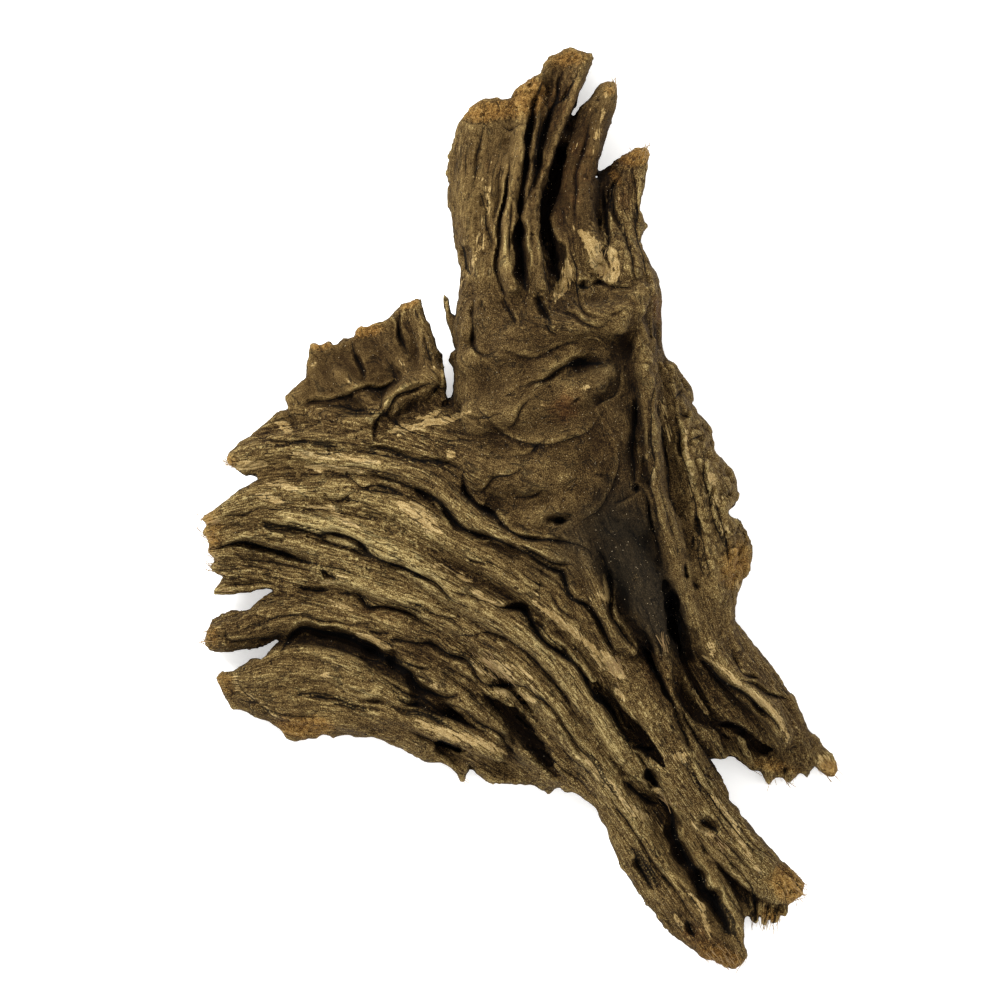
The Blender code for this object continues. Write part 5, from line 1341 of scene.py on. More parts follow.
    def lay_on_table(self) -> None:
        """Cuts the wood off flat where it lies."""
        self.values = np.maximum(self.values, -self.lattice.axis(2)[None, None, :])

    def refine(self) -> None:
        """Moves the field to the lattice that is twice as fine."""
        self.values = doubled(self.values)
        self.lattice = self.lattice.finer()
        self.edge = self._ragged_edge()

    def tops(self) -> tuple[Array, Array]:
        """Looks down on the wood.

        Returns:
            The height of its top at each plan point, or the lattice's floor where there is
            none, and its thickness.
        """
        solid = self.values < 0
        last = solid.shape[2] - 1 - np.argmax(solid[:, :, ::-1], axis=2)
        heights = np.where(solid.any(axis=2), self.lattice.axis(2)[last], self.lattice.low[2])
        return heights.astype(np.float32), solid.sum(axis=2) * self.lattice.step

    @staticmethod
    def _joined(ours: Array, theirs: Array, blend: float) -> Array:
        """The smaller of two distances, rounded where they are nearly equal."""
        near = np.maximum(blend - np.abs(ours - theirs), 0) / blend
        return np.minimum(ours, theirs) - near * near * (blend / 4)


def humped(noise: Array, cap: float, middle: float) -> Array:
    """Turns a smooth random field into humps with sharp valleys between them."""
    return np.minimum(np.abs(noise), cap) - middle


@dataclass
class Carver:
    """Works fibre relief, creases, checks and crumbling ends into the wood along its grain."""

    wood: WoodField
    grain: GrainField
    seed: int = 5
    # Each size of fibre relief: millimetres along and across a ridge, its height, and how much
    # it needs fibrous wood.
    fibres: tuple[tuple[float, float, float, float], ...] = (
        (58.0, 9.0, 0.50, 0.5), (30.0, 4.2, 0.20, 0.8), (18.0, 2.2, 0.12, 0.85))
    # Torn sheets of wood, one over another: millimetres along and across, the height of a step,
    # and steps to a lump.
    sheets: tuple[float, float, float, float] = (44.0, 11.0, 0.8, 1.5)
    # The waves of the ridges, and where fibres come and go: millimetres along, across and in height.
    warp: tuple[float, float, float] = (30.0, 16.0, 2.2)
    patches: tuple[float, float, float] = (40.0, 13.0, 18.0)
    # Sizes and heights of smooth swells, of knobs and of crumbs.
    swells: tuple[tuple[float, float], ...] = ((22.0, 0.7), (9.0, 0.3))
    knobs: tuple[tuple[float, float], ...] = ((8.5, 1.3), (4.2, 0.6))
    crumbs: tuple[tuple[float, float], ...] = ((3.4, 0.75), (1.9, 0.6))
    # The finest relief, worked into the points of the skin.
    thread: tuple[float, float, float] = (12.0, 1.25, 0.12)
    pit_size: float = 2.4
    pit_depth: float = 0.25
    # Relief is worked into the points this near to the skin.
    band: float = 3.4
    # How many random cracks there are, and the least and most of each of their sizes.
    checks: int = 150
    check_depth: tuple[float, float] = (0.7, 2.0)
    check_width: tuple[float, float] = (0.3, 0.5)
    check_length: tuple[float, float] = (8.0, 34.0)
    # Wood left under the deepest crack.
    least_floor: float = 2.4
    # How deep the listed cracks are cut, as a share of their depth in the table.
    crease_share: float = 0.9
    # How far a step beside a crack reaches, and the waves and sway of every crack.
    step_reach: float = 3.5
    wander: tuple[float, float] = (13.0, 0.45)
    seam_reach: float = 1.2
    lip_reach: float = 0.9
    noises: dict[str, BandNoise] = field(default_factory=dict)
    plan: Array | None = None
    # For each plan point: "seam" is millimetres to the nearest crack, more than zero on its left,
    # "might" how black the crack's painted shade is there, and "lip" how far the point is part of
    # the crack's upper lip, given painted highlight, or of the foot below it, given painted shade,
    # which is less than zero.
    marks: dict[str, Array] = field(default_factory=dict)

    def __post_init__(self) -> None:
        """Makes the random fields."""
        names = ("fibre", "warp", "lump", "crumb", "fine", "sheet")
        self.noises = {name: BandNoise(self.seed + index) for index, name in enumerate(names)}

    def relief(self) -> None:
        """Raises fibre ridges, lumps and crumbs all over the skin."""
        values, lattice, maps = self.wood.values, self.wood.lattice, self.grain.maps
        place = np.flatnonzero(np.abs(values.ravel()) < self.band)
        columns, layer = place // values.shape[2], place % values.shape[2]
        x = lattice.axis(0)[columns // values.shape[1]]
        y = lattice.axis(1)[columns % values.shape[1]]
        z = lattice.axis(2)[layer]
        along, across, middle, fibre = (
            maps[name].ravel()[columns] for name in ("along", "across", "middle", "fibre"))
        crumb, smooth, knobbly = (
            tinted(tint, lattice).ravel()[columns] for tint in (Tint.CRUMB, Tint.SMOOTH, Tint.KNOBBLY))
        fibre = fibre * (1 - smooth) * (1 - 0.7 * knobbly)
        inward = 0.25 + 0.75 * ramped(-self.wood.edge.ravel()[columns], 0.0, 3.0)
        lumps, crumbs = np.zeros((2, len(x)), np.float32)
        for size, height in self.swells:
            lumps += height * (1 - fibre) * self.noises["lump"].at(x / size, y / size, z / size)
        for raised, name, rows, share, shift, shape in (
                (lumps, "lump", self.knobs, knobbly, 3.3, (1.5, 0.8)),
                (crumbs, "crumb", self.crumbs, crumb, 0.0, (1.6, 0.9))):
            part = np.flatnonzero(share > 0.05)
            for size, height in rows:
                found = self.noises[name].at(x[part] / size + shift, y[part] / size, z[part] / size)
                raised[part] += height * share[part] * humped(found, *shape)
        values.ravel()[place] -= inward * (
            self._ridges(along, across, z - middle, fibre) + lumps + crumbs)

    def _ridges(self, along: Array, across: Array, rise: Array, fibre: Array) -> Array:
        """Makes the ridges and torn sheets that run along the grain.

        Args:
            along: Places along the grain.
            across: Places across the grain.
            rise: Heights above the middle of the grain.
            fibre: How fibrous the wood is, from 0 to 1.

        Returns:
            How far they stand out, in millimetres.
        """
        long, wide, far = self.warp
        warp = self.noises["warp"]
        bend = warp.at(along / long, across / wide, rise / wide) * far
        across, rise = across + bend, rise + 0.6 * bend
        length, width, height = self.patches
        patchy = ramped(warp.at(along / length + 5.1, across / width, rise / height), -1.0, 1.0)
        raised = np.zeros(len(along), np.float32)
        for index, (length, width, height, need) in enumerate(self.fibres):
            shift = 7.3 * index
            found = self.noises["fibre"].at(
                along / length + shift, across / width + shift, rise / (1.2 * width))
            crest = found * 0.7 if index == 0 else humped(found, 1.7, 0.75)
            raised += height * (1 - need * (1 - fibre * (0.4 + 0.9 * patchy))) * crest
        length, width, step, steps = self.sheets
        level = self.noises["sheet"].at(along / length, across / width, rise / width) * steps
        part = level - np.floor(level)
        edge = ramped(part, 0.78, 0.98)
        return raised + step * fibre * (edge - 0.8 * part)

    def fine_height(self, points: Array, places: Mapping[str, Array]) -> Array:
        """Works out the finest relief.

        Args:
            points: One row of x, y and z for each point.
            places: The grain maps' values at the points.

        Returns:
            How far each point moves out, in millimetres.
        """
        length, width, height = self.thread
        rise = points[:, 2] - places["middle"]
        found = self.noises["fine"].at(places["along"] / length, places["across"] / width, rise / width)
        raised = height * (0.35 + 0.65 * places["fibre"]) * humped(found, 1.6, 0.75)
        found = self.noises["lump"].at(*(points.T / self.pit_size))
        return raised.astype(np.float32) - self.pit_depth * np.maximum(found - 0.9, 0)

    def creases(self) -> None:
        """Cuts the listed creases and many small checks into the top of the wood."""
        lattice = self.wood.lattice
        x, y = np.meshgrid(lattice.axis(0), lattice.axis(1), indexing="ij")
        reach, far = self.wander
        self.plan = np.stack([
            place + far * self.noises["warp"].at(x / reach, y / reach, np.full(x.shape, shift))
            for place, shift in ((x, 0.5), (y, 4.5))])
        levels = {"cut": 0.0, "step": 0.0, "might": 0.0, "lip": 0.0, "seam": 9.0}
        self.marks = {name: np.full(x.shape, level, np.float32) for name, level in levels.items()}
        for crease in CREASES:
            path = smooth_path(crease.path, PATH_STEP)
            self._score(path, crease.width, self.crease_share * crease.depth, crease.step)
        for path, width, depth in self._checks():
            self._score(path, width, depth, 0.0)
        cut, step = self.marks.pop("cut"), self.marks.pop("step")
        tops, thickness = self.wood.tops()
        most = np.maximum(0.5 * (thickness - self.least_floor), 0)
        cut = np.minimum(cut * (0.3 + 0.7 * ramped(-self.wood.edge, 0.0, 7.0)), most)
        touched = np.nonzero((cut > 0.1) | (np.abs(step) > 0.05))
        below = tops[touched][:, None] - lattice.axis(2)[None, :]
        depth = cut[touched][:, None]
        near = 1 - np.clip((below - depth - 1.5) / 2.5, 0, 1)
        self.wood.values[touched] += near * (depth - step[touched][:, None])

    def _checks(self) -> list[tuple[Array, float, float]]:
        """Draws random cracks that follow the grain.

        Returns:
            The plan path, half width and depth of each.
        """
        draws = np.random.default_rng(self.seed + 40)
        lattice, maps = self.wood.lattice, self.grain.maps
        x, y = lattice.axis(0), lattice.axis(1)
        fibre = maps["fibre"] * (1 - tinted(Tint.SMOOTH, lattice))
        low, high = self.check_width
        shallow, deep = self.check_depth
        made = []
        while len(made) < self.checks:
            place = np.array([draws.uniform(x[0], x[-1]), draws.uniform(y[0], y[-1])])
            length, luck = draws.uniform(*self.check_length), draws.uniform()
            share = draws.uniform()
            spot = self._nearest(place)
            if self.wood.edge[spot] > -1.5 or luck > 0.08 + 0.92 * fibre[spot]:
                continue
            path = [place]
            for _ in range(int(length / PATH_STEP)):
                spot = self._nearest(path[-1])
                path.append(path[-1] + np.array([maps["east"][spot], maps["north"][spot]]) * PATH_STEP)
            made.append((
                np.array(path), low + share * (high - low), shallow + share ** 2 * (deep - shallow)))
        return made

    def _nearest(self, place: Array) -> tuple[int, int]:
        """Finds the lattice point nearest to a plan place.

        Args:
            place: The place's x and y.

        Returns:
            The point's row and column.
        """
        lattice, shape = self.wood.lattice, self.wood.edge.shape
        found = [int(round((place[which] - lattice.low[which]) / lattice.step)) for which in (0, 1)]
        return min(max(found[0], 0), shape[0] - 1), min(max(found[1], 0), shape[1] - 1)

    def _score(self, path: Array, width: float, depth: float, rise: float) -> None:
        """Marks one crack in the plan maps.

        Args:
            path: The plan points that the crack runs through.
            width: Half its width.
            depth: Its depth at the middle of its length.
            rise: How far the wood on its left stands up, which dies away beside it.
        """
        reach = 2.0 * width + 2.0 + (3.0 * self.step_reach if rise else 0.0)
        window = self.wood.lattice.window(path.min(axis=0) - reach, path.max(axis=0) + reach)
        if any(part.start >= part.stop for part in window):
            return
        cut, step, might, lip, seam = (
            self.marks[name][window] for name in ("cut", "step", "might", "lip", "seam"))
        x, y = self.plan[0][window], self.plan[1][window]
        nearest, taper, side = beside_path(x, y, path)
        wild = 1 + 0.25 * self.noises["lump"].at(x / 9, y / 9, np.zeros_like(x))
        wall = np.clip(1 - nearest / (width * (0.4 + 0.6 * taper) * wild + 0.5), 0, 1) ** 0.7
        np.maximum(cut, depth * (0.2 + 0.8 * taper) * np.clip(wild, 0.4, 1.3) * wall, out=cut)
        edge = np.clip(nearest - 0.3 * max(width - 0.8, 0.0), 0, None)
        closer = edge < np.abs(seam)
        seam[closer] = np.where(side < 0, -edge, edge)[closer]
        fade = np.clip((self.seam_reach - edge) / 0.5, 0, 1)
        might[closer] = ((0.3 + 0.7 * taper) * min(0.15 + depth / 4, 1.0) * fade)[closer]
        if rise:
            step += 0.5 * rise * (np.exp(-nearest / self.step_reach) * taper) * np.clip(side / 0.5, -1, 1)
            # The lip takes painted highlight on the raised side and painted shade at the foot.
            lean = np.sign(rise) * np.clip(side / 0.4, -1, 1) * min(abs(rise) / 1.6, 1.0)
            lip += lean * taper * np.exp(-nearest / (self.lip_reach + 0.5 * width))


@dataclass
class Shell:
    """The closed skin of one limb: points, triangles, and which of these are hidden cuts."""

    node: str
    points: Array
    triangles: Array
    hidden: Array


class Skin:
    """The surface of the whole wood, parted into one closed shell for each limb."""

    SMALLEST_BODY = 4000
    # Points lower than this lie on the table and stay flat.
    LEAST_HEIGHT = 0.6

    def __init__(self, wood: WoodField) -> None:
        """Starts with no points and no triangles.

        Args:
            wood: The wood whose surface is wanted.
        """
        self.wood = wood
        self.nodes = ["knot"] + [limb.node for limb in LIMBS]
        self.points = np.empty((0, 3), np.float32)
        self.triangles = np.empty((0, 3), np.int32)
        self.owner = np.empty(0, np.int32)
        self.hidden = np.empty(0, bool)

    def _territory(self) -> Array:
        """Finds the limb that each plan point belongs to.

        Returns:
            Its place in the list of nodes.
        """
        x, y = self.wood.lattice.plan()
        owner = np.zeros(self.wood.edge.shape, np.int32)
        for index, limb in reversed(list(enumerate(LIMBS))):
            owner[outline_distance(x, y, limb.outline) < 0] = index + 1
        return owner

    def build(self) -> None:
        """Makes the points and triangles of the skin and of the cuts at the forks."""
        values, lattice = self.wood.values, self.wood.lattice
        for axis in range(3):
            border = np.moveaxis(values, axis, 0)
            border[0], border[-1] = WoodField.OPEN, WoodField.OPEN
        inside = values < 0
        territory = self._territory()
        strides = np.array([values.shape[1] * values.shape[2], values.shape[2], 1])
        outer, cuts = [], []
        for axis in range(3):
            ahead = np.zeros(3, int)
            ahead[axis] = 1
            near = tuple(slice(0, size - step) for size, step in zip(values.shape, ahead))
            far = tuple(slice(step, None) for step in ahead)
            # How far the four cells round an edge lie from its first point, anticlockwise from ahead.
            second, third = strides[(axis + 1) % 3], strides[(axis + 2) % 3]
            ring = np.array([-second - third, -third, 0, -second])
            place = np.stack(np.nonzero(inside[near] != inside[far]))
            first, second = values[tuple(place)], values[tuple(place + ahead[:, None])]
            spot = place.astype(np.float32)
            spot[axis] += first / (first - second)
            solid = np.where(first < 0, place, place + ahead[:, None])
            outer.append((place.T @ strides, ring, spot, first < 0, territory[solid[0], solid[1]]))
            if axis < 2:
                change = (territory[near[:2]] != territory[far[:2]])[:, :, None]
                place = np.stack(np.nonzero(inside[near] & inside[far] & change))
                spot = place.astype(np.float32)
                spot[axis] += 0.5
                sides = territory[place[0], place[1]], territory[tuple(place[:2] + ahead[:2, None])]
                cuts.append((place.T @ strides, ring, spot, *sides))
        self._connect(outer, cuts, int(np.prod(values.shape)))
        self.points = self.points * lattice.step + np.array(lattice.low, np.float32)
        self._drop_crumbs()

    def _connect(self, outer: list[tuple], cuts: list[tuple], size: int) -> None:
        """Places one point in each cell that the skin or a cut passes through, and joins them.

        Args:
            outer: For each axis the crossings of the skin: edge, ring, place, way out and owner.
            cuts: For each level axis those of a cut: edge, ring, place and owners on its sides.
            size: How many lattice points there are.
        """
        used = np.zeros(size, bool)
        for rows in (*outer, *cuts):
            for offset in rows[1]:
                used[rows[0] + offset] = True
        number = np.cumsum(used, dtype=np.int32) - 1
        count = int(number[-1]) + 1
        self.points = np.zeros((count, 3), np.float32)
        on_skin = np.zeros(count, bool)
        for group, for_skin in ((outer, True), (cuts, False)):
            total = np.zeros((3, count))
            hits = np.zeros(count)
            for edge, ring, spot, *_ in group:
                for offset in ring:
                    cell = number[edge + offset]
                    hits += np.bincount(cell, minlength=count)
                    for which in range(3):
                        total[which] += np.bincount(cell, weights=spot[which], minlength=count)
            fresh = (hits > 0) & ~on_skin
            self.points[fresh] = (total[:, fresh] / hits[fresh]).T
            on_skin |= fresh if for_skin else False
        quads, owners, hidden = [], [], []
        for edge, ring, _, outward, owner in outer:
            quad = number[edge[:, None] + ring]
            quads.append(np.where(outward[:, None], quad, quad[:, ::-1]))
            owners.append(owner)
            hidden.append(np.zeros(len(quad), bool))
        for edge, ring, _, first_owner, second_owner in cuts:
            quad = number[edge[:, None] + ring]
            quads += [quad, quad[:, ::-1]]
            owners += [first_owner, second_owner]
            hidden += [np.ones(len(quad), bool)] * 2
        quads = np.vstack(quads)
        # Each four-sided face is split along its shorter diagonal.
        corners = self.points[quads]
        one = ((corners[:, 0] - corners[:, 2]) ** 2).sum(axis=1)
        other = ((corners[:, 1] - corners[:, 3]) ** 2).sum(axis=1)
        turned = np.where((one <= other)[:, None], quads, np.roll(quads, -1, axis=1))
        self.triangles = np.vstack([turned[:, [0, 1, 2]], turned[:, [0, 2, 3]]])
        self.owner = np.concatenate(owners * 2)
        self.hidden = np.concatenate(hidden * 2)

    def _drop_crumbs(self) -> None:
        """Leaves out loose crumbs and closed bubbles, which the relief can part from the wood."""
        skin = self.triangles[~self.hidden]
        body = np.arange(len(self.points))
        pairs = np.vstack([skin[:, :2], skin[:, 1:]])
        while True:
            first, second = body[pairs[:, 0]], body[pairs[:, 1]]
            lower = np.minimum(first, second)
            if (first == second).all():
                break
            np.minimum.at(body, first, lower)
            np.minimum.at(body, second, lower)
            while (body[body] != body).any():
                body = body[body]
        counts = np.bincount(body, minlength=len(body))
        kept = counts[body] >= self.SMALLEST_BODY
        keep = kept[self.triangles[:, 0]] | self.hidden
        self.triangles, self.owner, self.hidden = self.triangles[keep], self.owner[keep], self.hidden[keep]

    def roughen(self, carver: Carver) -> None:
        """Works in the finest relief, which the field is too coarse for.

        Args:
            carver: What knows the relief.
        """
        skin = self.triangles[~self.hidden]
        normals = unit(point_normals(self.points, skin))
        chosen = np.unique(skin)
        points = self.points[chosen]
        moved = carver.fine_height(points, {
            name: read_plan(values, self.wood.lattice, points)
            for name, values in carver.grain.maps.items()})
        above_table = points[:, 2] > self.LEAST_HEIGHT
        self.points[chosen] += normals[chosen] * (moved * above_table)[:, None]

    def shells(self) -> list[Shell]:
        """Parts the skin.

        Returns:
            One closed shell for each limb, with shared points along the forks.
        """
        made = []
        for index, node in enumerate(self.nodes):
            mine = self.owner == index
            used, triangles = np.unique(self.triangles[mine], return_inverse=True)
            made.append(Shell(node, self.points[used], triangles.reshape(-1, 3), self.hidden[mine]))
        return made


def mesh_of(name: str, points: Array, triangles: Array) -> bpy.types.Mesh:
    """Makes a mesh.

    Args:
        name: What it is called.
        points: One row for each point.
        triangles: One row of three point numbers for each face.

    Returns:
        The mesh.
    """
    mesh = bpy.data.meshes.new(name)
    mesh.vertices.add(len(points))
    mesh.vertices.foreach_set("co", points.astype(np.float32).ravel())
    mesh.loops.add(3 * len(triangles))
    mesh.loops.foreach_set("vertex_index", triangles.astype(np.int32).ravel())
    mesh.polygons.add(len(triangles))
    mesh.polygons.foreach_set("loop_start", np.arange(0, 3 * len(triangles), 3, dtype=np.int32))
    mesh.update(calc_edges=True)
    return mesh


def placed(name: str, data: bpy.types.ID) -> bpy.types.Object:
    """Puts some data into the scene.

    Args:
        name: What the object is called.
        data: The mesh, lamp or camera that it holds.

    Returns:
        The object.
    """
    item = bpy.data.objects.new(name, data)
    bpy.context.scene.collection.objects.link(item)
    return item


@dataclass(frozen=True)
class Thinning:
    """Takes faces out where they show least: under the wood and on its smooth places."""

    most_faces: int = 186_000
    share: float = 0.86
    # What a millimetre of edge on the top counts for, against the square of a change of shape.
    top_care: float = 0.02
    lock: float = 1000.0

    def apply(self, shell: Shell) -> None:
        """Thins a shell and leaves the points along its forks where they are.

        Args:
            shell: The shell, changed in place.
        """
        count = len(shell.triangles)
        mesh = mesh_of("thinning", shell.points, shell.triangles)
        mesh.polygons.foreach_set("material_index", shell.hidden.astype(np.int32))
        item = placed("thinning", mesh)
        on_skin, on_cut = np.zeros((2, len(shell.points)), bool)
        on_skin[shell.triangles[~shell.hidden]] = True
        on_cut[shell.triangles[shell.hidden]] = True
        normals = unit(point_normals(shell.points, shell.triangles))
        low = (normals[:, 2] < -0.2) | (shell.points[:, 2] < 0.5)
        group = item.vertex_groups.new(name="free")
        for chosen, weight in (
                (on_skin & on_cut, 0.0), (on_skin & ~on_cut & ~low, 1 - self.top_care / self.lock),
                ((on_skin & ~on_cut & low) | ~on_skin, 1.0)):
            group.add(np.flatnonzero(chosen).tolist(), weight, "REPLACE")
        fewer = item.modifiers.new("fewer faces", "DECIMATE")
        fewer.ratio = min(self.most_faces, int(self.share * count)) / count
        fewer.vertex_group = group.name
        fewer.vertex_group_factor = self.lock
        fewer.use_collapse_triangulate = True
        graph = bpy.context.evaluated_depsgraph_get()
        thinned = bpy.data.meshes.new_from_object(item.evaluated_get(graph))
        thinned.calc_loop_triangles()
        found = []
        for source, name, width, kind in (
                (thinned.vertices, "co", 3, np.float32), (thinned.loop_triangles, "vertices", 3, np.int32),
                (thinned.loop_triangles, "material_index", 1, np.int32)):
            found.append(np.empty(width * len(source), kind))
            source.foreach_get(name, found[-1])
        shell.points, shell.triangles = found[0].reshape(-1, 3), found[1].reshape(-1, 3)
        shell.hidden = found[2] == 1
        bpy.data.objects.remove(item)
        bpy.data.meshes.remove(mesh)
        bpy.data.meshes.remove(thinned)


def shared_normals(shells: Sequence[Shell]) -> list[Array]:
    """Works out normals that are carried over the forks as if the skin were one.

    Args:
        shells: The parted skin.

    Returns:
        The normals at the points of each shell.
    """
    total = np.vstack([point_normals(shell.points, shell.triangles[~shell.hidden]) for shell in shells])
    key = np.vstack([np.round(shell.points * 2000).astype(np.int64) for shell in shells])
    _, place = np.unique(key @ np.array([1 << 42, 1 << 21, 1]), return_inverse=True)
    joined = np.stack([np.bincount(place, weights=total[:, which]) for which in range(3)], axis=1)
    ends = np.cumsum([len(shell.points) for shell in shells])[:-1]
    return np.split(unit(joined[place]), ends)


def linear(colour: str) -> tuple[float, float, float, float]:
    """The linear colour of an sRGB hex value such as "#705b38"."""
    parts = [int(colour[start:start + 2], 16) / 255 for start in (1, 3, 5)]
    return (*(p / 12.92 if p <= 0.04045 else ((p + 0.055) / 1.055) ** 2.4 for p in parts), 1.0)


MATH = "ShaderNodeMath"
MAP_RANGE = "ShaderNodeMapRange"
SMOOTH_STEP = {"interpolation_type": "SMOOTHSTEP"}


@dataclass
class Wiring:
    """A node tree, and names for the outputs in it that are used again."""

    tree: bpy.types.NodeTree
    named: dict[str, Socket] = field(default_factory=dict)

    def add(
            self, kind: str, settings: Mapping[str, object] | None = None,
            inputs: Mapping[int | str, object] | None = None, output: int | str = 0) -> Socket:
        """Adds one node with its settings and links.

        Args:
            kind: Blender's name for the type of node.
            settings: The node's own properties and their values, or the "stops" of its colour
                ramp, each a place from 0 to 1 and a hex value.
            inputs: For an input's place or name, its value or the output that feeds it.
            output: Which output is wanted.

        Returns:
            That output.
        """
        node = self.tree.nodes.new(kind)
        for name, value in (settings or {}).items():
            if name != "stops":
                setattr(node, name, value)
                continue
            elements = node.color_ramp.elements
            while len(elements) < len(value):
                elements.new(0.5)
            for element, (place, colour) in zip(elements, value):
                element.position = place
                element.color = linear(colour)
        self.feed(node, inputs or {})
        return node.outputs[output]

    def feed(self, node: bpy.types.Node, inputs: Mapping[int | str, object]) -> None:
        """Sets a node's inputs.

        Args:
            node: The node.
            inputs: For an input's place or name, its value or the output that feeds it.
        """
        for place, value in inputs.items():
            if isinstance(value, Socket):
                self.tree.links.new(value, node.inputs[place])
            else:
                node.inputs[place].default_value = value

    def sum(self, start: float, **weights: float) -> Socket:
        """Adds up named outputs.

        Args:
            start: The number that they are added to.
            **weights: For each output's name, what it is multiplied by.

        Returns:
            The sum.
        """
        total: object = start
        for name, weight in weights.items():
            inputs = {0: self.named[name], 1: weight, 2: total}
            total = self.add(MATH, {"operation": "MULTIPLY_ADD"}, inputs)
        return total

    def scaled(self, source: Socket, start: float, **weights: float) -> Socket:
        """An output times such a sum."""
        return self.add(MATH, {"operation": "MULTIPLY"}, {0: source, 1: self.sum(start, **weights)})


@dataclass(frozen=True)
class WeatheredRootWood:
    """Root wood that was buried, washed and dried.

    Its fibres stand out in fine ridges. Its hollows are darkened nearly to black with painted
    shade, and its crests are lightened to ochre with painted highlight. It has no finish, so it
    is dull all over.
    """

    wood: Stops = (
        (0.0, "#0d0500"), (0.2, "#221505"), (0.4, "#3b2c15"), (0.58, "#534124"), (0.74, "#6b5733"),
        (0.87, "#826f43"), (1.0, "#a29060"))
    charred: Stops = ((0.0, "#060401"), (0.4, "#1d170d"), (0.75, "#31281a"), (1.0, "#52452f"))
    rusty: Stops = ((0.0, "#150701"), (0.45, "#40260f"), (0.8, "#674321"), (1.0, "#856036"))
    bleached: Stops = ((0.0, "#4a371a"), (0.45, "#856d42"), (1.0, "#baa474"))
    crumbled: Stops = ((0.0, "#1c0e04"), (0.35, "#4d3416"), (0.6, "#7a5a2c"), (1.0, "#aa8d54"))
    # Patterns along the grain: millimetres along and across it, and how much finer pattern each
    # carries. Real wood fibres are a fiftieth of the width given here, which a picture of the
    # whole piece can't show.
    grain_patterns: tuple[tuple[str, float, float, float], ...] = (
        ("bundle", 38.0, 2.6, 3.0), ("thread", 16.0, 0.9, 2.0), ("fibre", 8.0, 0.42, 1.0),
        ("tick", 5.0, 0.8, 1.0), ("flake", 9.0, 1.3, 2.0))
    # Patterns in space: millimetres and finer pattern. Fine sand and dust lie in grains of a
    # tenth of the grit given here, drawn coarser so that they show.
    space_patterns: tuple[tuple[str, float, float], ...] = (
        ("stain", 19.0, 3.0), ("blotch", 4.5, 3.0), ("grit", 0.32, 1.0))
    # Where a tick or a flake starts and is whole.
    tick_edge: tuple[float, float] = (0.62, 0.70)
    flake_edge: tuple[float, float] = (0.60, 0.68)
    # Hairline cracks: millimetres along and across the grain, width, and the blotches they keep to.
    hairlines: tuple[tuple[float, float, float, float, float], ...] = (
        (46.0, 6.0, 0.016, 0.44, 0.60), (22.0, 2.0, 0.030, 0.46, 0.64))
    # Half the width of the blackest cracks, where the ragged pattern is at its middle.
    seam_half_width: float = 0.42
    relief: float = 0.0008
    roughness: float = 0.88
    specular_level: float = 0.08

    def build(self, name: str) -> bpy.types.Material:
        """Makes the material.

        Args:
            name: What the material is called.

        Returns:
            A material that reads the attributes which Dressing writes.
        """
        material = bpy.data.materials.new(name)
        material.use_nodes = True
        wires = Wiring(material.node_tree)
        named = wires.named
        for own in (
                "hollow", "crest", "sun", "fibrous", "calm", "seam", "might", "rust", "pale", "char",
                "crumb"):
            named[own] = wires.add("ShaderNodeAttribute", {"attribute_name": own}, output="Fac")
        grain = wires.add("ShaderNodeAttribute", {"attribute_name": "grain"}, output="Vector")
        place = wires.add("ShaderNodeTexCoord", output="Object")
        for pattern, length, width, detail in self.grain_patterns:
            named[pattern] = self._pattern(wires, grain, (length, width), detail)
        for pattern, size, detail in self.space_patterns:
            named[pattern] = self._pattern(wires, place, (size * MM, size * MM), detail)
        for pattern, (low, high) in (("tick", self.tick_edge), ("flake", self.flake_edge)):
            named[pattern] = wires.add(MAP_RANGE, SMOOTH_STEP, {0: named[pattern], 1: low, 2: high})
        named["line"] = self._lines(wires, grain)
        named["seams"] = self._seams(wires)
        fibres = wires.sum(-1.06, bundle=0.34, thread=0.46, fibre=1.3, tick=-0.20, flake=0.10)
        named["threads"] = wires.scaled(fibres, 0.25, fibrous=0.75)
        named["texture"] = wires.scaled(wires.sum(-0.80, threads=1.0, grit=1.6), 1.0, calm=-0.60)
        # Painted shade (hollow) darkens the tone, painted highlight (crest) lightens it, and the patches'
        # painted light and shade raise or lower it.
        named["tone"] = wires.sum(
            0.195, texture=1.0, stain=0.32, blotch=0.20, hollow=-0.20, crest=0.24, sun=0.22)
        # Painted shade: the hairlines and the cut cracks darken the colour.
        shade = wires.scaled(wires.sum(0.42, line=0.58), 0.13, seams=0.87)
        shaded = wires.add(
            "ShaderNodeMix", {"data_type": "RGBA", "blend_type": "MULTIPLY"},
            {0: 1.0, 6: self._colour(wires), 7: shade}, 2)
        fibres = wires.sum(0.0, bundle=0.5, thread=0.5, fibre=0.4, tick=-0.25)
        named["ridges"] = wires.scaled(fibres, 0.25, fibrous=0.75)
        height = wires.scaled(wires.sum(0.0, ridges=1.0, grit=0.6, line=0.6), 1.0, calm=-0.6)
        bump = wires.add(
            "ShaderNodeBump", inputs={"Strength": 1.0, "Distance": self.relief, "Height": height})
        wires.feed(wires.tree.nodes["Principled BSDF"], {
            "Base Color": shaded, "Normal": bump, "Roughness": self.roughness,
            "Specular IOR Level": self.specular_level})
        return material

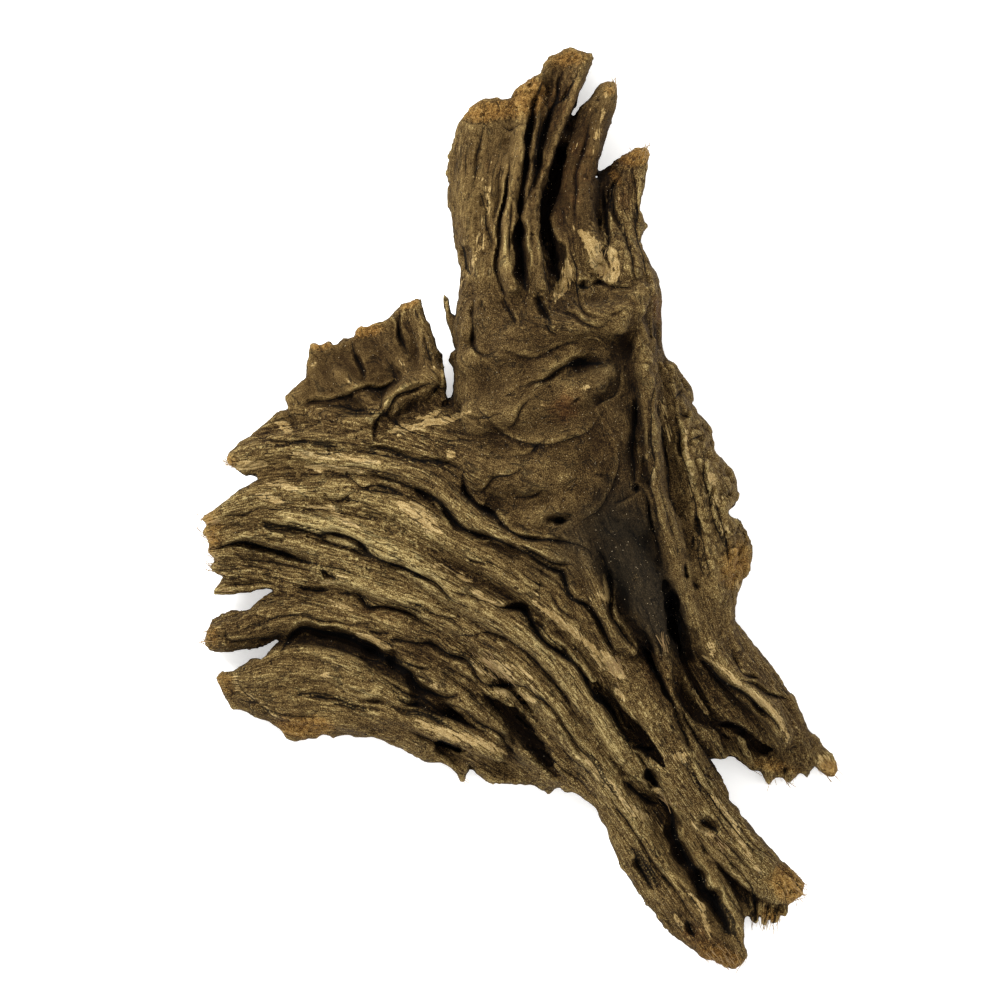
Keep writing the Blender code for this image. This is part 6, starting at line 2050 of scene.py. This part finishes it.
    @staticmethod
    def _pattern(
            wires: Wiring, coordinate: Socket, size: tuple[float, float], detail: float,
            distortion: float = 0.0) -> Socket:
        """Adds a random pattern stretched along the first axis of a coordinate.

        Args:
            wires: The material's tree.
            coordinate: What the pattern follows.
            size: Its length and width in the coordinate's unit.
            detail: How much finer pattern it carries.
            distortion: How much it is swirled.

        Returns:
            Values round 0.5.
        """
        length, width = size
        scaled = wires.add(
            "ShaderNodeVectorMath", {"operation": "MULTIPLY"},
            {0: coordinate, 1: (1 / length, 1 / width, 1 / width)})
        return wires.add("ShaderNodeTexNoise", {"noise_dimensions": "3D"}, {
            "Vector": scaled, "Scale": 1.0, "Detail": detail, "Roughness": 0.6, "Distortion": distortion})

    def _lines(self, wires: Wiring, grain: Socket) -> Socket:
        """Adds hairline cracks along the grain, which come and go, drawn as dark lines of painted shade.

        Args:
            wires: The material's tree.
            grain: Places along and across the grain.

        Returns:
            0 in a crack and 1 elsewhere.
        """
        line = None
        for length, wide, width, low, high in self.hairlines:
            wires.named["hairline"] = self._pattern(wires, grain, (length, wide), 2.0, 0.2)
            apart = wires.add(MATH, {"operation": "ABSOLUTE"}, {0: wires.sum(-0.5, hairline=1.0)})
            reach = wires.add(
                MAP_RANGE, SMOOTH_STEP, {0: wires.named["blotch"], 1: low, 2: high, 3: 0.0005, 4: width})
            share = wires.add(MATH, {"operation": "DIVIDE"}, {0: apart, 1: reach})
            found = wires.add(MAP_RANGE, SMOOTH_STEP, {0: share, 1: 0.2, 2: 1.0})
            if line is not None:
                found = wires.add(MATH, {"operation": "MINIMUM"}, {0: line, 1: found})
            line = found
        return line

    def _seams(self, wires: Wiring) -> Socket:
        """Adds painted shade along the cracks that are cut into the wood, with ragged edges.

        Args:
            wires: The material's tree.

        Returns:
            0 in a crack and 1 elsewhere.
        """
        apart = wires.add(MATH, {"operation": "ABSOLUTE"}, {0: wires.named["seam"]})
        ragged = wires.sum(-0.25 * self.seam_half_width, blotch=2.5 * self.seam_half_width)
        reach = wires.add(
            MATH, {"operation": "MULTIPLY_ADD"}, {0: wires.named["might"], 1: ragged, 2: 0.001})
        share = wires.add(MATH, {"operation": "DIVIDE"}, {0: apart, 1: reach})
        return wires.add(MAP_RANGE, SMOOTH_STEP, {0: share, 1: 0.3, 2: 1.3})

    def _colour(self, wires: Wiring) -> Socket:
        """Lays each tint over the wood where its attribute and the fibres let it show.

        Args:
            wires: The material's tree.

        Returns:
            The colour of the wood.
        """
        named = wires.named
        named["light"] = wires.sum(-0.25, tone=0.6, grit=0.55, thread=0.35)
        colour = wires.add("ShaderNodeValToRGB", {"stops": self.wood}, {0: named["tone"]})
        for tint, tone, stops, low, high, breakers in (
                ("rust", "tone", self.rusty, 0.35, 1.0, {"blotch": 0.8, "thread": 0.5}),
                ("pale", "light", self.bleached, 0.45, 0.65, {"thread": 1.5, "fibre": 0.9, "blotch": 1.6}),
                ("char", "tone", self.charred, 0.15, 1.0, {"stain": 0.8, "blotch": 0.5, "grit": 0.5}),
                ("crumb", "light", self.crumbled, 0.25, 0.85, {"blotch": 1.3, "stain": 0.4, "grit": 0.9})):
            spread = wires.sum(-0.5 * sum(breakers.values()), **breakers, **{tint: 1.0})
            share = wires.add(MAP_RANGE, SMOOTH_STEP, {0: spread, 1: low, 2: high})
            layer = wires.add("ShaderNodeValToRGB", {"stops": stops}, {0: named[tone]})
            colour = wires.add("ShaderNodeMix", {"data_type": "RGBA"}, {0: share, 6: colour, 7: layer}, 2)
        return colour


@dataclass(frozen=True)
class DryFibre:
    """Loose fibres pulled out of dry wood, which catch the light as straw does."""

    colours: Stops = ((0.0, "#4e3a20"), (0.5, "#7f6339"), (1.0, "#ad9160"))
    # Millimetres from one colour to another.
    size: float = 3.0
    roughness: float = 0.7

    def build(self, name: str) -> bpy.types.Material:
        """Makes the material.

        Args:
            name: What the material is called.

        Returns:
            A material whose colour changes from one small thing to the next.
        """
        material = bpy.data.materials.new(name)
        material.use_nodes = True
        wires = Wiring(material.node_tree)
        place = wires.add("ShaderNodeTexCoord", output="Object")
        noise = wires.add(
            "ShaderNodeTexNoise", inputs={"Vector": place, "Scale": 1 / (self.size * MM), "Detail": 2.0})
        colour = wires.add("ShaderNodeValToRGB", {"stops": self.colours}, {0: noise})
        wires.feed(
            wires.tree.nodes["Principled BSDF"], {"Base Color": colour, "Roughness": self.roughness})
        return material


@dataclass(frozen=True)
class QuartzSand(DryFibre):
    """Grains of washed sand caught in the wood: pale, hard and slightly glossy."""

    colours: Stops = ((0.0, "#6b5a3d"), (0.5, "#958260"), (1.0, "#cfc0a0"))
    size: float = 2.0
    roughness: float = 0.45


@dataclass(frozen=True)
class Scatter:
    """Small things that lie on the wood, thickest where one of its attributes is strongest."""

    name: str
    attribute: str
    # Things for each square centimetre, their least and greatest size in millimetres.
    density: float
    least: float
    most: float
    seed: int

    def lay(self, piece: bpy.types.Object, node: str, material: bpy.types.Material) -> None:
        """Lays the things on one piece of wood, as a piece of their own.

        Args:
            piece: The finished wood.
            node: The node that the wood stands for.
            material: What the things are made of.
        """
        tree = self._tree()
        carrier = placed(f"{node}_{self.name}", piece.data)
        modifier = carrier.modifiers.new(self.name, "NODES")
        modifier.node_group = tree
        values = {
            "Density": self.density * 1e4, "Least": self.least * MM, "Most": self.most * MM,
            "Seed": self.seed, "Material": material}
        for item in tree.interface.items_tree:
            if item.name in values:
                modifier[item.identifier] = values[item.name]
        graph = bpy.context.evaluated_depsgraph_get()
        mesh = bpy.data.meshes.new_from_object(carrier.evaluated_get(graph), depsgraph=graph)
        carrier.modifiers.clear()
        if not mesh.polygons:
            bpy.data.objects.remove(carrier)
            return
        carrier.data = mesh
        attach(carrier, "root")
        log.info("%s: %d triangles", carrier.name, len(mesh.loop_triangles))

    def _tree(self) -> bpy.types.NodeTree:
        """Builds the tree that spreads the things over the wood.

        Returns:
            The tree, with named inputs.
        """
        tree = bpy.data.node_groups.new(self.name, "GeometryNodeTree")
        for name, kind in (
                ("Geometry", "Geometry"), ("Density", "Float"), ("Least", "Float"), ("Most", "Float"),
                ("Seed", "Int"), ("Material", "Material")):
            tree.interface.new_socket(name=name, in_out="INPUT", socket_type=f"NodeSocket{kind}")
        tree.interface.new_socket(name="Geometry", in_out="OUTPUT", socket_type="NodeSocketGeometry")
        wires = Wiring(tree)
        given = wires.add("NodeGroupInput").node.outputs
        strength = wires.add(
            "GeometryNodeInputNamedAttribute", {"data_type": "FLOAT"}, {"Name": self.attribute},
            "Attribute")
        density = wires.add(MATH, {"operation": "MULTIPLY"}, {0: strength, 1: given["Density"]})
        points = wires.add(
            "GeometryNodeDistributePointsOnFaces", {"distribute_method": "RANDOM"},
            {"Mesh": given["Geometry"], "Density": density, "Seed": given["Seed"]}).node.outputs
        size = wires.add(
            "FunctionNodeRandomValue", {"data_type": "FLOAT"},
            {2: given["Least"], 3: given["Most"], "Seed": given["Seed"]}, 1)
        turn = wires.add(
            "FunctionNodeAlignRotationToVector", {"axis": "X"},
            {"Vector": self._heading(wires, points["Normal"])})
        things = wires.add("GeometryNodeInstanceOnPoints", inputs={
            "Points": points["Points"], "Instance": self._thing(wires), "Rotation": turn, "Scale": size})
        whole = wires.add("GeometryNodeRealizeInstances", inputs={0: things})
        painted = wires.add(
            "GeometryNodeSetMaterial", inputs={"Geometry": whole, "Material": given["Material"]})
        wires.feed(tree.nodes.new("NodeGroupOutput"), {0: painted})
        return tree

    def _thing(self, wires: Wiring) -> Socket:
        """One grain, a metre in radius."""
        return wires.add(
            "GeometryNodeMeshIcoSphere", inputs={"Radius": 1.0, "Subdivisions": 1}, output="Mesh")

    def _heading(self, wires: Wiring, normal: Socket) -> Socket:
        """The way that the first axis of each thing points, which is any way."""
        return wires.add(
            "FunctionNodeRandomValue", {"data_type": "FLOAT_VECTOR"}, {0: (-1.0,) * 3, 1: (1.0,) * 3})


@dataclass(frozen=True)
class FrayedFibres(Scatter):
    """Fibres that stand loose along the grain, each bent up at its free end."""

    # Shares of a fibre's length.
    radius: float = 0.03
    root: float = 0.1
    tip: float = 0.25
    bend: float = 0.14
    lift: float = 0.3
    stray: float = 0.25

    def _thing(self, wires: Wiring) -> Socket:
        """Makes one fibre, a metre long.

        Args:
            wires: The tree that it is made in.

        Returns:
            Its mesh.
        """
        path = wires.add("GeometryNodeCurveQuadraticBezier", inputs={
            "Resolution": 4, "Start": (-self.root, 0.0, 0.0), "Middle": (0.5, 0.0, 0.0),
            "End": (1.0, 0.0, self.bend)})
        along = wires.add("GeometryNodeSplineParameter", output="Factor")
        thickness = wires.add(MAP_RANGE, inputs={0: along, 3: 1.0, 4: self.tip})
        tapered = wires.add("GeometryNodeSetCurveRadius", inputs={"Curve": path, "Radius": thickness})
        ring = wires.add(
            "GeometryNodeCurvePrimitiveCircle", inputs={"Resolution": 3, "Radius": self.radius})
        return wires.add(
            "GeometryNodeCurveToMesh",
            inputs={"Curve": tapered, "Profile Curve": ring, "Fill Caps": True})

    def _heading(self, wires: Wiring, normal: Socket) -> Socket:
        """Points each fibre along the grain, a little off the wood.

        Args:
            wires: The tree that it is made in.
            normal: The way out of the wood.

        Returns:
            The way that the fibre points.
        """
        far = (self.stray,) * 3
        lie = wires.add(
            "GeometryNodeInputNamedAttribute", {"data_type": "FLOAT_VECTOR"}, {"Name": "lie"},
            "Attribute")
        raised = wires.add(
            "ShaderNodeVectorMath", {"operation": "MULTIPLY_ADD"},
            {0: normal, 1: (self.lift,) * 3, 2: lie})
        loose = wires.add(
            "FunctionNodeRandomValue", {"data_type": "FLOAT_VECTOR"},
            {0: tuple(-value for value in far), 1: far})
        return wires.add("ShaderNodeVectorMath", {"operation": "ADD"}, {0: raised, 1: loose})


class Dressing:
    """Turns the shells into finished pieces of the scene."""

    # The lattice is thinned by this for the wide view of hollows, whose box reaches so many
    # points, and the close view's box reaches one.
    HOLLOW_STEP = 2
    FINE_REACH = 1
    WIDE_REACH = 4
    # Millimetres from the skin at which the wide view is read once more.
    LOOK_OUT = 1.6
    # Pockets up to twice this wide are darkened with painted shade, from the first depth below their rim
    # to the second.
    POCKET_REACH = 5.4
    POCKET_DEPTHS = (2.0, 9.0)
    # Loose fibres point away from here.
    CROWN = (12.0, 10.0)
    # The attributes that only the scatters read.
    PASSING = ("fray", "sandy", "lie")

    def __init__(self, carver: Carver, material: bpy.types.Material) -> None:
        """Prepares the readings that the attributes come from.

        Args:
            carver: The finished wood, its grain and its cracks.
            material: What every limb is made of.
        """
        wood, lattice = carver.wood, carver.wood.lattice
        self.lattice = lattice
        self.material = material
        filled = np.clip(0.5 - wood.values / (2 * lattice.step), 0, 1)
        self.fine = softened(filled, self.FINE_REACH)
        self.wide = softened(filled[(slice(None, None, self.HOLLOW_STEP),) * 3], self.WIDE_REACH)
        lid = bridged(wood.tops()[0], round(self.POCKET_REACH / lattice.step))
        self.plans: dict[str | Tint, Array] = {
            **carver.grain.maps, **carver.marks, "pale": scarred(lattice), "lid": softened(lid, 1, 1),
            **{tint: tinted(tint, lattice) for tint in Tint}}

    def _attributes(self, points: Array, normals: Array) -> dict[str, Array]:
        """Works out what the material reads at each point of a piece.

        Args:
            points: One row for each point.
            normals: The way out of the wood there.

        Returns:
            One value or row for each point, by the attribute's name.
        """
        low, step = self.lattice.low, self.lattice.step
        plan = {name: read_plan(values, self.lattice, points) for name, values in self.plans.items()}
        lie = np.stack([plan["east"], plan["north"], np.zeros(len(points))], axis=1)
        lie *= np.where((lie[:, :2] * (points[:, :2] - self.CROWN)).sum(axis=1) < 0, -1, 1)[:, None]
        close = read_field(self.fine, low, step, points) - 0.5
        wide = read_field(self.wide, low, step * self.HOLLOW_STEP, points) - 0.5
        outside = read_field(self.wide, low, step * self.HOLLOW_STEP, points + normals * self.LOOK_OUT)
        height = points[:, 2]
        upper = ramped(normals[:, 2], -0.5, 0.3)
        # Painted highlight on a ledge's raised lip and painted shade at its foot, on upper faces.
        lip = np.clip(plan["lip"], -1, 1) * upper
        # Painted shade deep in pockets below their rim.
        pocket = ramped(plan["lid"] - height, *self.POCKET_DEPTHS)
        # Painted shade where the solid closes round a point, near and wide.
        hollow = np.clip(4.0 * close, 0, 1) + np.clip(2.6 * (outside - 0.40), 0, 1.4)
        # Painted highlight on convex crests and on the raised lip of a ledge.
        crest = np.clip(-5.0 * close, 0, 1) + 0.8 * np.clip(-2.6 * wide, 0, 1)
        return {
            "grain": np.stack([plan["along"], plan["across"], height - plan["middle"]], axis=1),
            # Painted shade in hollows, at the foot of ledges and in pockets.
            "hollow": hollow + 1.3 * np.maximum(-lip, 0) + 1.5 * pocket,
            "crest": crest + 0.9 * np.maximum(lip, 0),
            "seam": plan["seam"],
            "might": plan["might"] * upper,
            "calm": plan[Tint.CALM],
            "fibrous": plan["fibre"] * (1 - plan[Tint.SMOOTH]),
            "fray": plan[Tint.FRAY] * ramped(height, 3.0, 7.0) * ramped(normals[:, 2], -0.4, 0.2),
            "sandy": (0.15 + plan[Tint.SMOOTH]) * (0.4 + np.clip(outside, 0, 1)) * upper,
            "lie": unit(lie - normals * (lie * normals).sum(axis=1, keepdims=True)),
            # Painted light from the light patches, less the darker tone and painted shade of the dark
            # patches, on up-facing wood.
            "sun": (plan[Tint.SUN] - plan[Tint.PAINTED_SHADE_AND_DARK_TONE]) * upper,
            "char": plan[Tint.CHAR] * upper,
            "rust": plan[Tint.RUST] * (0.3 + 0.7 * upper),
            "pale": plan["pale"] * upper * (1 - pocket),
            "crumb": plan[Tint.CRUMB]}

    def finish(
            self, shells: Sequence[Shell],
            scatters: Sequence[tuple[Scatter, bpy.types.Material]]) -> None:
        """Makes one piece for each shell, in the place of its node, and lays small things on it.

        Args:
            shells: The parted skin.
            scatters: What lies on the wood, and what it is made of.
        """
        for shell, normals in zip(shells, shared_normals(shells)):
            places = (shell.points + np.array(TABLE_SHIFT, np.float32)) * MM
            mesh = mesh_of(f"{shell.node} wood", places, shell.triangles)
            mesh.shade_smooth()
            for name, values in self._attributes(shell.points, normals.astype(np.float32)).items():
                kind, part = ("FLOAT_VECTOR", "vector") if values.ndim == 2 else ("FLOAT", "value")
                layer = mesh.attributes.new(name, kind, "POINT")
                layer.data.foreach_set(part, values.astype(np.float32).ravel())
            mesh.normals_split_custom_set_from_vertices(normals)
            mesh.materials.append(self.material)
            piece = placed(f"{shell.node}_wood", mesh)
            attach(piece, "root")
            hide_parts(shell.node)
            log.info("%s: %d triangles", piece.name, len(shell.triangles))
            for scatter, material in scatters:
                scatter.lay(piece, shell.node, material)
            for name in self.PASSING:
                mesh.attributes.remove(mesh.attributes[name])


@dataclass
class Driftwood:
    """The whole piece of wood, from its grain to its finished limbs."""

    lattice: Lattice
    thinning: Thinning = field(default_factory=Thinning)

    def __post_init__(self) -> None:
        """Sets up the grain, and how fibrous each group of strands is, and the field."""
        groups = (
            (TRUNK, 0.2), (RIDGES, 0.9), (FAN, 1.0), (FINGER, 0.7), (LOBE, 0.6), (ARM, 1.0),
            (BRANCH, 0.8), (UPPER, 0.75), (MIDDLE_PRONG, 0.7), (RIGHT_PRONG, 0.8))
        self.grain = GrainField(self.lattice, groups)
        self.wood = WoodField(self.lattice)
        self.carver = Carver(self.wood, self.grain)

    def grow(self) -> None:
        """Makes the field of the wood and works its surface."""
        self.grain.build(self.wood.edge)
        log.info("grain laid out")
        for shapes, _ in self.grain.groups:
            for shape in shapes:
                self.wood.add(shape)
        for hollow in VOIDS:
            self.wood.open_up(hollow)
        self.wood.close_bottom(*self.wood.FIRST_FLOOR)
        self.wood.keep_to_outline(self.grain.maps["middle"])
        log.info("strands joined and hollowed")
        self.wood.refine()
        self.grain.refine()
        self.carver.creases()
        self.carver.relief()
        self.wood.close_bottom(*self.wood.LAST_FLOOR)
        self.wood.lay_on_table()
        self.wood.drop_loose()
        log.info("relief and creases cut")

    def shells(self) -> list[Shell]:
        """Skins the wood.

        Returns:
            The closed shells of the limbs.
        """
        skin = Skin(self.wood)
        skin.build()
        skin.roughen(self.carver)
        log.info("skin of %d triangles", len(skin.triangles))
        made = skin.shells()
        for shell in made:
            self.thinning.apply(shell)
        return made


@dataclass(frozen=True)
class Studio:
    """A pale floor, soft light from the upper left, and a camera that looks straight down."""

    floor_half: float = 3.0
    floor_colour: str = "#f4f3f1"
    # The floor is a pale panel lit from below as well, which keeps shadows off it.
    floor_glow: float = 0.45
    sky_strength: float = 1.3
    camera_height: float = 6.0
    framed_width: float = 1 / 3
    far_clip: float = 100.0
    # The photograph's middle, and the height at which its scale was read.
    aim: tuple[float, float, float] = (-6.67, 2.67, 18.0)
    sensor: float = 36.0
    # The name, place, size and power of each lamp.
    lights: tuple[tuple[str, tuple[float, float, float], float, float], ...] = (
        ("key light", (-1.0, 1.0, 1.5), 0.8, 50.0), ("fill light", (0.9, -0.3, 1.6), 1.4, 8.0))

    def build(self) -> None:
        """Puts up the whole studio."""
        self._floor()
        self._light()
        self._camera()

    def _floor(self) -> None:
        """Lays a plain pale floor under the wood."""
        half = self.floor_half
        corners = [(-half, -half, 0), (half, -half, 0), (half, half, 0), (-half, half, 0)]
        mesh = bpy.data.meshes.new("floor")
        mesh.from_pydata(corners, [], [(0, 1, 2, 3)])
        paint = bpy.data.materials.new("matt floor paint")
        paint.use_nodes = True
        colour = linear(self.floor_colour)
        Wiring(paint.node_tree).feed(paint.node_tree.nodes["Principled BSDF"], {
            "Base Color": colour, "Roughness": 0.9, "Specular IOR Level": 0.1, "Emission Color": colour,
            "Emission Strength": self.floor_glow})
        mesh.materials.append(paint)
        floor = placed("floor", mesh)

    def _light(self) -> None:
        """Sets up large soft lamps and an even sky."""
        world = bpy.data.worlds.new("studio")
        world.use_nodes = True
        backdrop = world.node_tree.nodes["Background"]
        backdrop.inputs[0].default_value = (1.0, 1.0, 1.0, 1.0)
        backdrop.inputs[1].default_value = self.sky_strength
        bpy.context.scene.world = world
        for name, place, size, power in self.lights:
            lamp = bpy.data.lights.new(name, "AREA")
            lamp.size = size
            lamp.energy = power
            item = placed(name, lamp)
            item.location = place
            item.rotation_mode = "QUATERNION"
            item.rotation_quaternion = (-Vector(place)).to_track_quat("-Z", "Y")

    def _camera(self) -> None:
        """Hangs a long lens far above the wood, so that tall limbs don't lean out."""
        lens = bpy.data.cameras.new("camera")
        lens.sensor_width = self.sensor
        aim = [(value + shift) * MM for value, shift in zip(self.aim, TABLE_SHIFT)]
        lens.lens = self.sensor * (self.camera_height - aim[2]) / self.framed_width
        lens.clip_end = self.far_clip
        camera = placed("camera", lens)
        camera.location = (aim[0], aim[1], self.camera_height)
        bpy.context.scene.camera = camera
        bpy.context.scene.view_settings.view_transform = "Standard"


def main() -> None:
    """Builds the wood and the studio."""
    logging.basicConfig(level=logging.INFO, format="%(relativeCreated)d ms %(message)s")
    driftwood = Driftwood(Lattice(step=LATTICE_STEP))
    driftwood.grow()
    shells = driftwood.shells()
    finish = WeatheredRootWood().build("weathered root wood")
    scatters = (
        (FrayedFibres("fibres", "fray", 40.0, 1.4, 4.0, 3), DryFibre().build("dry loose fibre")),
        (Scatter("sand", "sandy", 9.0, 0.06, 0.15, 8), QuartzSand().build("washed quartz sand")))
    Dressing(driftwood.carver, finish).finish(shells, scatters)
    Studio().build()


if __name__ == "__main__":
    main()
